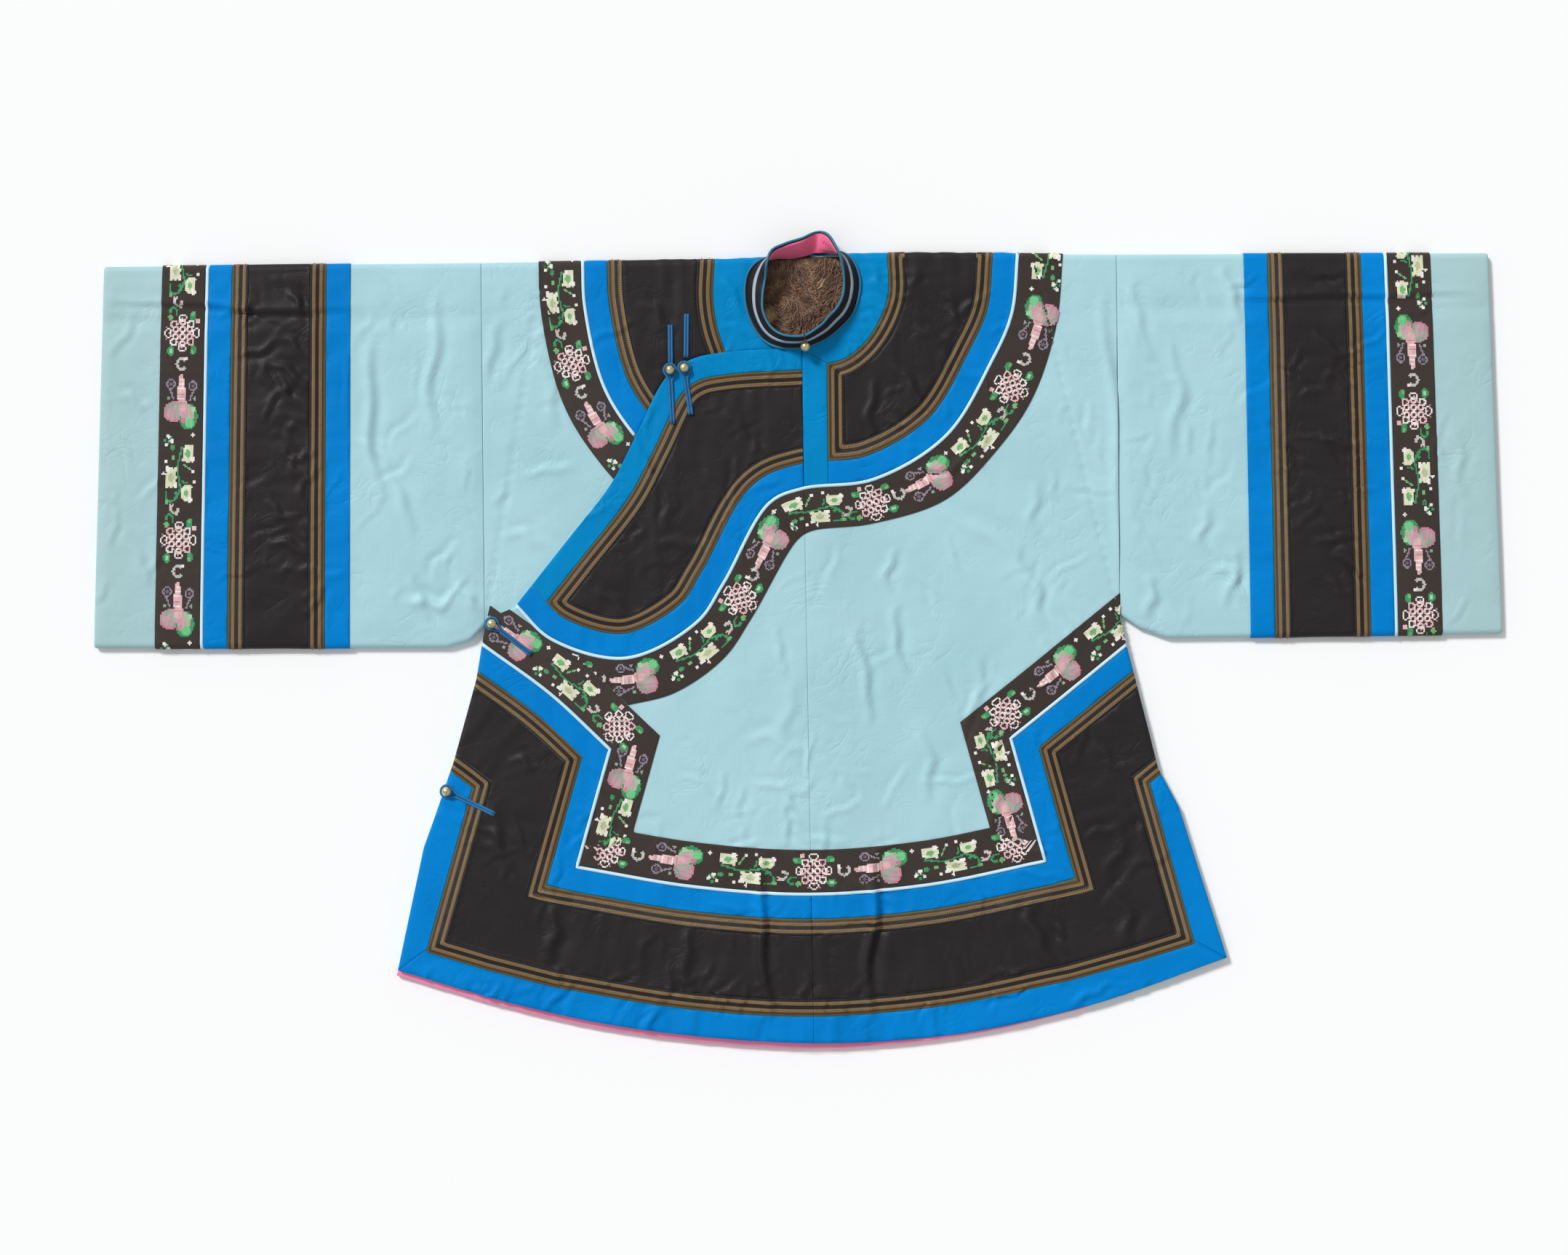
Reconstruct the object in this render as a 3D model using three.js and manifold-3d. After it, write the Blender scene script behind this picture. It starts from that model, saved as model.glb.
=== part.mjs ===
// A Chinese woman's side-fastening silk jacket, fur-lined, laid flat with its front upwards.
// Millimetres. +X is towards the wearer's left, +Y towards the collar, +Z up from the surface it lies on.
// The origin is the middle of the jacket's box, on that surface.
import * as THREE from "three";
import { mergeVertices } from "three/addons/utils/BufferGeometryUtils.js";
import Module from "manifold-3d";

const wasm = await Module();
wasm.setup();

// Thicknesses
const WALL = 4; // one layer: silk, interlining, skin and fur
const TRIM = 1; // a satin band, ribbon or braid with its turned edges
const GAP = 0.3; // between pieces at a seam, and under what lies on a panel
const LAYER_GAP = 0.8; // between the back and the front of one length
const FRONT_LOW = WALL + LAYER_GAP;
const FRONT_TOP = FRONT_LOW + WALL;
const FOLD_RADIUS = FRONT_TOP / 2;
const OVERLAP_RISE = GAP + WALL; // what the overlap front adds above the under front
const FAR = 600; // beyond every edge of the jacket
const BESIDE_BODY = 460; // past the body's sides, and below its hem
const BELOW_HEM = -430;
const RUN_ON = 60; // how far the line of a trim runs on past its ends

// The body's middle line stands a little towards the wearer's left and leans that way
const AXIS_AT_SHOULDER = 6;
const AXIS_LEAN = 0.0075;
const SHOULDER = 393;

// Sleeves
const SEAM_RIGHT = -323;
const SEAM_LEFT = 332;
const BAND_WIDTHS = [
  { piece: "ribbon", width: 45.5, slot: "ribbon" },
  { piece: "piping", width: 3.5, slot: null },
  { piece: "outer_blue", width: 24, slot: "blue" },
  { piece: "outer_braid", width: 17, slot: "braid" },
  { piece: "black", width: 64, slot: "black" },
  { piece: "inner_braid", width: 17, slot: "braid" },
  { piece: "inner_blue", width: 25, slot: "blue" },
];
const CUFF_SILK = 61;
const SLEEVES = {
  right: {
    sign: -1,
    seam: SEAM_RIGHT,
    cuffTop: 712,
    cuffBottom: 726.5,
    bandsTop: 455,
    bandsBottom: 465,
    underarm: [
      { x: 323.3, y: 17.5 },
      { x: 338, y: 2 },
      { x: 362, y: -5 },
      { x: 465, y: -4 },
      { x: 726.5, y: -1.8 },
    ],
    shoulder: [
      { x: 323.3, y: 393 },
      { x: 726.5, y: 392.8 },
    ],
  },
  left: {
    sign: 1,
    seam: SEAM_LEFT,
    cuffTop: 715.5,
    cuffBottom: 726.5,
    bandsTop: 462.5,
    bandsBottom: 467,
    underarm: [
      { x: 332.3, y: 21.5 },
      { x: 352, y: 8 },
      { x: 381, y: -2.6 },
      { x: 467, y: -2.6 },
      { x: 726.5, y: -1.6 },
    ],
    shoulder: [
      { x: 332.3, y: 395 },
      { x: 726.5, y: 392.4 },
    ],
  },
};
// Heights of a sleeve's front along its depth, as shares of it from the underarm fold
const SLEEVE_RELIEF = [
  { share: 0.0, rise: 0 },
  { share: 0.12, rise: 1.2 },
  { share: 0.35, rise: 1.8 },
  { share: 0.62, rise: 1.6 },
  { share: 0.83, rise: 2.0 },
  { share: 0.865, rise: 0.2 },
  { share: 0.9, rise: 1.6 },
  { share: 1.0, rise: 0 },
];

// The shoulder fold, from the right sleeve's seam to the left one's
const SHOULDER_LINE = [
  { x: -323, y: 393 },
  { x: -70, y: 394 },
  { x: 57, y: 398 },
  { x: 125, y: 399 },
  { x: 332, y: 395 },
];
const RIGHT_EDGE = [
  { place: "underarm", x: -323, y: 15 },
  { place: "waist", x: -332, y: -37 },
  { place: "above the slit", x: -356, y: -121 },
  { place: "slit", x: -374, y: -172 },
  { place: "below the slit", x: -388, y: -210 },
  { place: "corner", x: -416, y: -336 },
];
const LEFT_EDGE = [
  { place: "underarm", x: 332, y: 19 },
  { place: "below the underarm", x: 335, y: 6 },
  { place: "waist", x: 360, y: -94 },
  { place: "above the slit", x: 370, y: -136 },
  { place: "slit", x: 391, y: -176 },
  { place: "corner", x: 439, y: -332 },
];
const HEM = [
  { place: "right corner", x: -416, y: -336 },
  { place: "right quarter", x: -296, y: -372 },
  { place: "right of the middle", x: -170, y: -399 },
  { place: "middle", x: 11, y: -415.5 },
  { place: "left of the middle", x: 160, y: -408 },
  { place: "left quarter", x: 300, y: -379 },
  { place: "left corner", x: 439, y: -332 },
];
const HEM_LINING = { width: 5, full: 0, end: 300, thick: 3 };
const HEM_CORNERS = [
  { x: -416, y: -336, inner: { x: -388, y: -316 } },
  { x: 439, y: -332, inner: { x: 410, y: -316 } },
];

// The free edge of the overlap front, from the centre front to the right underarm
const OVERLAP_EDGE = [
  { place: "centre front", x: 6, y: 301 },
  { place: "under the collar", x: -72, y: 297 },
  { place: "shoulder corner", x: -107, y: 290 },
  { place: "below the buttons", x: -133, y: 272 },
  { place: "yoke crossing", x: -166, y: 210 },
  { place: "chest", x: -191, y: 163 },
  { place: "side", x: -241, y: 100 },
  { place: "underarm", x: -292, y: 36.5 },
];
const OVERLAP_TIP = [
  { place: "notch", x: -306, y: 31 },
  { place: "tip", x: -317, y: 39 },
];

// The piping lines that the other bands run along, each from the wearer's left to right
const YOKE_LINE = [
  { place: "left shoulder", x: 232, y: 396 },
  { place: "left collarbone", x: 225, y: 333 },
  { place: "left chest", x: 203, y: 283 },
  { place: "below the chest", x: 156, y: 208 },
  { place: "before the middle", x: 80, y: 163 },
  { place: "middle", x: 6, y: 154 },
  { place: "turn", x: -27, y: 140 },
  { place: "fall", x: -75, y: 58 },
  { place: "low turn", x: -103, y: 18 },
  { place: "lowest", x: -177, y: -18.5 },
  { place: "rise", x: -255, y: 2 },
  { place: "right underarm", x: -291, y: 37 },
];
// The ribbon's outer edge beside that line
const YOKE_RIBBON_EDGE = [
  { place: "left shoulder", x: 277, y: 396 },
  { place: "left collarbone", x: 269, y: 320 },
  { place: "left chest", x: 244, y: 247 },
  { place: "below the chest", x: 207, y: 194 },
  { place: "breast", x: 153, y: 143 },
  { place: "before the middle", x: 76, y: 119 },
  { place: "middle", x: 14, y: 112 },
  { place: "turn", x: 0, y: 103 },
  { place: "fall", x: -48, y: 23 },
  { place: "low turn", x: -77, y: -18 },
  { place: "lower", x: -128, y: -53 },
  { place: "skirt ribbon", x: -180, y: -66 },
];
const YOKE_RIBBON_END = -250; // under the skirt's ribbon
const RIGHT_YOKE_LINE = [
  { place: "right shoulder", x: -220, y: 393 },
  { place: "collarbone", x: -218, y: 344 },
  { place: "chest", x: -199, y: 262 },
  { place: "overlap", x: -166, y: 209 },
  { place: "under the overlap", x: -120, y: 160 },
];
const FRAME_RIGHT = [
  { place: "right underarm", x: -321, y: -2 },
  { place: "right waist", x: -254, y: -52 },
  { place: "right elbow of the frame", x: -193, y: -110 },
];
const FRAME_HEM = [
  { place: "right corner", x: -228, y: -230 },
  { place: "right half", x: -110, y: -251 },
  { place: "middle", x: 8, y: -260 },
  { place: "left half", x: 130, y: -252 },
  { place: "left corner", x: 250, y: -229 },
];
// The frame's lower line past its corners
const FRAME_HEM_RUN = {
  right: [
    { place: "right side seam", x: -352, y: -194.3 },
    { place: "right slit", x: -290, y: -213.5 },
  ],
  left: [
    { place: "left slit", x: 313, y: -212 },
    { place: "left side seam", x: 373, y: -193.7 },
  ],
};
const FRAME_LEFT = [
  { place: "left elbow of the frame", x: 216, y: -103 },
  { place: "left waist", x: 270, y: -60.5 },
  { place: "left underarm", x: 337, y: -7 },
];
const RIBBON = 44;
const PIPING = 3.5;
const BLUE_TO = 27;
const BRAID_TO = 44;
const YOKE_BRAID_TO = 42;
const BLACK_TO = 110;
const OUTER_BRAID_TO = 127.5;
const EDGE_BLUE = 23;
const EDGE_BRAID_TO = 40;
const FRAME_BRAID = 18; // the yoke's braid beside the neck and the centre band

// Blue satin round the neck ends on these lines
const NECK_LINE_RIGHT = [
  { x: -82, y: 393 },
  { x: -84, y: 353 },
  { x: -80, y: 323 },
  { x: -70, y: 292 },
];
const NECK_LINE_LEFT = [
  { x: 96, y: 397 },
  { x: 95.5, y: 351 },
  { x: 76, y: 311 },
  { x: 52, y: 290 },
  { x: 30, y: 283.5 },
];
const CENTRE_BAND = { right: 7, left: 32.5, topRight: 299, topLeft: 285 };

// The collar, by bearing from the neck's middle: 0 is the wearer's left, 90 the back
const NECK = { x: 8, y: 352 };
const COLLAR_HEIGHT = 26;
const COLLAR_WALL = 2;
const COLLAR = [
  { bearing: -87, foot: 50.5, rim: 41, floor: 14.7 },
  { bearing: -70, foot: 48.5, rim: 37, floor: 14.7 },
  { bearing: -53, foot: 48.5, rim: 35, floor: 13.8 },
  { bearing: -38, foot: 49.5, rim: 34, floor: 13 },
  { bearing: -20, foot: 53.5, rim: 37, floor: 12.3 },
  { bearing: 0, foot: 57.5, rim: 41, floor: 11.6 },
  { bearing: 22, foot: 63, rim: 46, floor: 10.9 },
  { bearing: 42, foot: 64, rim: 54, floor: 10.5 },
  { bearing: 56, foot: 57, rim: 62, floor: 8 },
  { bearing: 73, foot: 46.5, rim: 71.7, floor: 4.5 },
  { bearing: 90, foot: 42.5, rim: 61, floor: 4.4 },
  { bearing: 108, foot: 43.5, rim: 58, floor: 4.5 },
  { bearing: 124, foot: 51, rim: 57, floor: 8 },
  { bearing: 137, foot: 58, rim: 50, floor: 10.5 },
  { bearing: 152, foot: 62, rim: 43, floor: 10.5 },
  { bearing: 176, foot: 59.5, rim: 41, floor: 10.5 },
  { bearing: 200, foot: 58, rim: 43.5, floor: 10.5 },
  { bearing: 226, foot: 58.5, rim: 45.5, floor: 10.8 },
  { bearing: 242, foot: 56.5, rim: 45, floor: 14.7 },
  { bearing: 256, foot: 53, rim: 43, floor: 14.7 },
  { bearing: 272, foot: 50.5, rim: 41, floor: 14.7 },
];
const NECK_BACK = [
  { x: 50, y: 420 },
  { x: -32, y: 420 },
];
const COLLAR_CUT = 6; // how far inside the collar's foot the neck is cut
const COLLAR_SHARES = { facingLow: 0.12, stripeLow: 0.42, stripeHigh: 0.6 };
const FACING_BEARINGS = { from: 44, to: 136 };
const FUR = 3.2;

// Long folds of the skirt front: where each runs, its height and half its width
const FOLDS = [
  { x: -256, top: -262, bottom: -330, rise: 1.6, half: 14 },
  { x: -114, top: -262, bottom: -372, rise: 1.4, half: 14 },
  { x: -38, top: -210, bottom: -400, rise: 2.4, half: 12 },
  { x: 73, top: -212, bottom: -400, rise: 2.6, half: 12 },
  { x: 244, top: -262, bottom: -350, rise: 1.8, half: 16 },
  { x: 100, top: 60, bottom: -110, rise: 1.6, half: 18 },
];

// Fastenings: where each ball sits, the tail it is sewn on with and the loop that holds it
const BALL = 10;
const STRIP_WIDTH = 5;
const STRIP_HEIGHT = 2;
const LOOP_WIDTH = 1.8;
const FASTENINGS = [
  {
    name: "outer_shoulder",
    at: { x: -129, y: 279 },
    tail: { from: { x: -128.5, y: 281 }, to: { x: -128.5, y: 326 } },
    loopTo: { x: -127, y: 224 },
  },
  {
    name: "inner_shoulder",
    at: { x: -114.3, y: 281 },
    tail: { from: { x: -112.5, y: 292 }, to: { x: -111.5, y: 337 } },
    loopTo: { x: -108, y: 233 },
  },
  {
    name: "underarm",
    at: { x: -315, y: 20 },
    loopTo: { x: -275, y: -12 },
  },
  {
    name: "slit",
    at: { x: -363, y: -152 },
    loopTo: { x: -314, y: -176 },
  },
];
const COLLAR_BUTTON = { bearing: -87.5, share: 0.5 };

const MATERIALS = {
  silk: { color: 0xabd5dd, roughness: 0.45 },
  blue: { color: 0x0083ce, roughness: 0.35 },
  black: { color: 0x302c2c, roughness: 0.35 },
  ribbon: { color: 0x2e2420, roughness: 0.7 },
  piping: { color: 0xd8f0fa, roughness: 0.4 },
  braid: { color: 0x6f532f, roughness: 0.55, metalness: 0.3 },
  pink: { color: 0xe0608a, roughness: 0.5 },
  fur: { color: 0x5c4030, roughness: 0.95 },
  brass: { color: 0xd9d2a0, roughness: 0.3, metalness: 0.8 },
  loop: { color: 0x2f7fb5, roughness: 0.5 },
};

// Plane helpers

const axisAt = (y) => AXIS_AT_SHOULDER + (SHOULDER - y) * AXIS_LEAN;

// The value of one column of a table at a place between two of its rows
function between(rows, key, at, column) {
  const last = rows.length - 2;
  let i = rows.findIndex((row, k) => k <= last && at <= rows[k + 1][key]);
  if (i < 0) i = last;
  const share = (at - rows[i][key]) / (rows[i + 1][key] - rows[i][key]);
  return rows[i][column] + share * (rows[i + 1][column] - rows[i][column]);
}

const shoulderAt = (x) => between(SHOULDER_LINE, "x", x, "y");

// A smooth line through a table's places, as plane points
function smooth(rows, steps) {
  const curve = new THREE.CatmullRomCurve3(
    rows.map((row) => new THREE.Vector3(row.x, row.y, 0)),
    false,
    "centripetal",
  );
  return curve.getSpacedPoints(steps).map((p) => new THREE.Vector2(p.x, p.y));
}

const plain = (rows) => rows.map((row) => new THREE.Vector2(row.x, row.y));

// The same line with its two ends drawn out straight
function drawnOut(line, length) {
  const first = line[0];
  const last = line[line.length - 1];
  const before = first.clone().sub(line[1]).setLength(length).add(first);
  const after = last
    .clone()
    .sub(line[line.length - 2])
    .setLength(length)
    .add(last);
  return [before, ...line, after];
}

// A line moved sideways, to its right as one walks along it, with mitred corners
function beside(line, distance) {
  return line.map((point, i) => {
    const into = point.clone().sub(line[Math.max(i - 1, 0)]);
    const out = line[Math.min(i + 1, line.length - 1)].clone().sub(point);
    if (i === 0) into.copy(out);
    if (i === line.length - 1) out.copy(into);
    const a = new THREE.Vector2(into.y, -into.x).normalize();
    const b = new THREE.Vector2(out.y, -out.x).normalize();
    const mitre = a.clone().add(b).divideScalar(1 + a.dot(b));
    return mitre.multiplyScalar(distance).add(point);
  });
}

// Solid helpers

// A closed solid of plain geometry
function solidOf(geometry) {
  const bare = geometry.clone();
  bare.deleteAttribute("normal");
  bare.deleteAttribute("uv");
  const merged = mergeVertices(bare, 1e-4);
  return new wasm.Manifold(
    new wasm.Mesh({
      numProp: 3,
      vertProperties: new Float32Array(merged.attributes.position.array),
      triVerts: new Uint32Array(merged.index.array),
    }),
  );
}

// A solid from points and triangles, turned to face outwards
function solidFrom(points, faces) {
  let volume = 0;
  for (const [a, b, c] of faces)
    volume += points[a].dot(new THREE.Vector3().crossVectors(points[b], points[c]));
  const facing = volume < 0 ? faces.map(([a, b, c]) => [a, c, b]) : faces;
  const geometry = new THREE.BufferGeometry().setFromPoints(points);
  geometry.setIndex(facing.flat());
  return solidOf(geometry);
}

// What stands over a plane outline, between two heights
function prism(outline, low = -FAR, high = FAR) {
  const geometry = new THREE.ExtrudeGeometry(new THREE.Shape(outline), {
    depth: high - low,
    bevelEnabled: false,
  });
  return solidOf(geometry.translate(0, 0, low));
}

// A layer over a grid of plane places, between a lower and an upper height
function layer(xs, ys, low, high) {
  const points = [];
  for (const height of [low, high])
    for (const x of xs) for (const y of ys) points.push(new THREE.Vector3(x, y, height(x, y)));
  const at = (k, i, j) => (k * xs.length + i) * ys.length + j;
  const faces = [];
  const quad = (a, b, c, d) => faces.push([a, b, c], [a, c, d]);
  const lastX = xs.length - 1;
  const lastY = ys.length - 1;
  for (let i = 0; i < lastX; i++)
    for (let j = 0; j < lastY; j++) {
      quad(at(1, i, j), at(1, i + 1, j), at(1, i + 1, j + 1), at(1, i, j + 1));
      // the lower side has the same diagonals, so that both sides are alike
      faces.push([at(0, i, j), at(0, i + 1, j + 1), at(0, i + 1, j)]);
      faces.push([at(0, i, j), at(0, i, j + 1), at(0, i + 1, j + 1)]);
    }
  for (let i = 0; i < lastX; i++) {
    quad(at(0, i, 0), at(0, i + 1, 0), at(1, i + 1, 0), at(1, i, 0));
    quad(at(0, i + 1, lastY), at(0, i, lastY), at(1, i, lastY), at(1, i + 1, lastY));
  }
  for (let j = 0; j < lastY; j++) {
    quad(at(0, 0, j + 1), at(0, 0, j), at(1, 0, j), at(1, 0, j + 1));
    quad(at(0, lastX, j), at(0, lastX, j + 1), at(1, lastX, j + 1), at(1, lastX, j));
  }
  return solidFrom(points, faces);
}

// A wall through sections, each with as many outer as inner points, open or closed round
function wall(sections, closed) {
  const count = sections[0].outer.length;
  const points = sections.flatMap((section) => [...section.outer, ...section.inner]);
  const out = (s, i) => s * 2 * count + (i % count);
  const inn = (s, i) => out(s, i) + count;
  const faces = [];
  const quad = (a, b, c, d) => faces.push([a, b, c], [a, c, d]);
  const cells = closed ? count : count - 1;
  const last = sections.length - 1;
  for (let s = 0; s < last; s++) {
    for (let i = 0; i < cells; i++) {
      quad(out(s, i), out(s + 1, i), out(s + 1, i + 1), out(s, i + 1));
      quad(inn(s, i), inn(s, i + 1), inn(s + 1, i + 1), inn(s + 1, i));
    }
    if (closed) continue;
    quad(out(s, 0), inn(s, 0), inn(s + 1, 0), out(s + 1, 0));
    quad(out(s, cells), out(s + 1, cells), inn(s + 1, cells), inn(s, cells));
  }
  for (let i = 0; i < cells; i++) {
    quad(out(0, i), out(0, i + 1), inn(0, i + 1), inn(0, i));
    quad(out(last, i), inn(last, i), inn(last, i + 1), out(last, i + 1));
  }
  return solidFrom(points, faces);
}

const jacket = new THREE.Group();

// A solid as a named piece of the jacket
function piece(name, slot, solid) {
  const mesh = solid.getMesh();
  const geometry = new THREE.BufferGeometry();
  geometry.setAttribute("position", new THREE.BufferAttribute(mesh.vertProperties, mesh.numProp));
  geometry.setIndex(new THREE.BufferAttribute(mesh.triVerts, 1));
  geometry.computeVertexNormals();
  const finish = new THREE.MeshStandardMaterial({ ...MATERIALS[slot], flatShading: true });
  const made = new THREE.Mesh(geometry, finish);
  made.name = name;
  jacket.add(made);
}

// Plane outlines

const hemLine = smooth(HEM, 14);
const rightEdge = plain(RIGHT_EDGE);
const leftEdge = plain(LEFT_EDGE);

// The body between its sleeve seams, out to the given height above the shoulder fold's start
function bodyOutline(pastFold) {
  const shoulder = SHOULDER_LINE.map(
    ({ x, y }) => new THREE.Vector2(x, y - FOLD_RADIUS + pastFold),
  );
  return [...shoulder.reverse(), ...rightEdge, ...hemLine.slice(1, -1), ...leftEdge.slice().reverse()];
}

const middleLine = [
  new THREE.Vector2(axisAt(FAR), FAR),
  new THREE.Vector2(axisAt(-FAR), -FAR),
];

// The plane on one side of the body's middle line, short of it by half a seam
function half(sign) {
  const [top, bottom] = beside(middleLine, (-sign * GAP) / 2);
  const farTop = new THREE.Vector2(sign * 2 * FAR, FAR);
  const farBottom = new THREE.Vector2(sign * 2 * FAR, -FAR);
  return prism([top, farTop, farBottom, bottom]);
}
const rightHalf = half(-1);
const leftHalf = half(1);

const overlapEdge = smooth(OVERLAP_EDGE, 26);
const overlapTip = plain(OVERLAP_TIP);

// The plane below the overlap's free edge, drawn in from it
function belowOverlapEdge(inset) {
  const edge = beside(overlapEdge, -inset);
  const tip = inset === 0 ? [...overlapTip, rightEdge[0]] : [];
  return [
    new THREE.Vector2(FAR, edge[0].y),
    ...edge,
    ...tip,
    new THREE.Vector2(-FAR, inset === 0 ? rightEdge[0].y : edge[edge.length - 1].y),
    new THREE.Vector2(-FAR, -FAR),
    new THREE.Vector2(FAR, -FAR),
  ];
}

const bodyPrism = prism(bodyOutline(FOLD_RADIUS + FAR / 100));
const overlapWhole = prism(belowOverlapEdge(0)).intersect(bodyPrism);
const overlapPlan = overlapWhole.intersect(rightHalf);

const yokeLine = drawnOut(smooth(YOKE_LINE, 44), RUN_ON);
const rightYokeLine = drawnOut(smooth(RIGHT_YOKE_LINE, 12), RUN_ON);
const frameLines = {
  rightDiagonal: smooth(FRAME_RIGHT, 5),
  right: plain([FRAME_RIGHT[FRAME_RIGHT.length - 1], FRAME_HEM[0]]),
  hem: [...plain(FRAME_HEM_RUN.right), ...smooth(FRAME_HEM, 12), ...plain(FRAME_HEM_RUN.left)],
  left: plain([FRAME_HEM[FRAME_HEM.length - 1], FRAME_LEFT[0]]),
  leftDiagonal: smooth(FRAME_LEFT, 5),
};

// The plane to the right of a line as one walks along it, moved away from it by a distance
function rightOf(line, distance) {
  const moved = drawnOut(beside(line, distance), FAR);
  const first = moved[0];
  const last = moved[moved.length - 1];
  const across = new THREE.Vector2(last.y - first.y, first.x - last.x).setLength(2 * FAR);
  return prism([...moved, last.clone().add(across), first.clone().add(across)]);
}

// Everything on the neck's side of the yoke line moved inwards by a distance
function withinYoke(distance) {
  const line = beside(yokeLine, distance);
  return prism([...line, new THREE.Vector2(-FAR, FAR), new THREE.Vector2(line[0].x, FAR)]);
}

// The same for the right shoulder's yoke line
function withinRightYoke(distance) {
  const line = beside(rightYokeLine, -distance);
  return prism([...line, new THREE.Vector2(FAR, line[line.length - 1].y), new THREE.Vector2(FAR, FAR)]);
}

// Everything outside the skirt's frame moved outwards by a distance
function outsideFrame(distance) {
  const side = ([diagonal, upright]) =>
    rightOf(frameLines[diagonal], distance).intersect(rightOf(frameLines[upright], distance));
  const right = side(["rightDiagonal", "right"]);
  const left = side(["leftDiagonal", "left"]);
  return rightOf(frameLines.hem, distance).add(right).add(left);
}

// What lies between two such distances, half a seam short on each side
function band(within, from, to) {
  return within(from + GAP / 2).subtract(within(to - GAP / 2));
}

// The front's height: the overlap's side lies a layer higher than the left front

const RAMP = { from: 12, to: 100, low: 303, high: 384 };

function rampShare(x, y) {
  const across = 1 - (x - axisAt(y) - RAMP.from) / (RAMP.to - RAMP.from);
  const up = 1 - (y - RAMP.low) / (RAMP.high - RAMP.low);
  return THREE.MathUtils.clamp(across, 0, 1) * THREE.MathUtils.clamp(up, 0, 1);
}

function foldRise(x, y) {
  let rise = 0;
  for (const fold of FOLDS) {
    const reach = Math.max(0, 1 - Math.abs(x - fold.x) / fold.half);
    const inside = y < fold.top && y > fold.bottom;
    rise = Math.max(rise, inside ? fold.rise * reach : 0);
  }
  return rise;
}

const frontHeight = (x, y) => FRONT_TOP + OVERLAP_RISE * rampShare(x, y) + foldRise(x, y);

const inOrder = (values) => [...new Set(values)].sort((a, b) => a - b);
const foldColumns = FOLDS.flatMap(({ x, half: reach }) => [x - reach, x, x + reach]);
const foldRows = FOLDS.flatMap(({ top, bottom }) => [top, (top + bottom) / 2, bottom]);
const rampColumns = [RAMP.from, RAMP.to].map((reach) => axisAt(0) + reach);
const columns = inOrder([-BESIDE_BODY, ...foldColumns, ...rampColumns, BESIDE_BODY]);
const rows = inOrder([BELOW_HEM, ...foldRows, RAMP.low, RAMP.high, SHOULDER]);

const frontLayer = layer(
  columns,
  rows,
  (x, y) => frontHeight(x, y) - WALL,
  frontHeight,
);
const frontTrimLayer = layer(
  columns,
  rows,
  (x, y) => frontHeight(x, y) + GAP,
  (x, y) => frontHeight(x, y) + GAP + TRIM,
);
const sides = [-BESIDE_BODY, BESIDE_BODY];
const ends = [BELOW_HEM, SHOULDER];
const flat = (height) => () => height;
const underLayer = layer(sides, ends, flat(FRONT_LOW), flat(FRONT_TOP));
const underTrimLayer = layer(sides, ends, flat(FRONT_TOP + GAP), flat(FRONT_TOP + GAP + TRIM));

// The shoulder fold

const FOLD_LAP = 5; // how far the fold's solid runs into the flat layers
const FOLD_STEPS = 6;

// Arc points of the fold in the section at x, from one angle to another
function foldArc(x, radius, from, to) {
  const centre = shoulderAt(x) - FOLD_RADIUS;
  return Array.from({ length: FOLD_STEPS + 1 }, (_, i) => {
    const angle = THREE.MathUtils.degToRad(from + ((to - from) * i) / FOLD_STEPS);
    return new THREE.Vector3(
      x,
      centre + radius * Math.cos(angle),
      FOLD_RADIUS + radius * Math.sin(angle),
    );
  });
}

const shoulderStations = SHOULDER_LINE.map(({ x }) => x);

const shoulderFold = wall(
  shoulderStations.map((x) => {
    const outer = foldArc(x, FOLD_RADIUS, -90, 90);
    const inner = outer.map((p) => new THREE.Vector3(x, shoulderAt(x) - FOLD_RADIUS - FOLD_LAP, p.z));
    return { outer, inner };
  }),
  false,
);

// A band layer that follows the fold round to the back, clear of the surface below
const TRIM_REACH = -38;
const shoulderTrim = wall(
  shoulderStations.map((x) => {
    const start = shoulderAt(x) - FOLD_RADIUS - FOLD_LAP;
    const low = FOLD_RADIUS + GAP;
    const outer = foldArc(x, low + TRIM, TRIM_REACH, 90);
    const inner = foldArc(x, low, TRIM_REACH, 90);
    outer.push(new THREE.Vector3(x, start, FRONT_TOP + GAP + TRIM));
    inner.push(new THREE.Vector3(x, start, FRONT_TOP + GAP));
    return { outer, inner };
  }),
  false,
);

// Neck

// A plane place at a bearing and distance from the neck's middle
function fromNeck(bearing, distance) {
  const angle = THREE.MathUtils.degToRad(bearing);
  return new THREE.Vector2(
    NECK.x + distance * Math.cos(angle),
    NECK.y + distance * Math.sin(angle),
  );
}

const frontOfCollar = COLLAR.filter(({ floor }) => floor > 10);
const neckOutline = (inset) => {
  const round = frontOfCollar.map(({ bearing, foot }) => fromNeck(bearing, foot - inset));
  const left = round.filter((p, i) => frontOfCollar[i].bearing < 90);
  const right = round.filter((p, i) => frontOfCollar[i].bearing > 90);
  const corners = NECK_BACK.map(({ x, y }) => new THREE.Vector2(x, y));
  return [...left, ...corners, ...right];
};
const neckCut = prism(neckOutline(COLLAR_CUT), WALL + GAP / 10);

// The two lengths and the overlap

const backLayer = layer(sides, ends, flat(0), flat(WALL));
const bodyPlan = prism(bodyOutline(-1));

function lengthOf(side, front) {
  const flatParts = front.add(backLayer).intersect(bodyPlan);
  return flatParts.add(shoulderFold).intersect(side).subtract(neckCut);
}

function makeLengths() {
  piece("right_length", "silk", lengthOf(rightHalf, underLayer));
  piece("left_length", "silk", lengthOf(leftHalf, frontLayer));
  piece("overlap_front", "silk", frontLayer.intersect(overlapPlan).subtract(neckCut));
}

// Sleeves

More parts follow.
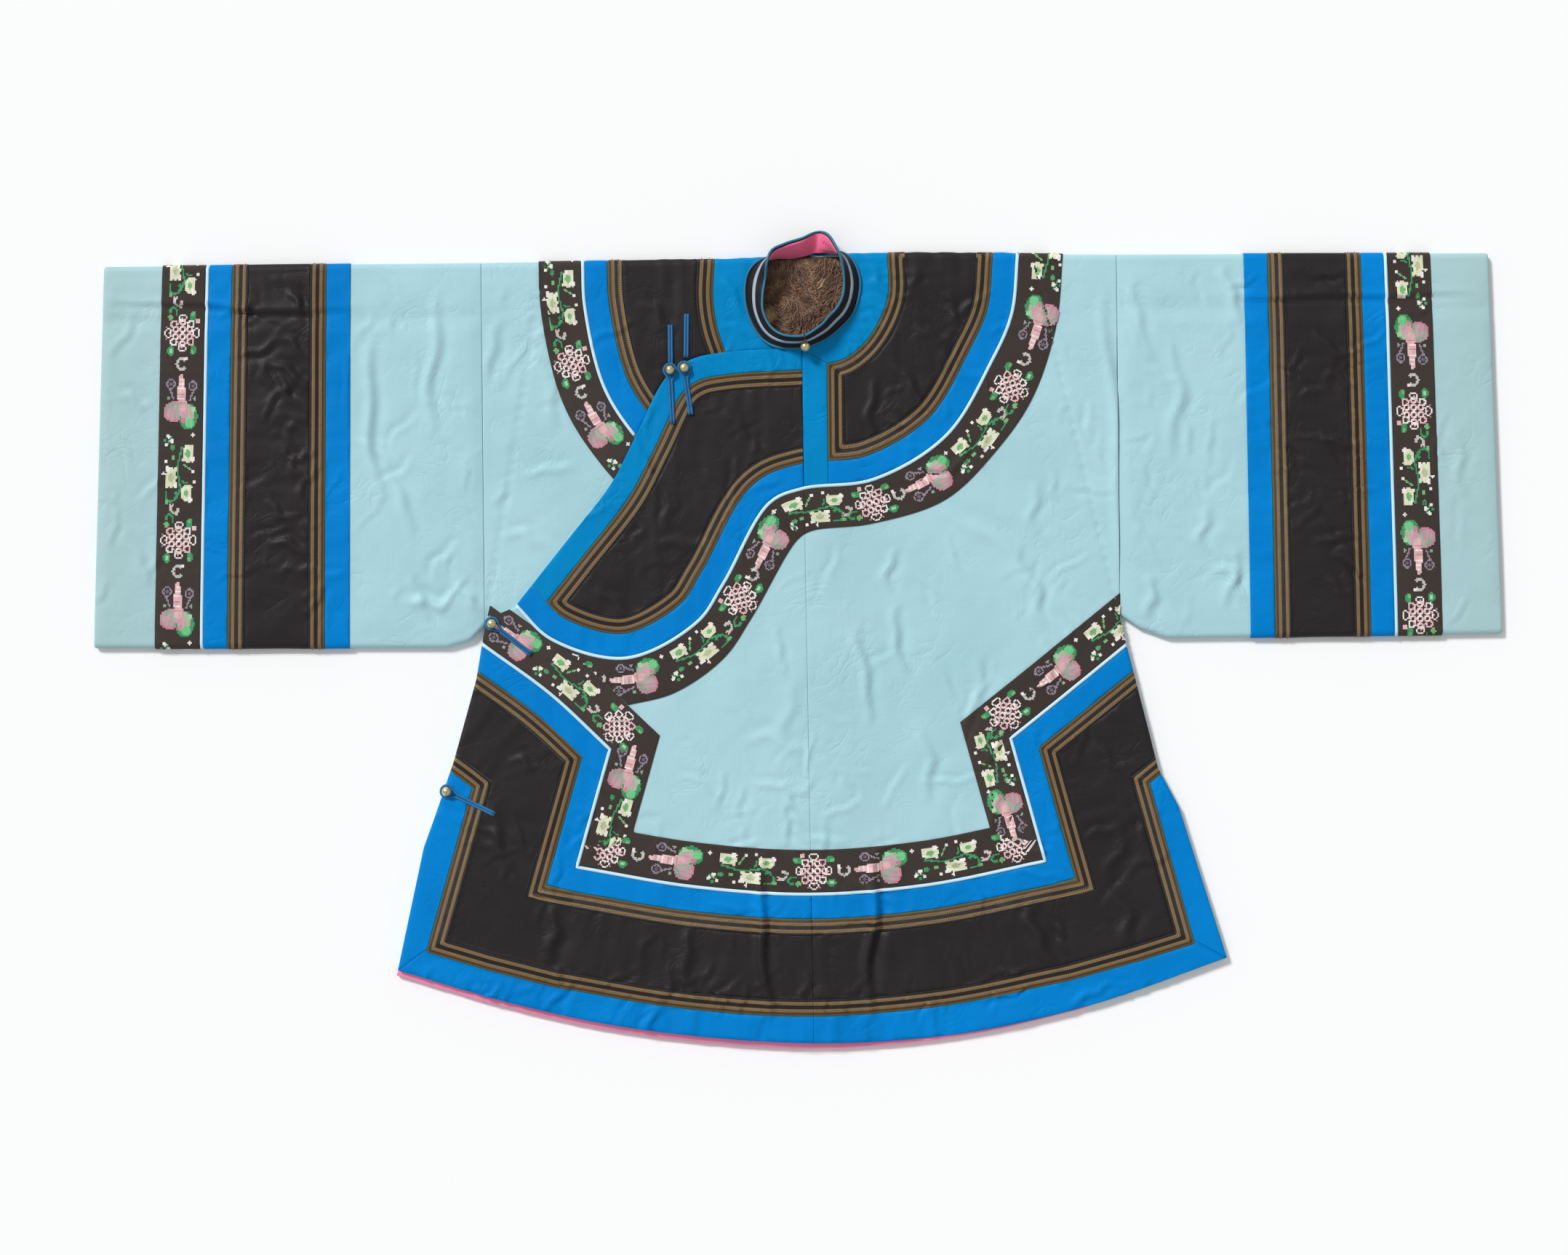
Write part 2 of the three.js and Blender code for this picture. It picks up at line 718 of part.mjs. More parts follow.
const FOLD_ANGLES = [-90, -45, -15, 20, 55, 90];

// One section of a sleeve's surface, moved out, as points from the back round to the back
function sleeveRound(sleeve, share, lift, backReach) {
  const bottom = { x: sleeve.cuffBottom, y: 0 };
  const seam = Math.abs(sleeve.seam) + GAP;
  const lowX = seam + share * (bottom.x - seam);
  const topX = seam + share * (sleeve.cuffTop - seam);
  const low = between(sleeve.underarm, "x", lowX, "y");
  const high = between(sleeve.shoulder, "x", topX, "y");
  const radius = FOLD_RADIUS + lift;
  const place = (y, z) => {
    const up = (y - low) / (high - low);
    return new THREE.Vector3(sleeve.sign * (lowX + up * (topX - lowX)), y, z);
  };
  const flatLow = low + FOLD_RADIUS;
  const flatHigh = high - FOLD_RADIUS;
  const round = [];
  for (const angle of FOLD_ANGLES) {
    const turn = THREE.MathUtils.degToRad(angle);
    round.push(place(flatLow - radius * Math.cos(turn), FOLD_RADIUS + radius * Math.sin(turn)));
  }
  for (const { share: along, rise } of SLEEVE_RELIEF.slice(1, -1))
    round.push(place(flatLow + along * (flatHigh - flatLow), FRONT_TOP + lift + rise));
  for (const angle of FOLD_ANGLES.toReversed()) {
    const turn = THREE.MathUtils.degToRad(angle);
    round.push(place(flatHigh + radius * Math.cos(turn), FOLD_RADIUS + radius * Math.sin(turn)));
  }
  return backReach ? round : round.slice(1, -1);
}

// The share of a sleeve's length at which a band stack's distance from the cuff lies
function shareAt(sleeve, distance) {
  const stack = BAND_WIDTHS.reduce((sum, { width }) => sum + width, CUFF_SILK);
  const seam = Math.abs(sleeve.seam) + GAP;
  const bands = (sleeve.bandsTop + sleeve.bandsBottom) / 2;
  const cuff = (sleeve.cuffTop + sleeve.cuffBottom) / 2;
  const inner = (bands - seam) / (cuff - seam);
  return inner + (1 - distance / stack) * (1 - inner);
}

function makeSleeve(side) {
  const sleeve = SLEEVES[side];
  const edges = [0, CUFF_SILK];
  for (const { width } of BAND_WIDTHS) edges.push(edges[edges.length - 1] + width);
  const bends = sleeve.underarm
    .slice(0, -1)
    .map(({ x }) => (x - Math.abs(sleeve.seam) - GAP) / (sleeve.cuffBottom - Math.abs(sleeve.seam) - GAP));
  const shares = inOrder([...bends, ...edges.map((edge) => shareAt(sleeve, edge))]);
  const sections = shares.map((share) => ({
    outer: sleeveRound(sleeve, share, 0, true),
    inner: sleeveRound(sleeve, share, -WALL, true),
  }));
  piece(`${side}_sleeve`, "silk", wall(sections, true));
  BAND_WIDTHS.forEach(({ piece: name, slot }, i) => {
    if (!slot) return;
    const ends = [edges[i + 1] + GAP / 2, edges[i + 2] - GAP / 2];
    const strip = ends.map((edge) => ({
      outer: sleeveRound(sleeve, shareAt(sleeve, edge), GAP + TRIM, false),
      inner: sleeveRound(sleeve, shareAt(sleeve, edge), GAP, false),
    }));
    piece(`${side}_sleeve_${name}`, slot, wall(strip, false));
  });
}

// Trims

const bodyTrimPlan = prism(bodyOutline(2 * FOLD_RADIUS));
const neckTrimCut = prism(neckOutline(COLLAR_CUT - 1));
const frontPlan = overlapWhole.add(bodyTrimPlan.intersect(leftHalf)).subtract(neckTrimCut);
const frontTrim = frontTrimLayer.intersect(bodyPlan).add(shoulderTrim).intersect(frontPlan);
const underTrim = underTrimLayer
  .intersect(bodyPlan)
  .add(shoulderTrim)
  .intersect(bodyTrimPlan)
  .intersect(rightHalf)
  .subtract(prism(belowOverlapEdge(-GAP)))
  .subtract(neckTrimCut);

// The plane on the wearer's left of an upright line
const leftOf = (x) =>
  prism([
    new THREE.Vector2(x, -FAR),
    new THREE.Vector2(2 * FAR, -FAR),
    new THREE.Vector2(2 * FAR, FAR),
    new THREE.Vector2(x, FAR),
  ]);

function makeRightYoke() {
  const neckLine = drawnOut(smooth(NECK_LINE_RIGHT, 8), RUN_ON);
  const withinNeck = (distance) =>
    prism([...beside(neckLine, distance), new THREE.Vector2(FAR, -FAR), new THREE.Vector2(FAR, FAR)]);
  const put = (name, slot, plan) => piece(`right_yoke_${name}`, slot, underTrim.intersect(plan));
  const outside = withinNeck(FRAME_BRAID + GAP / 2);
  put("ribbon", "ribbon", band(withinRightYoke, -RIBBON, 0));
  put("piping", "piping", band(withinRightYoke, 0, PIPING));
  put("blue", "blue", band(withinRightYoke, PIPING, BLUE_TO));
  put("braid", "braid", band(withinRightYoke, BLUE_TO, YOKE_BRAID_TO));
  put("black", "black", withinRightYoke(YOKE_BRAID_TO + GAP / 2).subtract(outside));
  put("neck_braid", "braid", withinNeck(FRAME_BRAID - GAP / 2).subtract(withinNeck(GAP / 2)));
  put("neck_blue", "blue", withinNeck(-GAP / 2));
}

// The left yoke and the overlap, on one S-shaped line
function makeLeftYokeAndOverlap() {
  const put = (name, slot, plan) => piece(name, slot, frontTrim.intersect(plan));
  const ribbonEdge = drawnOut(smooth(YOKE_RIBBON_EDGE, 34), RUN_ON);
  const withinRibbon = prism([
    ...ribbonEdge,
    new THREE.Vector2(-FAR, FAR),
    new THREE.Vector2(ribbonEdge[0].x, FAR),
  ]);
  const frameRibbon = outsideFrame(-RIBBON - GAP / 2);
  const ribbon = withinRibbon.subtract(withinYoke(-GAP / 2)).intersect(leftOf(YOKE_RIBBON_END));
  put("yoke_ribbon", "ribbon", ribbon.subtract(frameRibbon));
  put("yoke_piping", "piping", band(withinYoke, 0, PIPING));

  const overlapSide = (gap) => leftOf(CENTRE_BAND.right - gap);
  const yokeSide = leftOf(CENTRE_BAND.left + GAP / 2);
  const blueLine = band(withinYoke, PIPING, BLUE_TO);
  put("left_yoke_blue", "blue", blueLine.intersect(yokeSide));
  put("overlap_blue", "blue", blueLine.subtract(overlapSide(GAP / 2)));

  const seam = [
    new THREE.Vector2(axisAt(SHOULDER), OVERLAP_EDGE[0].y),
    new THREE.Vector2(CENTRE_BAND.right, CENTRE_BAND.topRight),
    new THREE.Vector2(CENTRE_BAND.left, CENTRE_BAND.topLeft),
    new THREE.Vector2(CENTRE_BAND.left + RIBBON, CENTRE_BAND.topLeft - RIBBON / 2),
  ];
  const aboveSeam = (gap) =>
    prism([
      ...seam.map((p) => new THREE.Vector2(p.x, p.y + gap)),
      new THREE.Vector2(FAR, CENTRE_BAND.topLeft - RIBBON / 2),
      new THREE.Vector2(FAR, FAR),
      new THREE.Vector2(axisAt(SHOULDER), FAR),
    ]);
  const neckLine = drawnOut(smooth(NECK_LINE_LEFT, 12), RUN_ON);
  const withinNeck = (distance) => {
    const line = beside(neckLine, -distance);
    const end = line[line.length - 1];
    return prism([...line, new THREE.Vector2(-FAR, end.y), new THREE.Vector2(-FAR, FAR)]);
  };
  put("left_neck_blue", "blue", withinNeck(-GAP / 2).intersect(aboveSeam(GAP / 2)));
  const bandPlan = leftOf(CENTRE_BAND.right + GAP / 2)
    .subtract(leftOf(CENTRE_BAND.left - GAP / 2))
    .intersect(withinYoke(PIPING + GAP / 2))
    .subtract(aboveSeam(-GAP / 2));
  put("centre_band", "blue", bandPlan);

  const overlapField = (edge, line) =>
    prism(belowOverlapEdge(edge)).intersect(withinYoke(line)).subtract(overlapSide(GAP / 2));
  const insideEdge = withinYoke(BLUE_TO + GAP / 2).subtract(overlapSide(GAP / 2));
  const edgeBlue = insideEdge
    .subtract(prism(belowOverlapEdge(EDGE_BLUE - GAP / 2)))
    .subtract(aboveSeam(-GAP / 2));
  put("overlap_edge_blue", "blue", edgeBlue);
  put(
    "overlap_braid",
    "braid",
    overlapField(EDGE_BLUE + GAP / 2, BLUE_TO + GAP / 2).subtract(
      overlapField(EDGE_BRAID_TO - GAP / 2, BRAID_TO - GAP / 2),
    ),
  );
  put("overlap_black", "black", overlapField(EDGE_BRAID_TO + GAP / 2, BRAID_TO + GAP / 2));

  const yokeField = (inset, line) =>
    withinYoke(line)
      .intersect(leftOf(CENTRE_BAND.left + inset))
      .subtract(withinNeck(inset));
  const braidInside = yokeField(FRAME_BRAID - GAP / 2, BRAID_TO - GAP / 2);
  put("left_yoke_braid", "braid", yokeField(GAP / 2, BLUE_TO + GAP / 2).subtract(braidInside));
  put("left_yoke_black", "black", yokeField(FRAME_BRAID + GAP / 2, BRAID_TO + GAP / 2));
}

// The bands round the skirt, from the ribbon out to the blue edges
function makeSkirtFrame() {
  const put = (name, slot, plan) => piece(`skirt_${name}`, slot, frontTrim.intersect(plan));
  const overlapPiping = withinYoke(-GAP / 2);
  put("ribbon", "ribbon", band(outsideFrame, -RIBBON, 0).subtract(overlapPiping));
  put("piping", "piping", band(outsideFrame, 0, PIPING));
  put("blue", "blue", band(outsideFrame, PIPING, BLUE_TO));
  put("braid", "braid", band(outsideFrame, BLUE_TO, BRAID_TO));
  put("black", "black", band(outsideFrame, BRAID_TO, BLACK_TO));
  put("outer_braid", "braid", band(outsideFrame, BLACK_TO, OUTER_BRAID_TO));

  const outer = outsideFrame(OUTER_BRAID_TO + GAP / 2);
  const besideMitre = (corner, gap) => {
    const { x, y, inner } = corner;
    const way = Math.sign(x);
    const slope = (inner.y - y) / (inner.x - x);
    const lineAt = (at) => new THREE.Vector2(at, y + slope * (at - x) + gap);
    return prism([
      lineAt(inner.x - way * BLACK_TO),
      lineAt(x + way * BLACK_TO),
      new THREE.Vector2(x + way * BLACK_TO, 0),
      new THREE.Vector2(inner.x - way * BLACK_TO, 0),
    ]);
  };
  const [right, left] = HEM_CORNERS;
  put("right_edge", "blue", outer.intersect(besideMitre(right, GAP / 2)));
  put("left_edge", "blue", outer.intersect(besideMitre(left, GAP / 2)));
  const sides = besideMitre(right, -GAP / 2).add(besideMitre(left, -GAP / 2));
  put("hem_edge", "blue", outer.subtract(sides));
}

// The pink lining that shows below the hem, narrower towards the left corner
function makeHemLining() {
  const upper = beside(hemLine, GAP);
  const lower = upper.map(({ x, y }, i) => {
    const share = THREE.MathUtils.clamp((HEM_LINING.end - x) / (HEM_LINING.end - HEM_LINING.full), 0.15, 1);
    const down = beside(hemLine, GAP + HEM_LINING.width * share)[i];
    return i === 0 ? new THREE.Vector2(x, y - HEM_LINING.width) : down;
  });
  const shown = upper.filter(({ x }) => x < HEM_LINING.end).length;
  const outline = [...upper.slice(0, shown), ...lower.slice(0, shown).reverse()];
  piece("hem_lining", "pink", prism(outline, 0, HEM_LINING.thick));
}

// Neck pieces

// A point of the collar's outer face, at a share of its height, moved out along the face
function collarPoint(row, share, lift) {
  const lean = row.foot - row.rim;
  const rise = Math.sqrt(COLLAR_HEIGHT ** 2 - lean ** 2);
  const distance = row.foot - share * lean + (lift * rise) / COLLAR_HEIGHT;
  const sunk = share > 0 ? (lift * lean) / COLLAR_HEIGHT : 0;
  const place = fromNeck(row.bearing, distance);
  return new THREE.Vector3(place.x, place.y, row.floor + share * rise + sunk);
}

// A wall round the collar between two heights and two lifts
function collarWall(stations, shares, inner, outer) {
  return wall(
    stations.map((row) => ({
      outer: shares.map((share) => collarPoint(row, share, outer)),
      inner: shares.map((share) => collarPoint(row, share, inner)),
    })),
    false,
  );
}

function makeCollar() {
  const { stripeLow, stripeHigh, facingLow } = COLLAR_SHARES;
  const stripe = [stripeLow, stripeHigh];
  piece("collar_band", "black", collarWall(COLLAR, [0, facingLow, ...stripe, 1], -COLLAR_WALL, 0));
  piece("collar_stripe", "piping", collarWall(COLLAR, stripe, GAP, GAP + TRIM / 2));
  const back = COLLAR.filter(
    ({ bearing }) => bearing > FACING_BEARINGS.from && bearing < FACING_BEARINGS.to,
  );
  const inside = -COLLAR_WALL - GAP;
  piece("collar_facing", "pink", collarWall(back, [facingLow, ...stripe, 1], inside - TRIM, inside));
}

function makeFur() {
  const edge = NECK.y + Math.min(...COLLAR.map(({ foot }) => foot)) - COLLAR_WALL - TRIM;
  const shown = prism([
    new THREE.Vector2(-FAR, -FAR),
    new THREE.Vector2(FAR, -FAR),
    new THREE.Vector2(FAR, edge),
    new THREE.Vector2(-FAR, edge),
  ]);
  const patch = prism(neckOutline(COLLAR_CUT + GAP), WALL + GAP, WALL + GAP + FUR);
  piece("fur_lining", "fur", patch.intersect(shown));
}

// Fastenings

function ball(x, y, z) {
  const sphere = new THREE.SphereGeometry(BALL / 2, 12, 7).rotateX(Math.PI / 2);
  return solidOf(sphere.translate(x, y, z));
}

// A flat strip with round ends between two places
function strip(from, to, low) {
  const along = new THREE.Vector2(to.x - from.x, to.y - from.y);
  const turn = along.angle();
  const shape = new THREE.Shape();
  const reach = along.length() - STRIP_WIDTH / 2;
  shape.absarc(reach, 0, STRIP_WIDTH / 2, -Math.PI / 2, Math.PI / 2);
  shape.absarc(STRIP_WIDTH / 2, 0, STRIP_WIDTH / 2, Math.PI / 2, (Math.PI * 3) / 2);
  const options = { depth: STRIP_HEIGHT, bevelEnabled: false, curveSegments: 3 };
  const made = new THREE.ExtrudeGeometry(shape, options);
  return solidOf(made.rotateZ(turn).translate(from.x, from.y, low));
}

// A disc of a radius round a place, between two heights
function disc(at, radius, low, high) {
  const shape = new THREE.Shape().absarc(0, 0, radius, 0, Math.PI * 2);
  const options = { depth: high - low, bevelEnabled: false, curveSegments: 10 };
  return solidOf(new THREE.ExtrudeGeometry(shape, options).translate(at.x, at.y, low));
}

// A strip that ends in a loop round a ball
function loopStrip(at, to) {
  const low = OVER_FRONT_TRIM;
  const eye = BALL / 2 + GAP;
  const ring = disc(at, eye + LOOP_WIDTH, low, low + STRIP_HEIGHT);
  return strip(at, to, low).add(ring).subtract(disc(at, eye, -FAR, FAR));
}

const OVER_UNDER_TRIM = FRONT_TOP + 2 * GAP + TRIM;
const OVER_FRONT_TRIM = OVER_UNDER_TRIM + OVERLAP_RISE;

function makeFastenings() {
  const row = { ...COLLAR[0], bearing: COLLAR_BUTTON.bearing };
  const middle = collarPoint(row, COLLAR_BUTTON.share, BALL / 2 + 2 * GAP + TRIM / 2);
  piece("collar_button", "brass", ball(middle.x, middle.y, middle.z));
  for (const { name, at, tail, loopTo } of FASTENINGS) {
    piece(`${name}_button`, "brass", ball(at.x, at.y, OVER_FRONT_TRIM + BALL / 2));
    if (tail) piece(`${name}_tail`, "loop", strip(tail.from, tail.to, OVER_UNDER_TRIM));
    piece(`${name}_loop`, "loop", loopStrip(at, loopTo));
  }
}

makeLengths();
makeSleeve("right");
makeSleeve("left");
makeRightYoke();
makeLeftYokeAndOverlap();
makeSkirtFrame();
makeHemLining();
makeCollar();
makeFur();
makeFastenings();

export default jacket;
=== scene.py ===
"""A Chinese woman's silk jacket laid flat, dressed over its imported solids.

Sizes are millimetres in the jacket's own frame: +X towards the wearer's left, +Y towards the
collar, +Z up from the surface it lies on. Meshes are made in metres from them. A plan place is
a point of the cloth as it was cut: past the shoulder fold its second number keeps growing, and
the cloth turns over to the back.
"""

import logging
import math
from collections.abc import Callable, Sequence
from dataclasses import dataclass, field
from enum import Enum

import bmesh
import bpy
import numpy as np
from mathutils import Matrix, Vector
from mathutils.geometry import delaunay_2d_cdt
from mathutils.kdtree import KDTree

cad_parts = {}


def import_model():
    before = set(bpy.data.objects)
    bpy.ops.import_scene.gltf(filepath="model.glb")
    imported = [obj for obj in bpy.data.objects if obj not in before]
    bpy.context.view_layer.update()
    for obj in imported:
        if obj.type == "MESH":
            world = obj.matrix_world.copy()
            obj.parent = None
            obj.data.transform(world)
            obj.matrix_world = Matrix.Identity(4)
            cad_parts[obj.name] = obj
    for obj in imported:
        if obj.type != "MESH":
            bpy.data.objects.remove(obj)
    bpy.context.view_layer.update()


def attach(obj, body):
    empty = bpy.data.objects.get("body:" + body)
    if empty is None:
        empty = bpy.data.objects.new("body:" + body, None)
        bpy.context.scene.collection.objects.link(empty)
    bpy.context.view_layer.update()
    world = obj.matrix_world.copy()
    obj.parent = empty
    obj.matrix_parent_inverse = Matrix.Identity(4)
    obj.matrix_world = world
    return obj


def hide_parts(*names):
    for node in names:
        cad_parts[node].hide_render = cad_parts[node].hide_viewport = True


LOG = logging.getLogger("jacket")
Points = np.ndarray
MM = 0.001

FOLD_RADIUS = 4.4
FRONT_TOP = 8.8
LAYER = 3.4  # how far a layer's turned edge reaches down
BACK_CLEAR = 1.2  # the back cloth lies on its trims, this far above the surface
BACK_PRESS = 0.5  # the share of its height that a trim keeps under the back
OVERLAP_RISE = 4.3
HALF_TURN = math.pi * FOLD_RADIUS
GAP = 0.3
SEAM_GAP = 0.04
SEAM_REACH = 3.2
SUNK = 1.2  # how much lower the silk lies under its trims
HIDDEN_STEP = 10.0
FAR = 600.0

SHOULDER = 393.0
SHOULDER_LINE = ((-323, 393), (-70, 394), (57, 398), (125, 399), (332, 395))
RIGHT_EDGE = ((-323, 15), (-332, -37), (-356, -121), (-374, -172), (-388, -210), (-416, -336))
LEFT_EDGE = ((332, 19), (335, 6), (360, -94), (370, -136), (391, -176), (439, -332))
HEM = ((-416, -336), (-296, -372), (-170, -399), (11, -415.5), (160, -408), (300, -379), (439, -332))
OVERLAP_EDGE = (
    (6, 301), (-72, 297), (-107, 290), (-133, 272), (-166, 210), (-191, 163), (-241, 100), (-292, 36.5),
)
OVERLAP_TIP = ((-306, 31), (-317, 39))
YOKE_LINE = (
    (232, 396), (225, 333), (203, 283), (156, 208), (80, 163), (6, 154), (-27, 140), (-75, 58),
    (-103, 18), (-177, -18.5), (-255, 2), (-291, 37),
)
YOKE_RIBBON_EDGE = (
    (277, 396), (269, 320), (244, 247), (207, 194), (153, 143), (76, 119), (14, 112), (0, 103),
    (-48, 23), (-77, -18), (-128, -53), (-180, -66),
)
YOKE_RIBBON_END = -250.0
RIGHT_YOKE_LINE = ((-220, 393), (-218, 344), (-199, 262), (-166, 209), (-120, 160))
FRAME_RIGHT = ((-321, -2), (-254, -52), (-193, -110))
FRAME_HEM = ((-228, -230), (-110, -251), (8, -260), (130, -252), (250, -229))
FRAME_HEM_RUN = (((-352, -194.3), (-290, -213.5)), ((313, -212), (373, -193.7)))
FRAME_LEFT = ((216, -103), (270, -60.5), (337, -7))
NECK_LINE_RIGHT = ((-82, 393), (-84, 353), (-80, 323), (-70, 292))
NECK_LINE_LEFT = ((96, 397), (95.5, 351), (76, 311), (52, 290), (30, 283.5))
HEM_CORNERS = (((-416, -336), (-388, -316)), ((439, -332), (410, -316)))

RIBBON = 44.0
PIPING = 3.5
BLUE_TO = 27.0
BRAID_TO = 44.0
YOKE_BRAID_TO = 42.0
BLACK_TO = 110.0
OUTER_BRAID_TO = 127.5
EDGE_BLUE = 23.0
EDGE_BRAID_TO = 40.0
FRAME_BRAID = 18.0
CENTRE_BAND_RIGHT = 7.0
CENTRE_BAND_LEFT = 32.5
CENTRE_BAND_TOPS = (299.0, 285.0)
RUN_ON = 60.0


def axis_at(y: Points | float) -> Points | float:
    """The body's middle line, which leans a little towards the wearer's left."""
    return 6.0 + (SHOULDER - y) * 0.0075


def shoulder_at(x: Points) -> Points:
    """The height in the plan of the shoulder fold's outermost line."""
    places, heights = zip(*SHOULDER_LINE)
    return np.interp(x, places, heights)


def ease(low: float, high: float, value: Points) -> Points:
    """A smooth step from 0 at low to 1 at high."""
    share = np.clip((value - low) / (high - low), 0, 1)
    return share * share * (3 - 2 * share)


def mottle(x: Points, y: Points, cell: float, seed: int) -> Points:
    """Soft uneven values from -1 to 1 over the plan.

    Args:
        x, y: places.
        cell: the size of one swell.
        seed: which pattern.

    Returns:
        One value for each place.
    """
    across, up = x / cell, y / cell
    i, j = np.floor(across), np.floor(up)
    fx, fy = ease(0, 1, across - i), ease(0, 1, up - j)

    def knot(a: Points, b: Points) -> Points:
        wave = np.sin(a * 127.1 + b * 311.7 + seed * 74.7) * 43758.5453
        return (wave - np.floor(wave)) * 2 - 1

    low = knot(i, j) * (1 - fx) + knot(i + 1, j) * fx
    high = knot(i, j + 1) * (1 - fx) + knot(i + 1, j + 1) * fx
    return low * (1 - fy) + high * fy


# Lines and regions of the plan


def curve_through(places: Sequence[Sequence[float]], step: float = 6.0) -> Points:
    """A smooth line through places.

    Args:
        places: plan places in order.
        step: the spacing of the line's points.

    Returns:
        The line's points.
    """
    rows = np.array(places, float)
    full = np.vstack([2 * rows[0] - rows[1], rows, 2 * rows[-1] - rows[-2]])
    line = []
    for i in range(len(rows) - 1):
        p0, p1, p2, p3 = full[i : i + 4]
        t1 = math.sqrt(np.linalg.norm(p1 - p0))
        t2 = t1 + math.sqrt(np.linalg.norm(p2 - p1))
        t3 = t2 + math.sqrt(np.linalg.norm(p3 - p2))
        count = max(2, math.ceil(np.linalg.norm(p2 - p1) / step))
        for t in np.linspace(t1, t2, count, endpoint=False):
            a1 = (p0 * (t1 - t) + p1 * t) / t1
            a2 = (p1 * (t2 - t) + p2 * (t - t1)) / (t2 - t1)
            a3 = (p2 * (t3 - t) + p3 * (t - t2)) / (t3 - t2)
            b1 = (a1 * (t2 - t) + a2 * t) / t2
            b2 = (a2 * (t3 - t) + a3 * (t - t1)) / (t3 - t1)
            line.append((b1 * (t2 - t) + b2 * (t - t1)) / (t2 - t1))
    line.append(rows[-1])
    return np.array(line)


def run_on(line: Points, length: float) -> Points:
    """The same line with its two ends drawn out straight."""
    first, last = line[0] - line[1], line[-1] - line[-2]
    before = line[0] + first / np.linalg.norm(first) * length
    after = line[-1] + last / np.linalg.norm(last) * length
    return np.vstack([before, line, after])


def normals(line: Points) -> Points:
    """The mitred way to the right at each point of a line, as long as a step of 1 needs."""
    steps = np.diff(line, axis=0)
    into = np.vstack([steps[:1], steps])
    out = np.vstack([steps, steps[-1:]])
    a = np.column_stack([into[:, 1], -into[:, 0]])
    b = np.column_stack([out[:, 1], -out[:, 0]])
    a /= np.linalg.norm(a, axis=1)[:, None]
    b /= np.linalg.norm(b, axis=1)[:, None]
    return (a + b) / (1 + (a * b).sum(axis=1))[:, None]


def beside(line: Points, distance: float) -> Points:
    """A line moved to its right as one walks along it, with mitred corners."""
    return line + normals(line) * distance


def divided(line: Points, step: float, closed: bool = False) -> Points:
    """A line with points added so that none is further than a step from the next.

    Args:
        line: the line's points.
        step: the longest piece.
        closed: whether the last point joins the first.

    Returns:
        The points, without a repeated last one.
    """
    ends = np.vstack([line, line[:1]]) if closed else line
    made = []
    for a, b in zip(ends[:-1], ends[1:]):
        count = max(1, math.ceil(np.linalg.norm(b - a) / step))
        made.extend(a + (b - a) * k / count for k in range(count))
    if not closed:
        made.append(ends[-1])
    return np.array(made)


def inside(outline: Points, places: Points) -> Points:
    """Whether each place lies within a closed outline."""
    x, y = places[:, 0], places[:, 1]
    found = np.zeros(len(places), bool)
    for (x0, y0), (x1, y1) in zip(outline, np.roll(outline, -1, axis=0)):
        if y0 == y1:
            continue
        spans = (y0 > y) != (y1 > y)
        found ^= spans & (x < (x1 - x0) * (y - y0) / (y1 - y0) + x0)
    return found


@dataclass(frozen=True)
class Region:
    """A part of the plan: the outlines that bound it, and a test for the places within it."""

    outlines: tuple[Points, ...]
    test: Callable[[Points], Points]

    @classmethod
    def of(cls, outline: Points | Sequence[Sequence[float]]) -> "Region":
        """What one closed outline holds."""
        points = np.array(outline, float)
        return cls((points,), lambda places: inside(points, places))

    def __and__(self, other: "Region") -> "Region":
        """What both hold."""
        return Region(self.outlines + other.outlines, lambda p: self.test(p) & other.test(p))

    def __or__(self, other: "Region") -> "Region":
        """What either holds."""
        return Region(self.outlines + other.outlines, lambda p: self.test(p) | other.test(p))

    def __sub__(self, other: "Region") -> "Region":
        """What this one holds and the other doesn't."""
        return Region(self.outlines + other.outlines, lambda p: self.test(p) & ~other.test(p))


@dataclass(frozen=True)
class Guide:
    """A line that a band runs along, with places given by the way along it and to its right."""

    line: Points

    @property
    def marks(self) -> Points:
        """The way along the line at each of its points."""
        steps = np.linalg.norm(np.diff(self.line, axis=0), axis=1)
        return np.concatenate([[0], np.cumsum(steps)])

    def locate(self, places: Points) -> tuple[Points, Points]:
        """The way along and to the right of the nearest piece of the line, for each place."""
        start, step = self.line[:-1], np.diff(self.line, axis=0)
        length = np.linalg.norm(step, axis=1)
        marks = self.marks
        along, across = np.empty(len(places)), np.empty(len(places))
        for low in range(0, len(places), 4000):
            part = places[low : low + 4000]
            away = part[:, None, :] - start[None]
            share = np.clip((away * step).sum(axis=2) / length**2, 0, 1)
            rest = away - share[:, :, None] * step[None]
            way = step / length[:, None]
            right = away[:, :, 0] * way[:, 1] - away[:, :, 1] * way[:, 0]
            nearest = (np.linalg.norm(rest, axis=2) - 1e-5 * np.abs(right)).argmin(axis=1)
            row = np.arange(len(part))
            along[low : low + 4000] = marks[nearest] + share[row, nearest] * length[nearest]
            across[low : low + 4000] = right[row, nearest]
        return along, across

    def at(self, along: Points, across: Points) -> Points:
        """The places at given ways along and to the right of the line."""
        marks, sides = self.marks, normals(self.line)
        middle = [np.interp(along, marks, self.line[:, k]) for k in (0, 1)]
        side = np.column_stack([np.interp(along, marks, sides[:, k]) for k in (0, 1)])
        side /= np.linalg.norm(side, axis=1)[:, None]
        return np.column_stack(middle) + side * np.reshape(across, (-1, 1))


# Surfaces that the plan is laid on


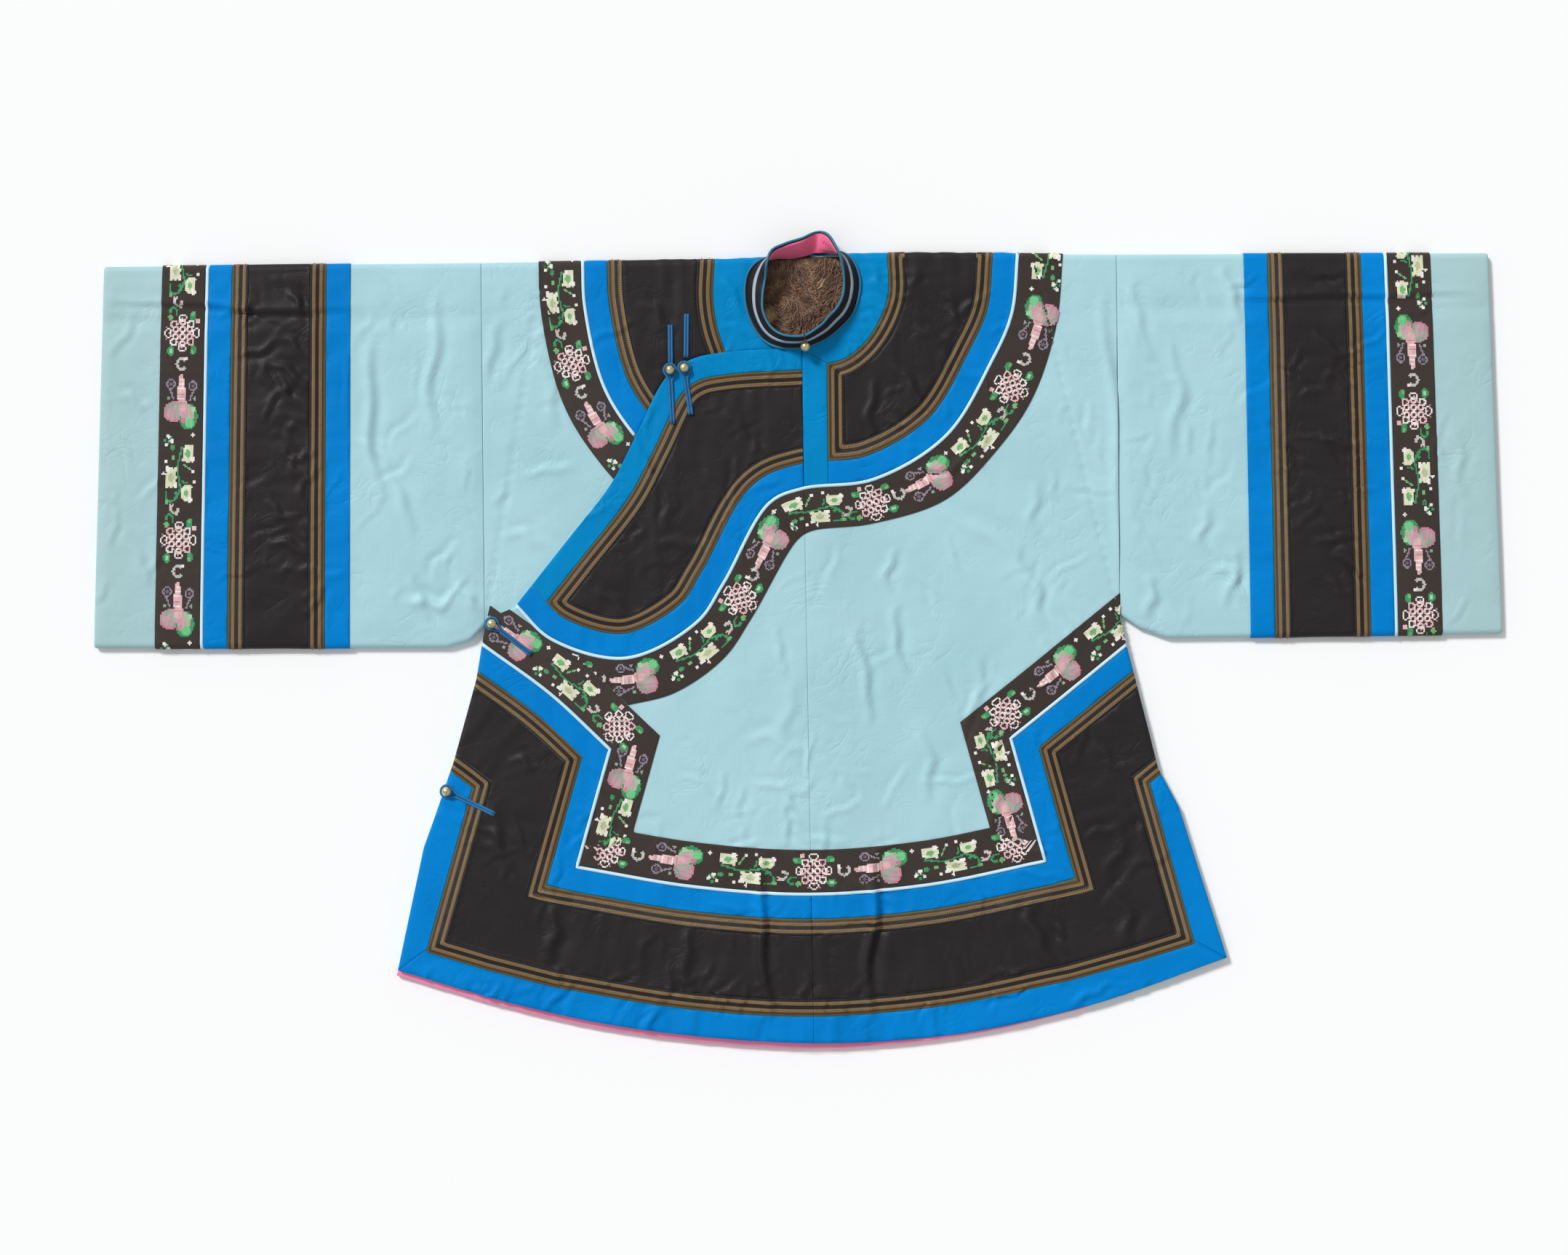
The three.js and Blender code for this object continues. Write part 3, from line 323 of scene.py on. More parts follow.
@dataclass(frozen=True)
class Crease:
    """A soft ridge with a trough beside it, between two places."""

    start: tuple[float, float]
    end: tuple[float, float]
    height: float
    width: float

    def rise(self, x: Points, y: Points) -> Points:
        """How much the crease lifts the cloth at each place."""
        way = np.array(self.end, float) - np.array(self.start, float)
        length = np.linalg.norm(way)
        way /= length
        dx, dy = x - self.start[0], y - self.start[1]
        along = (dx * way[0] + dy * way[1]) / length
        off = dy * way[0] - dx * way[1]
        off = off + self.width * (0.9 * np.sin(along * 5.1 + self.start[0]) + 0.5 * np.sin(along * 11.7))
        taper = np.clip(np.sin(np.clip(along, 0, 1) * math.pi), 0, 1) ** 0.7
        crest = np.exp(-((off / self.width) ** 2))
        trough = np.exp(-(((off - 1.7 * self.width) / (1.3 * self.width)) ** 2))
        return self.height * taper * (crest - 0.55 * trough)


def pressed(lift: Points, share: Points) -> Points:
    """A lift as it is left a share of the way round to the back."""
    return np.where(lift > 0, lift * (1 - (1 - BACK_PRESS) * share), lift) - BACK_CLEAR * share


def scattered(
    low: Sequence[float],
    high: Sequence[float],
    count: int,
    seed: int,
    tilt: float = 1.3,
    lean: float = 0.0,
    depth: float = 1.0,
) -> tuple[Crease, ...]:
    """Small uneven creases over a part of the front.

    Args:
        low: the part's lower corner.
        high: its upper corner.
        count: how many.
        seed: which arrangement.
        tilt: how far their way turns from the common one, in radians.
        lean: how far the common way turns from upright, in radians.
        depth: how deep they are beside the usual ones.

    Returns:
        The creases.
    """
    draw = np.random.RandomState(seed)
    made = []
    for _ in range(count):
        x, y = draw.uniform(low[0], high[0]), draw.uniform(low[1], high[1])
        length, turn = draw.uniform(14, 62), lean + draw.normal(0, tilt / 2)
        end = (x + length * math.sin(turn), y - length * math.cos(turn))
        height = depth * draw.uniform(0.25, 0.75) * draw.choice([-1, 1, 1])
        made.append(Crease((x, y), end, height, draw.uniform(1.6, 3.6)))
    return tuple(made)


CREASE_STRENGTH = 2.5


@dataclass(frozen=True)
class BodySurface:
    """The body's cloth, from the front hem over the shoulder fold to the back hem."""

    over: bool
    creases: tuple[Crease, ...]
    edge: Points
    seed: int = 3
    edge_roll: float = 2.6
    fold_fade: float = 26.0

    def relief(self, x: Points, v: Points) -> Points:
        """The front's height above the lowest flat front."""
        rise = 0.45 * mottle(x, v, 34, self.seed) + 0.22 * mottle(x, v, 13, self.seed + 1)
        rise = rise + 0.35
        if self.over:
            across = 1 - ease(12, 100, x - axis_at(v))
            rise = rise + OVERLAP_RISE * across * (1 - ease(303, 384, v))
        for crease in self.creases:
            rise = rise + CREASE_STRENGTH * crease.rise(x, v)
        return rise

    def roll(self, places: Points) -> Points:
        """How far the cloth turns down towards the body's outer edge."""
        _, across = Guide(self.edge).locate(places)
        near = np.clip(1 - np.abs(across) / self.edge_roll, 0, 1)
        return self.edge_roll * (1 - np.sqrt(np.clip(1 - near**2, 0, 1)))

    def place(self, places: Points, lift: Points) -> Points:
        """Where plan places are, lifted off the cloth."""
        x, v = places[:, 0], places[:, 1]
        start = shoulder_at(x) - FOLD_RADIUS
        past = v - start
        angle = np.clip(past / FOLD_RADIUS, 0, math.pi)
        radius = FOLD_RADIUS + pressed(lift, angle / math.pi)
        front = past < 0
        flat = np.where(front, self.relief(x, v) * ease(0, self.fold_fade, -past), 0)
        flat = flat - np.where(front, self.roll(places), 0)
        back = start - (past - HALF_TURN)
        y = np.where(front, v, np.where(past > HALF_TURN, back, start + radius * np.sin(angle)))
        return np.column_stack([x, y, FOLD_RADIUS + radius * np.cos(angle) + flat])


def turned_over(line: Points) -> Points:
    """A line of the front, as it lies in the plan of the back."""
    start = shoulder_at(line[:, 0]) - FOLD_RADIUS
    return np.column_stack([line[:, 0], 2 * start + HALF_TURN - line[:, 1]])


@dataclass(frozen=True)
class SleeveShape:
    """One sleeve's sizes: its seam, cuff and bands, and the fold under the arm."""

    sign: int
    seam: float
    cuff_top: float
    bands_top: float
    bands_bottom: float
    underarm: tuple[tuple[float, float], ...]
    shoulder: tuple[tuple[float, float], ...]
    cuff_bottom: float = 726.5

    @property
    def length(self) -> float:
        """The sleeve's length at its lower edge, which its plan keeps all over."""
        return self.cuff_bottom - self.seam

    def mark(self, from_cuff: float) -> float:
        """The plan place of a line of the bands, by its distance from the cuff."""
        bands = (self.bands_top + self.bands_bottom) / 2
        cuff = (self.cuff_top + self.cuff_bottom) / 2
        inner = (bands - self.seam) / (cuff - self.seam)
        return (inner + (1 - from_cuff / BAND_STACK) * (1 - inner)) * self.length


CUFF_SILK = 61.0
BANDS = (
    ("ribbon", 45.5), ("piping", 3.5), ("outer_blue", 24.0), ("outer_braid", 17.0), ("black", 64.0),
    ("inner_braid", 17.0), ("inner_blue", 25.0),
)
BAND_STACK = CUFF_SILK + sum(width for _, width in BANDS)
SLEEVE_RELIEF = (
    (0.0, 0.0), (0.12, 1.2), (0.35, 1.8), (0.62, 1.6), (0.83, 2.0), (0.865, 0.4), (0.9, 1.6), (1.0, 0.0),
)
SLEEVES = {
    "right": SleeveShape(
        -1, 323.3, 712, 455, 465,
        ((323.3, 17.5), (338, 2), (362, -5), (465, -4), (726.5, -1.8)),
        ((323.3, 393), (726.5, 392.8)),
    ),
    "left": SleeveShape(
        1, 332.3, 715.5, 462.5, 467,
        ((332.3, 21.5), (352, 8), (381, -2.6), (467, -2.6), (726.5, -1.6)),
        ((332.3, 395), (726.5, 392.4)),
    ),
}


@dataclass(frozen=True)
class SleeveSurface:
    """A sleeve's cloth. Its plan runs from the seam to the cuff, and round from the underarm fold."""

    shape: SleeveShape
    creases: tuple[Crease, ...]
    flat: float = 380.0

    def place(self, places: Points, lift: Points) -> Points:
        """Where plan places are, lifted off the cloth."""
        sleeve = self.shape
        share, w = places[:, 0] / sleeve.length, places[:, 1]
        low_x = sleeve.seam + share * (sleeve.cuff_bottom - sleeve.seam)
        top_x = sleeve.seam + share * (sleeve.cuff_top - sleeve.seam)
        low = np.interp(low_x, *zip(*sleeve.underarm))
        high = np.interp(top_x, *zip(*sleeve.shoulder))
        start, end = low + FOLD_RADIUS, high - FOLD_RADIUS
        top = np.clip((w - self.flat) / FOLD_RADIUS, 0, math.pi)
        under = np.clip(-w / FOLD_RADIUS, 0, math.pi)
        turn = np.maximum(top, under)
        radius = FOLD_RADIUS + pressed(lift, turn / math.pi)
        depth = (end - start) / self.flat
        y = start + np.clip(w, 0, self.flat) * depth
        y = np.where(w > self.flat, end + radius * np.sin(top), y)
        y = np.where(w > self.flat + HALF_TURN, end - (w - self.flat - HALF_TURN) * depth, y)
        y = np.where(w < 0, start - radius * np.sin(under), y)
        x = sleeve.sign * (low_x + (y - low) / (high - low) * (top_x - low_x))
        along = np.clip(w / self.flat, 0, 1)
        front = (w > 0) & (w < self.flat)
        shares, rises = zip(*SLEEVE_RELIEF)
        near_cuff = ease(0, 10, sleeve.length - places[:, 0])
        near_seam = ease(-4, 14, places[:, 0])
        rise = np.interp(along, shares, rises) * 0.8
        rise = rise + 0.4 * mottle(x, y, 30, 11) + 0.25 * mottle(x, y, 12, 12) + 0.3
        for crease in self.creases:
            rise = rise + CREASE_STRENGTH * crease.rise(x, y)
        fade = ease(0, 16, w) * ease(0, 16, self.flat - w) * (0.35 + 0.65 * near_cuff) * near_seam
        z = FOLD_RADIUS + radius * np.cos(turn) + np.where(front, rise * fade, 0)
        return np.column_stack([x, y, z])


# Making meshes


class Edge(Enum):
    """How a piece of cloth ends: its rounding, how far it turns down, and how deep it reaches."""

    LAYER = (2.4, 1.2, LAYER)
    TRIM = (1.1, 0.45, 1.0)
    THIN = (0.7, 0.3, 0.7)


@dataclass
class Cut:
    """A piece of cloth in the plan: its points, their lifts and its faces."""

    places: Points
    lifts: Points
    faces: list[tuple[int, ...]]
    flat_area: float
    box: tuple[float, float]
    rim: float


def grid_over(low: Points, high: Points, step: float) -> Points:
    """Plan places a step apart over a box, each second row moved by half a step."""
    rows = []
    for k, y in enumerate(np.arange(low[1], high[1] + step, step * 0.88)):
        x = np.arange(low[0] + (k % 2) * step / 2, high[0] + step, step)
        rows.append(np.column_stack([x, np.full(len(x), y)]))
    return np.vstack(rows)


def cut_cloth(region: Region, step: float, edge: Edge, hidden_from: float = 4 * FAR) -> Cut:
    """Cuts a region of the plan into small triangles with a rounded edge.

    Args:
        region: what to cut.
        step: the spacing of its points.
        edge: how it ends.
        hidden_from: the plan's height past which its points lie further apart.

    Returns:
        The cut piece.
    """
    coarse = grid_over(np.array([-460.0, -440.0]), np.array([460.0, 1240.0]), 12.0)
    held = coarse[region.test(coarse)]
    low, high = held.min(axis=0) - 16, held.max(axis=0) + 16
    verts: list[Points] = []
    edges: list[tuple[int, int]] = []
    for outline in region.outlines:
        points = []
        for a, b in zip(outline, np.roll(outline, -1, axis=0)):
            near = np.all(np.minimum(a, b) < high + 9) and np.all(np.maximum(a, b) > low - 9)
            points.append(divided(np.array([a, b]), step if near else 4 * FAR)[:-1])
        loop = np.vstack(points)
        first = len(verts)
        verts.extend(loop)
        count = len(loop)
        edges.extend((first + k, first + (k + 1) % count) for k in range(count))
    tree = KDTree(len(verts))
    for k, (x, y) in enumerate(verts):
        tree.insert((x, y, 0), k)
    tree.balance()
    inner = grid_over(low, high, step)
    inner = inner[inner[:, 1] < hidden_from]
    if high[1] > hidden_from:
        inner = np.vstack([inner, grid_over(np.array([low[0], hidden_from + 5]), high, HIDDEN_STEP)])
    inner = inner[region.test(inner)]
    clear = max(0.6 * step, edge.value[0] + 1.3)
    verts.extend(p for p in inner if tree.find((p[0], p[1], 0))[2] > clear)
    flat = [Vector((float(x), float(y))) for x, y in verts]
    points, _, faces, _, _, _ = delaunay_2d_cdt(flat, edges, [], 0, 0.02)
    spots = np.array([(p.x, p.y) for p in points])
    corners = np.array([tuple(face) for face in faces])
    kept = corners[region.test(spots[corners].mean(axis=1))]

    mesh = bmesh.new()
    used = np.unique(kept)
    made = {k: mesh.verts.new((spots[k, 0], spots[k, 1], 0)) for k in used}
    for a, b, c in kept:
        mesh.faces.new((made[a], made[b], made[c]))
    mesh.normal_update()
    if mesh.faces and sum(face.normal.z for face in mesh.faces) < 0:
        bmesh.ops.reverse_faces(mesh, faces=mesh.faces[:])
    area = sum(face.calc_area() for face in mesh.faces)
    rounding, turn, depth = edge.value
    cloth = mesh.faces[:]
    rings = [
        bmesh.ops.inset_region(
            mesh, faces=cloth, use_boundary=True, use_even_offset=False, thickness=share * rounding
        )["faces"]
        for share in (0.32, 0.68)
    ]
    for _ in range(10):
        mesh.normal_update()
        turned = [face for face in mesh.faces if face.normal.z < 0.5]
        if not turned:
            break
        for v in {v for face in turned for v in face.verts if not v.is_boundary}:
            around = [edge.other_vert(v).co for edge in v.link_edges]
            v.co = sum(around, Vector()) / len(around)
    rim = {v for v in mesh.verts if v.is_boundary}
    for v in {v for face in rings[0] for v in face.verts}:
        v.co.z = -turn if v in rim else -0.3 * turn
    outer = [e for e in mesh.edges if e.is_boundary]
    length = sum(e.calc_length() for e in outer)
    hung = bmesh.ops.extrude_edge_only(mesh, edges=outer)["geom"]
    for v in (g for g in hung if isinstance(g, bmesh.types.BMVert)):
        v.co.z = -depth
    mesh.verts.index_update()
    co = np.array([v.co for v in mesh.verts])
    made_faces = [tuple(v.index for v in face.verts) for face in mesh.faces]
    mesh.free()
    size = held.max(axis=0) - held.min(axis=0) + 12
    return Cut(co[:, :2], co[:, 2], made_faces, area, (float(size[0]), float(size[1])), length)


def new_mesh(name: str, points: Points, faces: Sequence[Sequence[int]], smooth: bool = True) -> bpy.types.Object:
    """Makes an object at the origin from points in millimetres.

    Args:
        name: the piece's name.
        points: its points.
        faces: rows of point numbers.
        smooth: whether its faces are shaded smooth.

    Returns:
        The new object.
    """
    data = bpy.data.meshes.new(name)
    data.from_pydata([tuple(p) for p in np.asarray(points) * MM], [], [tuple(int(k) for k in f) for f in faces])
    data.validate()
    if smooth:
        data.polygons.foreach_set("use_smooth", [True] * len(data.polygons))
    made = bpy.data.objects.new(name, data)
    bpy.context.scene.collection.objects.link(made)
    return made


def lay_uv(piece: bpy.types.Object, along: Points, across: Points) -> None:
    """Stores the way along and across a band, in metres, as the piece's UV map."""
    layer = piece.data.uv_layers.new(name="band")
    corners = np.zeros(len(piece.data.loops), int)
    piece.data.loops.foreach_get("vertex_index", corners)
    pairs = np.column_stack([along[corners], across[corners]]) * MM
    layer.data.foreach_set("uv", pairs.astype(np.float32).ravel())


def tube(line: Points, radius: float, sides: int = 8, flat: float = 1.0) -> tuple[Points, list[tuple[int, ...]]]:
    """A round tube along a line in space.

    Args:
        line: the line's points.
        radius: its radius.
        sides: how many faces go round it.
        flat: its height as a share of its width.

    Returns:
        The tube's points and faces.
    """
    ways = np.gradient(line, axis=0)
    ways /= np.linalg.norm(ways, axis=1)[:, None] + 1e-12
    up = np.array([0.0, 0.0, 1.0])
    side = np.cross(ways, up)
    weak = np.linalg.norm(side, axis=1) < 0.2
    side[weak] = np.array([1.0, 0.0, 0.0])
    side /= np.linalg.norm(side, axis=1)[:, None]
    over = np.cross(side, ways)
    rings = []
    for k in range(sides):
        angle = 2 * math.pi * k / sides
        rings.append(line + radius * (math.cos(angle) * side + flat * math.sin(angle) * over))
    points = np.stack(rings, axis=1).reshape(-1, 3)
    count = len(line)
    faces: list[tuple[int, ...]] = []
    for i in range(count - 1):
        for k in range(sides):
            a, b = i * sides + k, i * sides + (k + 1) % sides
            faces.append((a, a + sides, b + sides, b))
    faces.append(tuple(range(sides)))
    faces.append(tuple((count - 1) * sides + k for k in reversed(range(sides))))
    return points, faces


def joined(parts: Sequence[tuple[Points, Sequence[Sequence[int]]]]) -> tuple[Points, list[tuple[int, ...]]]:
    """Several sets of points and faces as one."""
    points, faces, first = [], [], 0
    for rows, some in parts:
        points.append(np.asarray(rows))
        faces.extend(tuple(int(k) + first for k in face) for face in some)
        first += len(rows)
    return np.vstack(points), faces


# Finishes


def tone(code: str, alpha: float = 1.0) -> tuple[float, float, float, float]:
    """A colour written as six hex digits, as the values that a shader takes."""
    parts = [int(code[k : k + 2], 16) / 255 for k in (0, 2, 4)]
    linear = [p / 12.92 if p <= 0.04045 else ((p + 0.055) / 1.055) ** 2.4 for p in parts]
    return (*linear, alpha)


class Tree:
    """A node tree with short ways to add and join nodes."""

    def __init__(self, tree: bpy.types.NodeTree) -> None:
        """Starts on a tree, emptied first."""
        self.tree = tree
        tree.nodes.clear()

    def add(self, kind: str, settings: dict | None = None, **values: object) -> bpy.types.Node:
        """Adds a node.

        Args:
            kind: the node's type.
            settings: properties of the node.
            values: its inputs, by name with spaces as underscores: a value, or a socket to join.

        Returns:
            The node.
        """
        node = self.tree.nodes.new(kind)
        for key, value in (settings or {}).items():
            setattr(node, key, value)
        for key, value in values.items():
            name = key.replace("_", " ")
            found = [s for s in node.inputs if s.name == name and s.enabled] or [node.inputs[int(key[1:])]]
            self.put(found[0], value)
        return node

    def put(self, socket: bpy.types.NodeSocket, value: object) -> None:
        """Gives a socket a value, or joins another socket to it."""
        if isinstance(value, bpy.types.NodeSocket):
            self.tree.links.new(value, socket)
        else:
            socket.default_value = value

    def sum(self, kind: str, *values: object) -> bpy.types.NodeSocket:
        """One step of arithmetic on values or sockets, and its result."""
        node = self.tree.nodes.new("ShaderNodeMath")
        node.operation = kind
        for socket, value in zip(node.inputs, values):
            self.put(socket, value)
        return node.outputs[0]

    def mix(self, share: object, low: object, high: object, blend: str = "MIX") -> bpy.types.NodeSocket:
        """Two colours mixed by a share, and the result."""
        node = self.add("ShaderNodeMix", {"data_type": "RGBA", "blend_type": blend})
        for k, value in ((0, share), (6, low), (7, high)):
            self.put(node.inputs[k], value)
        return node.outputs[2]

    def ramp(self, share: bpy.types.NodeSocket, stops: Sequence[tuple[float, str]]) -> bpy.types.NodeSocket:
        """A share turned into a colour by stops, and the result."""
        node = self.add("ShaderNodeValToRGB", Fac=share)
        ends = node.color_ramp.elements
        for end, (position, code) in ((ends[0], stops[0]), (ends[1], stops[-1])):
            end.position, end.color = position, tone(code)
        for position, code in stops[1:-1]:
            ends.new(position).color = tone(code)
        return node.outputs[0]


class Dye(Tree):
    """A material's node tree, with the places and shared effects that its finish reads."""

    def __init__(self, name: str, effects: "Effects") -> None:
        """Starts a material.

        Args:
            name: the material's name.
            effects: the shared shader groups.
        """
        self.made = bpy.data.materials.new(name)
        self.made.use_nodes = True
        self.effects = effects
        super().__init__(self.made.node_tree)
        self.place = self.add("ShaderNodeTexCoord").outputs["Object"]

    def group(self, name: str, **values: object) -> bpy.types.Node:
        """One of the shared effects, at the piece's own places."""
        return self.add("ShaderNodeGroup", {"node_tree": getattr(self.effects, name)}, Vector=self.place, **values)

    def band(self) -> bpy.types.Node:
        """The way along and across a band, as X and Y."""
        return self.add("ShaderNodeSeparateXYZ", Vector=self.add("ShaderNodeUVMap", {"uv_map": "band"}).outputs[0])

    def shaded(self, **values: object) -> bpy.types.Material:
        """The finished material, with the values of its shader by name."""
        shade = self.add("ShaderNodeBsdfPrincipled", **values)
        self.add("ShaderNodeOutputMaterial", Surface=shade.outputs[0])
        return self.made


def shader_group(
    name: str, inputs: dict[str, float], outputs: Sequence[str]
) -> tuple[Tree, bpy.types.Node, bpy.types.Node]:
    """Starts a shader node group of plain numbers.

    Args:
        name: the group's name.
        inputs: names and defaults of the numbers that it takes, beside the place Vector.
        outputs: names of the numbers that it gives.

    Returns:
        The tree with its input and output nodes.
    """
    group = bpy.data.node_groups.new(name, "ShaderNodeTree")
    group.interface.new_socket("Vector", in_out="INPUT", socket_type="NodeSocketVector")
    for label, value in inputs.items():
        socket = group.interface.new_socket(label, in_out="INPUT", socket_type="NodeSocketFloat")
        socket.default_value = value
    for label in outputs:
        group.interface.new_socket(label, in_out="OUTPUT", socket_type="NodeSocketFloat")
    tree = Tree(group)
    return tree, tree.add("NodeGroupInput"), tree.add("NodeGroupOutput")


@dataclass
class Effects:
    """The shader groups that more than one finish uses."""

    weave: bpy.types.NodeTree = field(init=False)
    wear: bpy.types.NodeTree = field(init=False)
    crinkle: bpy.types.NodeTree = field(init=False)

    def __post_init__(self) -> None:
        """Builds the groups."""
        self.weave = self.build_weave()
        self.wear = self.build_wear()
        self.crinkle = self.build_crinkle()

    @staticmethod
    def build_crinkle() -> bpy.types.NodeTree:
        """Thin sharp crinkles in patches, between the folds that the meshes hold.

        Returns:
            A group that gives Height, 0 to 1.
        """
        tree, given, out = shader_group("crinkled_silk", {"Size": 17.0}, ("Height",))
        place = given.outputs["Vector"]
        lines = []
        for scale, bend, sharp in ((1.0, 2.2, 10.0), (2.3, 1.6, 8.0)):
            size = tree.sum("MULTIPLY", given.outputs["Size"], scale)
            noise = tree.add("ShaderNodeTexNoise", Vector=place, Scale=size, Detail=1.5, Distortion=bend)
            off = tree.sum("ABSOLUTE", tree.sum("MULTIPLY_ADD", noise.outputs[0], 2.0, -1.0))
            lines.append(tree.sum("POWER", tree.sum("SUBTRACT", 1.0, off), sharp))
        patch = tree.add("ShaderNodeTexNoise", Vector=place, Scale=23.0, Detail=2.0)
        held = tree.add("ShaderNodeMapRange", Value=patch.outputs[0], From_Min=0.46, From_Max=0.68)
        both = tree.sum("MULTIPLY_ADD", lines[1], 0.5, lines[0])
        tree.put(out.inputs["Height"], tree.sum("MULTIPLY", both, held.outputs[0]))
        return tree.tree

    @staticmethod
    def build_weave() -> bpy.types.NodeTree:
        """Threads across and along, with uneven thicker ones.

        Returns:
            A group that gives Height and Thread, both 0 to 1.
        """
        tree, given, out = shader_group("woven_threads", {"Pitch": 1600.0, "Slub": 0.4}, ("Height", "Thread"))
        place = given.outputs["Vector"]
        split = tree.add("ShaderNodeSeparateXYZ", Vector=place)
        waves = []
        for axis in ("X", "Y"):
            angle = tree.sum("MULTIPLY", split.outputs[axis], given.outputs["Pitch"])
            waves.append(tree.sum("MULTIPLY_ADD", tree.sum("SINE", angle), 0.5, 0.5))
        both = tree.sum("MULTIPLY", waves[0], waves[1])
        long = tree.add("ShaderNodeMapping", Vector=place, Scale=(60.0, 900.0, 60.0))
        slub = tree.add("ShaderNodeTexNoise", Vector=long.outputs[0], Scale=1.0, Detail=2.0)
        lifted = tree.sum("MULTIPLY", slub.outputs[0], given.outputs["Slub"])
        tree.put(out.inputs["Height"], tree.sum("ADD", both, lifted))
        tree.put(out.inputs["Thread"], slub.outputs[0])
        return tree.tree

    @staticmethod
    def build_wear() -> bpy.types.NodeTree:
        """Large faded swells and small soiling.

        Returns:
            A group that gives Fade and Soil, both 0 to 1.
        """
        tree, given, out = shader_group("faded_cloth", {"Size": 9.0}, ("Fade", "Soil"))
        place = given.outputs["Vector"]
        swell = tree.add("ShaderNodeTexNoise", Vector=place, Scale=given.outputs["Size"], Detail=3.0)
        spots = tree.add("ShaderNodeTexNoise", Vector=place, Scale=70.0, Detail=4.0, Roughness=0.7)
        tree.put(out.inputs["Fade"], swell.outputs[0])
        tree.put(out.inputs["Soil"], tree.sum("POWER", spots.outputs[0], 2.0))
        return tree.tree


@dataclass(frozen=True)
class Cloth:
    """A woven silk: its colours, its gloss and its threads."""

    name: str
    colour: str
    faded: str
    roughness: float = 0.5
    sheen: float = 0.25
    pitch: float = 3200.0
    bump: float = 0.12
    slub: float = 0.5
    specular: float = 0.35
    far: str = ""
    crinkled: float = 0.0

    def build(self, effects: Effects) -> bpy.types.Material:
        """Makes the finish's material.

        Args:
            effects: the shared shader groups.

        Returns:
            The material.
        """
        tree = Dye(self.name, effects)
        weave, wear = tree.group("weave", Pitch=self.pitch, Slub=self.slub), tree.group("wear")
        share = tree.sum("MULTIPLY_ADD", wear.outputs["Fade"], 1.6, -0.3)
        share = tree.sum("ADD", share, tree.sum("MULTIPLY", weave.outputs["Thread"], 0.35))
        colour = tree.mix(share, tone(self.colour), tone(self.faded))
        if self.far:
            apart = tree.sum("ABSOLUTE", tree.add("ShaderNodeSeparateXYZ", Vector=tree.place).outputs[0])
            cuff = tree.add("ShaderNodeMapRange", Value=apart, From_Min=0.60, From_Max=0.70)
            colour = tree.mix(cuff.outputs[0], colour, tone(self.far))
        gloss = tree.sum("MULTIPLY_ADD", wear.outputs["Soil"], 0.2, self.roughness - 0.04)
        bump = tree.add("ShaderNodeBump", Strength=self.bump, Distance=0.0004, Height=weave.outputs["Height"])
        if self.crinkled:
            bump = tree.add(
                "ShaderNodeBump", {"invert": True}, Strength=self.crinkled, Distance=0.0011,
                Height=tree.group("crinkle").outputs["Height"], Normal=bump.outputs[0],
            )
        return tree.shaded(
            Base_Color=colour, Roughness=gloss, Normal=bump.outputs[0], Sheen_Weight=self.sheen,
            Sheen_Roughness=0.4, Specular_IOR_Level=self.specular,
        )


BRAID_LINES = (
    (0.0, "5d6036"), (0.08, "5d6036"), (0.1, "55371b"), (0.22, "4a2f17"), (0.25, "8a7048"), (0.41, "8d744e"),
    (0.44, "1c1412"), (0.66, "1c1412"), (0.68, "8a7048"), (0.85, "8d744e"), (0.88, "1f1714"), (1.0, "1f1714"),
)


@dataclass(frozen=True)
class Braid:
    """Woven braid in lengthwise lines: olive edge, brown, and two gold lines on near black."""

    name: str
    width: float

    def build(self, effects: Effects) -> bpy.types.Material:
        """Makes the braid's material, which reads the way across from the band's UV map."""
        tree = Dye(self.name, effects)
        split = tree.band()
        share = tree.sum("DIVIDE", split.outputs["Y"], self.width * MM)
        lines = tree.ramp(share, BRAID_LINES)
        slant = tree.sum("ADD", split.outputs["X"], tree.sum("MULTIPLY", split.outputs["Y"], 1.2))
        stitch = tree.sum("SINE", tree.sum("MULTIPLY", slant, 2 * math.pi / 0.0021))
        # The stitch wave darkens the braid's colour where its bump is low: painted shade in the stitches' hollows.
        colour = tree.mix(1.0, lines, tree.sum("MULTIPLY_ADD", stitch, 0.16, 0.86), "MULTIPLY")
        gloss = tree.sum("MULTIPLY_ADD", tree.group("wear").outputs["Soil"], 0.3, 0.5)
        bump = tree.add("ShaderNodeBump", Strength=0.5, Distance=0.0004, Height=stitch)
        return tree.shaded(
            Base_Color=colour, Roughness=gloss, Normal=bump.outputs[0], Sheen_Weight=0.1, Specular_IOR_Level=0.35
        )


@dataclass(frozen=True)
class RibbonGround:
    """The dark ground of a woven ribbon, with fine ribs across it and corded edges."""

    name: str
    colour: str = "2f2622"
    faded: str = "3d322c"
    ribs: float = 0.0008

    def build(self, effects: Effects) -> bpy.types.Material:
        """Makes the ground's material from the band's UV map."""
        tree = Dye(self.name, effects)
        rib = tree.sum("SINE", tree.sum("MULTIPLY", tree.band().outputs["X"], 2 * math.pi / self.ribs))
        wear = tree.group("wear")
        share = tree.sum("MULTIPLY_ADD", wear.outputs["Fade"], 1.2, -0.1)
        colour = tree.mix(share, tone(self.colour), tone(self.faded))
        gloss = tree.sum("MULTIPLY_ADD", wear.outputs["Soil"], 0.3, 0.6)
        bump = tree.add("ShaderNodeBump", Strength=0.4, Distance=0.0003, Height=rib)
        return tree.shaded(
            Base_Color=colour, Roughness=gloss, Normal=bump.outputs[0], Sheen_Weight=0.1, Specular_IOR_Level=0.3
        )


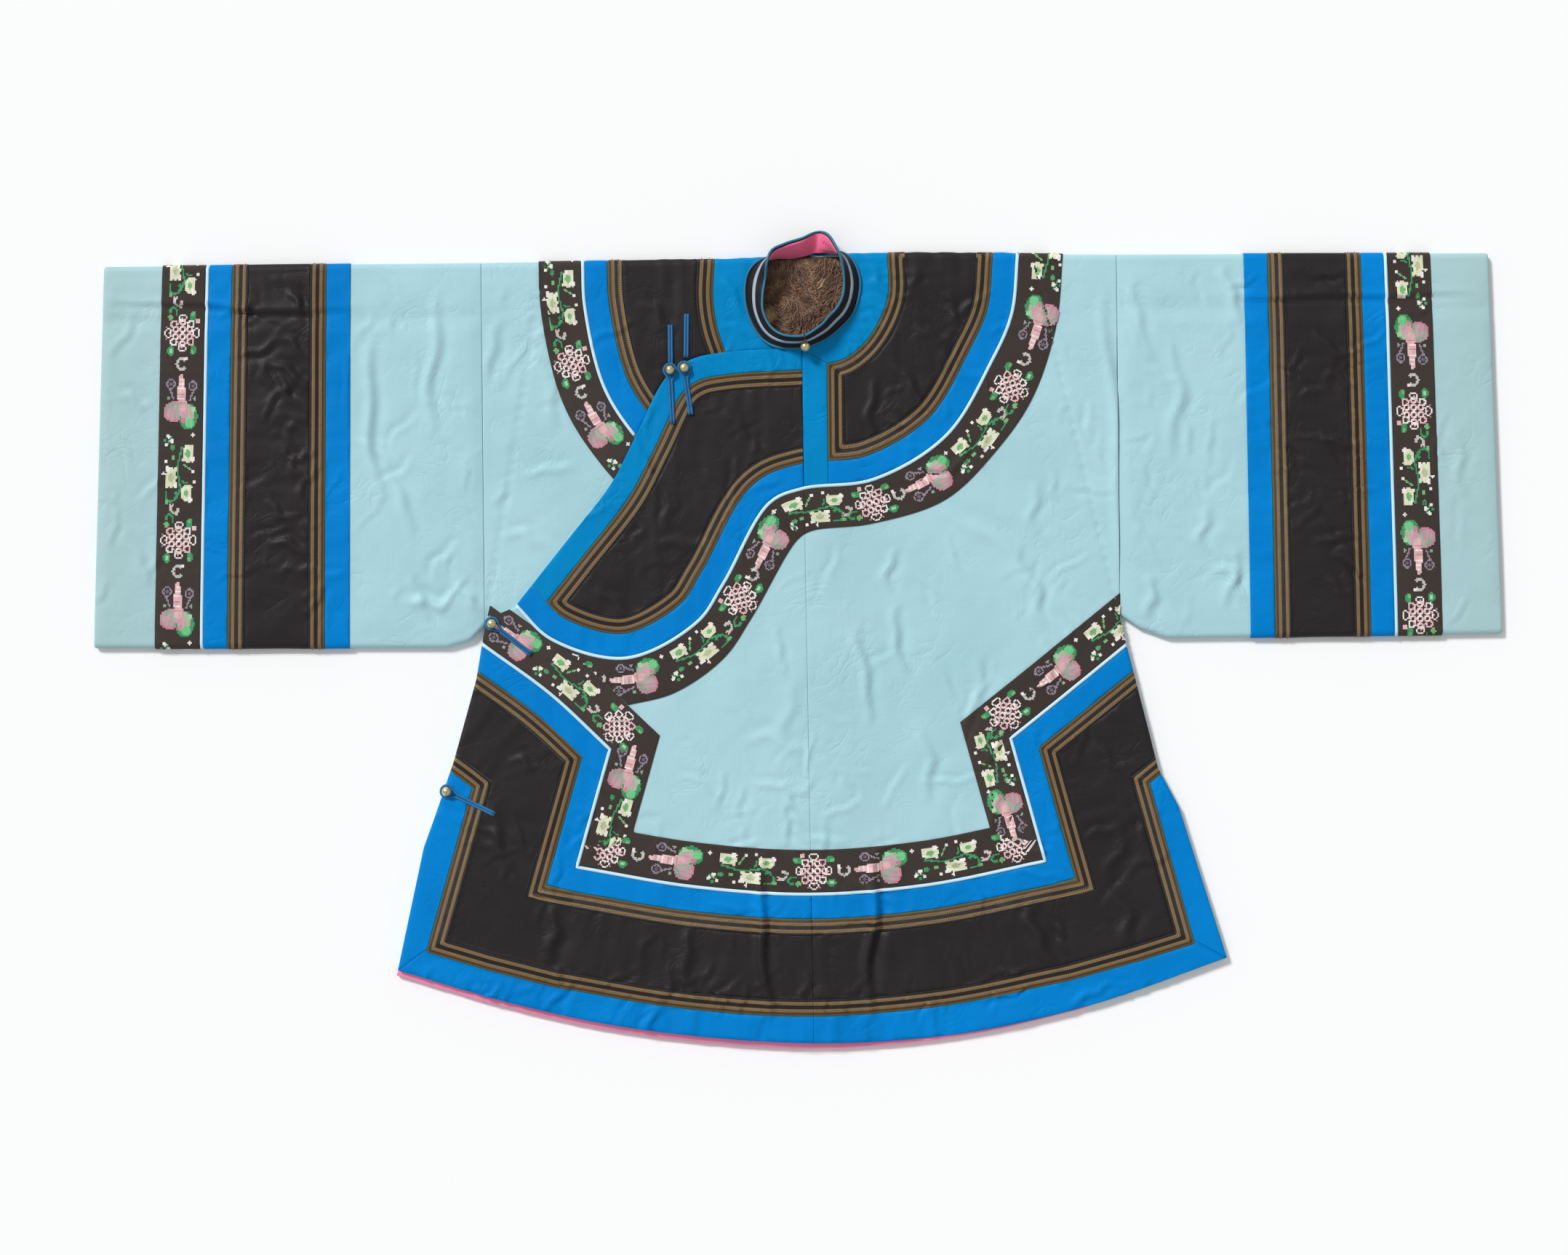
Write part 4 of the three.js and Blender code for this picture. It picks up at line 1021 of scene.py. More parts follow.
@dataclass(frozen=True)
class ColouredThread:
    """Figures woven or sewn in silks whose colours the mesh carries."""

    name: str
    roughness: float = 0.5

    def build(self, effects: Effects) -> bpy.types.Material:
        """Makes the material, which reads the mesh's silk colours."""
        tree = Dye(self.name, effects)
        silk = tree.add("ShaderNodeAttribute", {"attribute_name": "silk"}).outputs["Color"]
        wear, weave = tree.group("wear"), tree.group("weave", Pitch=2600.0)
        colour = tree.mix(1.0, silk, tree.sum("MULTIPLY_ADD", wear.outputs["Soil"], -0.5, 1.08), "MULTIPLY")
        gloss = tree.sum("MULTIPLY_ADD", wear.outputs["Soil"], 0.3, self.roughness)
        bump = tree.add("ShaderNodeBump", Strength=0.25, Distance=0.0003, Height=weave.outputs["Height"])
        return tree.shaded(Base_Color=colour, Roughness=gloss, Normal=bump.outputs[0], Sheen_Weight=0.2)


@dataclass(frozen=True)
class Metal:
    """Cast gilt brass, duller in random patches."""

    name: str
    colour: str
    dark: str

    def build(self, effects: Effects) -> bpy.types.Material:
        """Makes the metal's material."""
        tree = Dye(self.name, effects)
        wear = tree.group("wear", Size=220.0)
        share = tree.sum("MULTIPLY_ADD", wear.outputs["Fade"], 1.8, -0.6)
        colour = tree.mix(share, tone(self.colour), tone(self.dark))
        gloss = tree.sum("MULTIPLY_ADD", wear.outputs["Soil"], 0.35, 0.24)
        cast = tree.add("ShaderNodeTexNoise", Vector=tree.place, Scale=900.0, Detail=3.0)
        bump = tree.add("ShaderNodeBump", Strength=0.25, Distance=0.0003, Height=cast.outputs[0])
        return tree.shaded(Base_Color=colour, Roughness=gloss, Normal=bump.outputs[0], Metallic=0.85)


@dataclass(frozen=True)
class Fur:
    """Short fur, with a colour that changes in patches."""

    name: str

    def build(self, effects: Effects) -> bpy.types.Material:
        """Makes the fur's material."""
        tree = Dye(self.name, effects)
        patch = tree.add("ShaderNodeTexNoise", Vector=tree.place, Scale=90.0, Detail=4.0, Roughness=0.65).outputs[0]
        fine = tree.add("ShaderNodeTexNoise", Vector=tree.place, Scale=700.0, Detail=2.0).outputs[0]
        share = tree.sum("ADD", tree.sum("MULTIPLY", patch, 0.75), tree.sum("MULTIPLY", fine, 0.25))
        colour = tree.ramp(share, ((0.34, "4c3122"), (0.5, "875f45"), (0.66, "c09974")))
        gloss = tree.sum("MULTIPLY_ADD", fine, 0.3, 0.6)
        return tree.shaded(Base_Color=colour, Roughness=gloss, Sheen_Weight=0.4)


class Finish(Enum):
    """Every finish of the jacket."""

    SILK = Cloth("pale_blue_silk", "add4dc", "a0cad2", roughness=0.55, sheen=0.12, far="a3c4c7", crinkled=0.34)
    BLUE = Cloth("blue_satin", "0084d2", "0078c4", sheen=0.0, slub=0.25, specular=0.06, crinkled=0.42)
    CYAN = Cloth("neck_blue_satin", "008cca", "007dba", sheen=0.0, slub=0.25, specular=0.06, crinkled=0.5)
    BLACK = Cloth("black_satin", "262223", "1f1c1d", sheen=0.03, slub=0.2, specular=0.22, crinkled=0.38)
    PIPING = Cloth("pale_piping", "d3edf8", "b9e0f0", roughness=0.5)
    PINK = Cloth("pink_silk", "f0749a", "e4608a", roughness=0.5, sheen=0.2)
    # The hem lining's pink is set brighter than its own colour: painted light on the strip that lies in the hem's
    # shade.
    HEM_PINK_PAINTED_LIGHT = Cloth("hem_pink_silk_painted_light", "ff9cc4", "fa8ab4", roughness=0.5, sheen=0.2)
    CORD = Cloth("blue_cord", "2a7fb8", "1b6296", roughness=0.5, pitch=5200.0, bump=0.4, sheen=0.05)
    TEAL = Cloth("teal_piping", "3783a6", "266485", roughness=0.5, pitch=5200.0, bump=0.3, sheen=0.05)
    COLLAR = Cloth("collar_black", "211d1f", "181517", roughness=0.5, sheen=0.04, specular=0.2)
    STRIPE = Cloth("silver_stripe", "c2c9d1", "8f9aa8", roughness=0.45, sheen=0.1)
    SKIN = Cloth("fur_skin", "5a4233", "4a3428", roughness=0.9)
    # The tuft's tan is its own colour raised with painted light, against the collar's shade.
    TUFT = Cloth("tan_tuft_and_painted_light", "f0d6a8", "d8b681", roughness=0.7)
    BRAID = Braid("gold_braid", 17.0)
    RIBBON = RibbonGround("ribbon_ground")
    FIGURES = ColouredThread("ribbon_silks")
    GIMP = Cloth("gold_gimp", "9a7f57", "765d3c", roughness=0.55, pitch=5200.0, bump=0.3, slub=0.9)
    BRASS = Metal("gilt_brass", "e6dcae", "9c8a55")
    FUR = Fur("brown_fur")


@dataclass
class Workroom:
    """Where pieces are dressed: it keeps the materials and counts the faces of each piece."""

    effects: Effects = field(default_factory=Effects)
    materials: dict[str, bpy.types.Material] = field(default_factory=dict)
    count: int = 0

    def material(self, finish: Finish) -> bpy.types.Material:
        """The material of a finish, built at its first use."""
        if finish.name not in self.materials:
            self.materials[finish.name] = finish.value.build(self.effects)
        return self.materials[finish.name]

    def dress(
        self, piece: bpy.types.Object, finish: Finish, slot: str, nodes: Sequence[str] = ()
    ) -> bpy.types.Object:
        """Gives a piece its finish and body.

        Args:
            piece: the object.
            finish: what it is made of.
            slot: not used.
            nodes: the solids that it stands for.

        Returns:
            The same object.
        """
        piece.data.materials.clear()
        piece.data.materials.append(self.material(finish))
        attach(piece, "root")
        if nodes:
            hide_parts(*nodes)
        self.count += len(piece.data.polygons)
        return piece

    def cloth(
        self,
        name: str,
        region: Region,
        surface: "BodySurface | SleeveSurface | BackSurface",
        finish: Finish,
        slot: str,
        nodes: Sequence[str] = (),
        lift: float = 0.0,
        edge: Edge = Edge.TRIM,
        step: float = 3.6,
        guide: Guide | None = None,
        from_line: float = 0.0,
        strip: float = 0.0,
        pucker: float = 0.0,
        seams: Sequence[Guide] = (),
        sunk: Region | None = None,
    ) -> bpy.types.Object:
        """Cuts a piece of cloth, lays it on a surface and dresses it.

        Args:
            name: the piece's name.
            region: its shape in the plan.
            surface: what it is laid on.
            finish: what it is made of.
            slot: not used; it is only passed on to dress.
            nodes: the solids that it stands for.
            lift: how far its face stands off the surface.
            edge: how it ends.
            step: the spacing of its points.
            guide: the line that it runs along.
            from_line: how far from that line its UV map starts.
            strip: the width that it was cut to, where it is a strip.
            pucker: the height of small gathers across it.
            seams: lines where it is sewn to its neighbour and stays level with it.
            sunk: where trims cover it.

        Returns:
            The finished piece.
        """
        hidden = SHOULDER + 16 if isinstance(surface, BodySurface) else 4 * FAR
        if isinstance(surface, SleeveSurface):
            hidden = surface.flat + 16
        cut = cut_cloth(region, step, edge, hidden)
        level = cut.lifts.copy()
        for seam in seams:
            level[np.abs(seam.locate(cut.places)[1]) < SEAM_REACH] *= 0.12
        if sunk is not None:
            level[sunk.test(cut.places)] -= SUNK
        lifts = level + lift
        along, across = guide.locate(cut.places) if guide else (cut.places[:, 0], cut.places[:, 1])
        if pucker:
            gather = mottle(along, across * 0.25, 9.0, 21) + 0.6 * mottle(along, across * 0.4, 21.0, 22)
            lifts = lifts + pucker * gather * (cut.lifts > -0.01)
        piece = new_mesh(name, surface.place(cut.places, lifts), cut.faces)
        if isinstance(surface, BackSurface) or (isinstance(surface, SleeveSurface) and surface.shape.sign < 0):
            piece.data.flip_normals()
        lay_uv(piece, along, np.abs(across - from_line))
        if strip:
            size, area = (strip, cut.flat_area / strip), None
        elif cut.flat_area < 0.34 * cut.box[0] * cut.box[1]:
            size, area = (2 * cut.flat_area / cut.rim, cut.rim / 2), None
        else:
            size = cut.box
            area = min(cut.flat_area, size[0] * size[1]) * MM * MM
        self.dress(piece, finish, slot, nodes)
        size[0] * MM
        size[1] * MM
        LOG.info("%s: %d faces, cut %.0f by %.0f mm", name, len(cut.faces), *size)
        return piece

    def trim(
        self,
        name: str,
        region: Region,
        surface: "BodySurface | SleeveSurface | BackSurface",
        trim: "Trim",
        nodes: Sequence[str] = (),
        **more: object,
    ) -> bpy.types.Object:
        """Cuts and lays a piece of one of the flat trims."""
        finish, slot, lift = trim.value
        return self.cloth(name, region, surface, finish, slot, nodes, lift, **more)


@dataclass(frozen=True)
class BackSurface:
    """The flat back of the jacket, where places are as they lie and lifts go down."""

    def place(self, places: Points, lift: Points) -> Points:
        """Where places of the lying back are, lifted off the cloth."""
        z = FOLD_RADIUS - (FOLD_RADIUS + pressed(lift, np.ones(len(lift))))
        return np.column_stack([places, z])


# The jacket's pattern

FRONT_CREASES = (
    Crease((100, 36), (106, -39), 1.2, 4.5),
    Crease((64, 14), (69, -91), 1.1, 4.5),
    Crease((99, 95), (92, 48), 1.0, 4),
    Crease((153, 141), (280, 20), 0.8, 7),
    Crease((236, 67), (257, 12), 0.9, 5),
    Crease((180, -20), (196, -84), 0.8, 5),
    Crease((-60, -100), (10, -112), 0.6, 5),
    Crease((243, 160), (247, 105), 0.8, 5),
    Crease((322, 362), (330, 50), 1.1, 5),
    Crease((-38, -216), (-39, -392), 2.4, 4.5),
    Crease((73, -214), (72, -394), 2.6, 4.5),
    Crease((4, -340), (5, -378), 1.0, 4),
    Crease((-114, -292), (-116, -372), 1.4, 6),
    Crease((-244, -272), (-270, -330), 1.6, 6),
    Crease((239, -276), (254, -348), 1.7, 7),
    Crease((329, -262), (336, -322), 1.3, 6),
    Crease((124, 317), (163, 310), 1.0, 4),
    Crease((80, 269), (78, 209), 1.5, 3.5),
    Crease((124, 385), (127, 352), 0.8, 4),
    Crease((150, 300), (186, 262), 0.8, 5),
    Crease((74, 396), (100, 350), 1.1, 3.5),
    Crease((66, 334), (93, 322), 0.9, 3.5),
    Crease((58, 316), (70, 298), 0.8, 3),
    Crease((-68, 240), (-52, 203), 0.8, 4),
    Crease((-150, 110), (-96, 92), 0.6, 5),
    Crease((-200, 60), (-176, 18), 0.7, 5),
    Crease((-299, -117), (-269, -132), 1.0, 4),
    Crease((-315, -162), (-301, -237), 0.9, 5),
    Crease((-345, -196), (-322, -215), 0.8, 4),
    Crease((300, -110), (340, -138), 0.9, 5),
    Crease((330, -190), (318, -260), 0.9, 6),
    Crease((128, -92), (132, -170), 0.9, 5),
    Crease((-8, -40), (-12, -120), 0.5, 6),
)
UNDER_CREASES = (
    Crease((-282, 180), (-229, 176), 0.9, 4),
    Crease((-309, 333), (-312, 258), 1.0, 5),
    Crease((-262, 300), (-250, 215), 0.7, 5),
    Crease((-300, 120), (-262, 96), 0.8, 5),
    Crease((-160, 350), (-124, 320), 0.8, 5),
    Crease((-68, 378), (-58, 330), 1.0, 3.5),
    Crease((-74, 330), (-52, 312), 0.8, 3.5),
)
SLEEVE_CREASES = {
    "right": (
        Crease((-441, 316), (-432, 146), 1.3, 5),
        Crease((-373, 364), (-374, 214), 1.0, 5),
        Crease((-404, 40), (-352, 47), 1.5, 5),
        Crease((-395, 72), (-385, 22), 1.0, 4),
        Crease((-345, 66), (-330, 24), 1.2, 5),
        Crease((-420, 190), (-400, 110), 0.9, 5),
        Crease((-524, 364), (-498, 340), 1.4, 3.5),
        Crease((-545, 298), (-503, 262), 1.6, 4),
        Crease((-532, 322), (-506, 296), 1.1, 3.5),
        Crease((-536, 282), (-512, 246), 1.2, 3.5),
        Crease((-545, 112), (-504, 92), 1.5, 4),
        Crease((-548, 152), (-520, 128), 1.1, 4),
        Crease((-530, 200), (-508, 176), 0.9, 4),
        Crease((-712, 350), (-452, 341), -1.3, 3),
        Crease((-700, 258), (-664, 250), 0.7, 4),
        Crease((-690, 120), (-672, 60), 0.6, 5),
    ),
    "left": (
        Crease((419, 134), (420, 85), 1.0, 5),
        Crease((447, 382), (452, 320), 1.3, 5),
        Crease((430, 77), (464, 38), 1.3, 5),
        Crease((455, 90), (440, 28), 1.0, 4),
        Crease((372, 60), (352, 18), 1.2, 5),
        Crease((392, 300), (386, 180), 0.9, 6),
        Crease((352, 370), (358, 280), 0.8, 5),
        Crease((533, 312), (574, 284), 1.3, 4),
        Crease((540, 210), (580, 190), 1.1, 4),
        Crease((536, 104), (576, 82), 1.4, 4),
        Crease((545, 60), (570, 40), 1.0, 3.5),
        Crease((440, 348), (706, 343), -1.1, 3),
        Crease((676, 210), (690, 140), 0.7, 5),
    ),
}
# The collar by bearing from the neck's middle: how far its foot and rim stand out, and its floor
COLLAR = (
    (-87, 50.5, 41, 14.7), (-70, 48.5, 37, 14.7), (-53, 48.5, 35, 13.8), (-38, 49.5, 34, 13),
    (-20, 53.5, 37, 12.3), (0, 57.5, 41, 11.6), (22, 63, 46, 10.9), (42, 64, 54, 10.5), (56, 57, 62, 8),
    (73, 46.5, 71.7, 4.5), (90, 42.5, 61, 4.4), (108, 43.5, 58, 4.5), (124, 51, 57, 8), (137, 58, 50, 10.5),
    (152, 62, 43, 10.5), (176, 59.5, 41, 10.5), (200, 58, 43.5, 10.5), (226, 58.5, 45.5, 10.8),
    (242, 56.5, 45, 14.7), (256, 53, 43, 14.7), (272, 50.5, 41, 14.7),
)
NECK = (8.0, 352.0)
NECK_CUT = 3.5


@dataclass
class Pattern:
    """The lines that the jacket was cut and trimmed to, as regions of the plan."""

    hem: Points = field(init=False)
    chain: Points = field(init=False)
    overlap_edge: Points = field(init=False)
    yoke: Points = field(init=False)
    right_yoke: Points = field(init=False)
    frame: dict[str, Points] = field(init=False)

    def __post_init__(self) -> None:
        """Draws the lines."""
        self.hem = curve_through(HEM, 9)
        self.chain = np.vstack([RIGHT_EDGE[:-1], self.hem, LEFT_EDGE[-2::-1]]).astype(float)
        self.overlap_edge = curve_through(OVERLAP_EDGE, 6)
        self.yoke = run_on(curve_through(YOKE_LINE, 6), RUN_ON)
        self.right_yoke = run_on(curve_through(RIGHT_YOKE_LINE, 6), RUN_ON)
        self.frame = {
            "right_diagonal": curve_through(FRAME_RIGHT, 12),
            "right": np.array([FRAME_RIGHT[-1], FRAME_HEM[0]], float),
            "hem": curve_through(FRAME_HEM, 12),
            "long_hem": np.vstack([FRAME_HEM_RUN[0], curve_through(FRAME_HEM, 12), FRAME_HEM_RUN[1]]),
            "left": np.array([FRAME_HEM[-1], FRAME_LEFT[0]], float),
            "left_diagonal": curve_through(FRAME_LEFT, 12),
        }

    def whole(self) -> Region:
        """The body's cloth from hem to hem, between its sleeve seams."""
        back = turned_over(self.chain)[::-1]
        return Region.of(np.vstack([self.chain, back]))

    def front_zone(self) -> Region:
        """The front and the shoulder fold."""
        shoulder = [(x, y - FOLD_RADIUS + HALF_TURN) for x, y in reversed(SHOULDER_LINE)]
        top = shoulder[0][1]
        return Region.of([(-460, -440), (460, -440), (460, top), *shoulder, (-460, shoulder[-1][1])])

    def half(self, sign: int) -> Region:
        """One side of the middle line."""
        turn = SHOULDER + HALF_TURN
        line = [(axis_at(-460.0), -460), (axis_at(SHOULDER), SHOULDER), (axis_at(SHOULDER), turn)]
        line.append((axis_at(-460.0), turn + SHOULDER + 460))
        moved = [(x + sign * SEAM_GAP, y) for x, y in line]
        return Region.of([*moved, (sign * 2 * FAR, line[-1][1]), (sign * 2 * FAR, -460)])

    def neck(self, inset: float) -> Region:
        """The neck hole, a little inside the collar's foot."""
        front = [(b, foot) for b, foot, _, floor in COLLAR if floor > 10]
        round_neck = [
            (NECK[0] + (foot - inset) * math.cos(math.radians(b)), NECK[1] + (foot - inset) * math.sin(math.radians(b)))
            for b, foot in front
        ]
        left = [p for p, (b, _) in zip(round_neck, front) if b < 90]
        right = [p for p, (b, _) in zip(round_neck, front) if b > 90]
        return Region.of([*left, (50, 397), (-32, 397), *right])

    def below_overlap(self, inset: float) -> Region:
        """Everything below the overlap's free edge, drawn in from it."""
        edge = beside(self.overlap_edge, -inset)
        tip = [*OVERLAP_TIP, RIGHT_EDGE[0]] if inset == 0 else []
        last = RIGHT_EDGE[0][1] if inset == 0 else edge[-1][1]
        return Region.of([(FAR, edge[0][1]), *edge, *tip, (-FAR, last), (-FAR, -FAR), (FAR, -FAR)])

    def within_yoke(self, distance: float) -> Region:
        """The neck's side of the yoke line moved inwards."""
        line = beside(self.yoke, distance)
        return Region.of([*line, (-FAR, FAR), (line[0][0], FAR)])

    def within_right_yoke(self, distance: float) -> Region:
        """The neck's side of the right shoulder's yoke line moved inwards."""
        line = beside(self.right_yoke, -distance)
        return Region.of([*line, (FAR, line[-1][1]), (FAR, FAR)])

    def right_of(self, name: str, distance: float) -> Region:
        """Everything to the right of one side of the skirt's frame, moved outwards."""
        line = run_on(beside(self.frame[name], distance), FAR)
        way = line[-1] - line[0]
        across = np.array([way[1], -way[0]]) / np.linalg.norm(way) * 2 * FAR
        return Region.of([*line, line[-1] + across, line[0] + across])

    def outside_frame(self, distance: float) -> Region:
        """Everything outside the skirt's frame moved outwards."""
        right = self.right_of("right_diagonal", distance) & self.right_of("right", distance)
        left = self.right_of("left_diagonal", distance) & self.right_of("left", distance)
        return self.right_of("long_hem", distance) | right | left

    def drawn_in(self, distance: float) -> Region:
        """The front within the body's side edges and hem, drawn in from them."""
        edge = beside(self.chain, -distance)
        return Region.of([*edge, (330, 430), (-321, 430)])

    def frame_line(self, distance: float) -> Points:
        """The skirt's frame moved outwards, as far as it lies within the body's edges."""
        ring = outline_of(self.drawn_in(0.5) & self.right_of("long_hem", -200) & self.outside_frame(distance))[:-1]
        held = self.drawn_in(2.0).test(ring)
        ring = np.roll(ring, -int(np.argmin(held)), axis=0)
        line = max(runs_within(ring, self.drawn_in(2.0)), key=len)
        return line if line[0, 0] < line[-1, 0] else line[::-1]

    def frame_guide(self, distance: float = 0.0) -> Guide:
        """The skirt's frame as one line, moved outwards."""
        rows = [self.frame[n] for n in ("right_diagonal", "right", "hem", "left", "left_diagonal")]
        line = np.vstack([rows[0], rows[1][1:-1], rows[2], rows[3][1:-1], rows[4]])
        return Guide(run_on(beside(line, distance), RUN_ON))

    def yoke_ribbon_inside(self, inset: float = 0.0) -> Region:
        """The neck's side of the yoke ribbon's outer edge, drawn in from it."""
        edge = run_on(beside(curve_through(YOKE_RIBBON_EDGE, 6), inset), RUN_ON)
        return Region.of([*edge, (-FAR, FAR), (edge[0][0], FAR)])

    @staticmethod
    def left_of(x: float) -> Region:
        """Everything on the wearer's left of an upright line."""
        return Region.of([(x, -FAR), (2 * FAR, -FAR), (2 * FAR, FAR), (x, FAR)])

    @staticmethod
    def band(within: Callable[[float], Region], start: float, end: float) -> Region:
        """What lies between two distances, half a seam short on each side."""
        return within(start + GAP / 2) - within(end - GAP / 2)


def outline_of(region: Region) -> Points:
    """The longest closed outline of a region, in order.

    Args:
        region: the region.

    Returns:
        Its outline, with the first point repeated at the end.
    """
    verts: list[Points] = []
    edges: list[tuple[int, int]] = []
    for outline in region.outlines:
        first, count = len(verts), len(outline)
        verts.extend(outline)
        edges.extend((first + k, first + (k + 1) % count) for k in range(count))
    flat = [Vector((float(x), float(y))) for x, y in verts]
    points, _, faces, _, _, _ = delaunay_2d_cdt(flat, edges, [], 0, 0.02)
    spots = np.array([(p.x, p.y) for p in points])
    corners = np.array([tuple(face) for face in faces])
    kept = corners[region.test(spots[corners].mean(axis=1))]
    sides: dict[tuple[int, int], int] = {}
    for a, b, c in kept:
        for pair in ((a, b), (b, c), (c, a)):
            key = (min(pair), max(pair))
            sides[key] = sides.get(key, 0) + 1
    beyond: dict[int, list[int]] = {}
    for (a, b), uses in sides.items():
        if uses == 1:
            beyond.setdefault(a, []).append(b)
            beyond.setdefault(b, []).append(a)
    best: list[int] = []
    left = set(beyond)
    while left:
        loop = [left.pop()]
        while True:
            ahead = [k for k in beyond[loop[-1]] if k in left]
            if not ahead:
                break
            loop.append(ahead[0])
            left.discard(ahead[0])
        if len(loop) > len(best):
            best = loop
    return divided(np.vstack([spots[best], spots[best[:1]]]), 6.0)


def runs_within(line: Points, region: Region) -> list[Points]:
    """The stretches of a line that lie in a region.

    Args:
        line: the line's points.
        region: where it shows.

    Returns:
        One row of points for each stretch.
    """
    held = region.test(line)
    runs: list[Points] = []
    start = None
    for k, here in enumerate([*held, False]):
        if here and start is None:
            start = k
        elif not here and start is not None:
            if k - start > 3:
                runs.append(line[start:k])
            start = None
    return runs


def round_tubes(
    surface: "BodySurface | SleeveSurface | BackSurface", runs: Sequence[Points], lift: float, radius: float
) -> tuple[Points, list[tuple[int, ...]]]:
    """Round cords laid along lines of the plan.

    Args:
        surface: what they are laid on.
        runs: the lines.
        lift: the height of their middles over the cloth.
        radius: their radius.

    Returns:
        Their points and faces.
    """
    parts = []
    for run in runs:
        points, faces = tube(surface.place(run, np.full(len(run), lift)), radius, 8, 0.62)
        points[:, 2] = np.maximum(points[:, 2], 0.06)
        parts.append((points, faces))
    return joined(parts)


TRIM_LIFT = 1.3
BRAID_LIFT = 1.6
RIBBON_LIFT = 1.3
PIPING_LIFT = 1.5


class Trim(Enum):
    """The kinds of flat trim: what each is made of, the record's slot and how far it stands off the cloth."""

    RIBBON = (Finish.RIBBON, "ribbon", RIBBON_LIFT)
    BLUE = (Finish.BLUE, "blue", TRIM_LIFT)
    CYAN = (Finish.CYAN, "blue", TRIM_LIFT)
    BRAID = (Finish.BRAID, "braid", BRAID_LIFT)
    BLACK = (Finish.BLACK, "black", TRIM_LIFT)


@dataclass
class BodyCloth:
    """The two lengths from hem to hem, and the overlap that closes over the right one."""

    room: Workroom
    pattern: Pattern
    front: BodySurface = field(init=False)
    under: BodySurface = field(init=False)

    def __post_init__(self) -> None:
        """Sets out the two heights that the front lies at."""
        small = scattered((-60, -210), (320, 110), 46, 5) + scattered((100, 120), (320, 390), 16, 6)
        small += scattered((-380, -330), (400, -150), 44, 8, 2.2) + scattered((-220, 60), (200, 380), 26, 9, 2.2)
        small += scattered((-400, -378), (420, -330), 56, 31, 0.7, -0.7, 1.5)
        small += scattered((-330, -250), (330, -120), 34, 32, 1.6, 0.5, 1.4)
        small += scattered((-190, 90), (-20, 250), 14, 33, 1.2, 0.0, 1.3)
        small += scattered((60, 200), (190, 380), 12, 34, 2.2, 1.2, 1.3)
        small += tuple(
            Crease(
                (8 + 66 * math.cos(a), 352 + 66 * math.sin(a)), (8 + 92 * math.cos(a), 352 + 88 * math.sin(a)), h, 2.4
            )
            for a, h in ((-1.9, 0.5), (-1.2, 0.6), (-0.8, 0.7), (-0.45, 0.6), (-0.1, 0.8), (0.2, 0.6), (0.45, 0.7))
        )
        self.front = BodySurface(True, FRONT_CREASES + small, self.pattern.chain)
        small = scattered((-320, 60), (-240, 380), 14, 12) + scattered((-220, 240), (-60, 380), 8, 13, 2.2)
        self.under = BodySurface(False, UNDER_CREASES + small, self.pattern.chain, seed=7)

    def build(self) -> None:
        """Cuts and lays the silk."""
        lines = self.pattern
        whole, neck = lines.whole(), lines.neck(NECK_CUT)
        top = 2 * SHOULDER + 460
        middle = Guide(np.array([(axis_at(-460.0), -460), (axis_at(SHOULDER), SHOULDER + 8), (axis_at(-460.0), top)]))
        sides = {
            sign: Guide(np.array([(sign * x, 16.0), (sign * x, 2 * SHOULDER)])) for sign, x in ((-1, 323), (1, 332))
        }
        covered = Region.of([(-FAR, -FAR), (FAR, -FAR), (FAR, 380), (-FAR, 380)])
        trims = (lines.yoke_ribbon_inside(3) | lines.outside_frame(3 - RIBBON)) & covered
        under_trims = lines.within_right_yoke(3 - RIBBON) & covered
        left = (whole & lines.half(1)) - neck
        right = (whole & lines.half(-1)) - neck
        front = lines.front_zone() & lines.half(-1) & whole
        overlap = (front & lines.below_overlap(0)) - neck
        silk = Finish.SILK
        self.room.cloth(
            "left_length_cloth", left, self.front, silk, "silk", ["left_length"], edge=Edge.LAYER,
            step=4, seams=(middle, sides[1]), sunk=trims,
        )
        self.room.cloth(
            "right_length_cloth", right, self.under, silk, "silk", ["right_length"], edge=Edge.LAYER,
            step=4.5, seams=(middle, sides[-1]), sunk=under_trims,
        )
        self.room.cloth(
            "overlap_cloth", overlap, self.front, silk, "silk", ["overlap_front"], edge=Edge.LAYER,
            step=4, seams=(middle,), sunk=trims,
        )


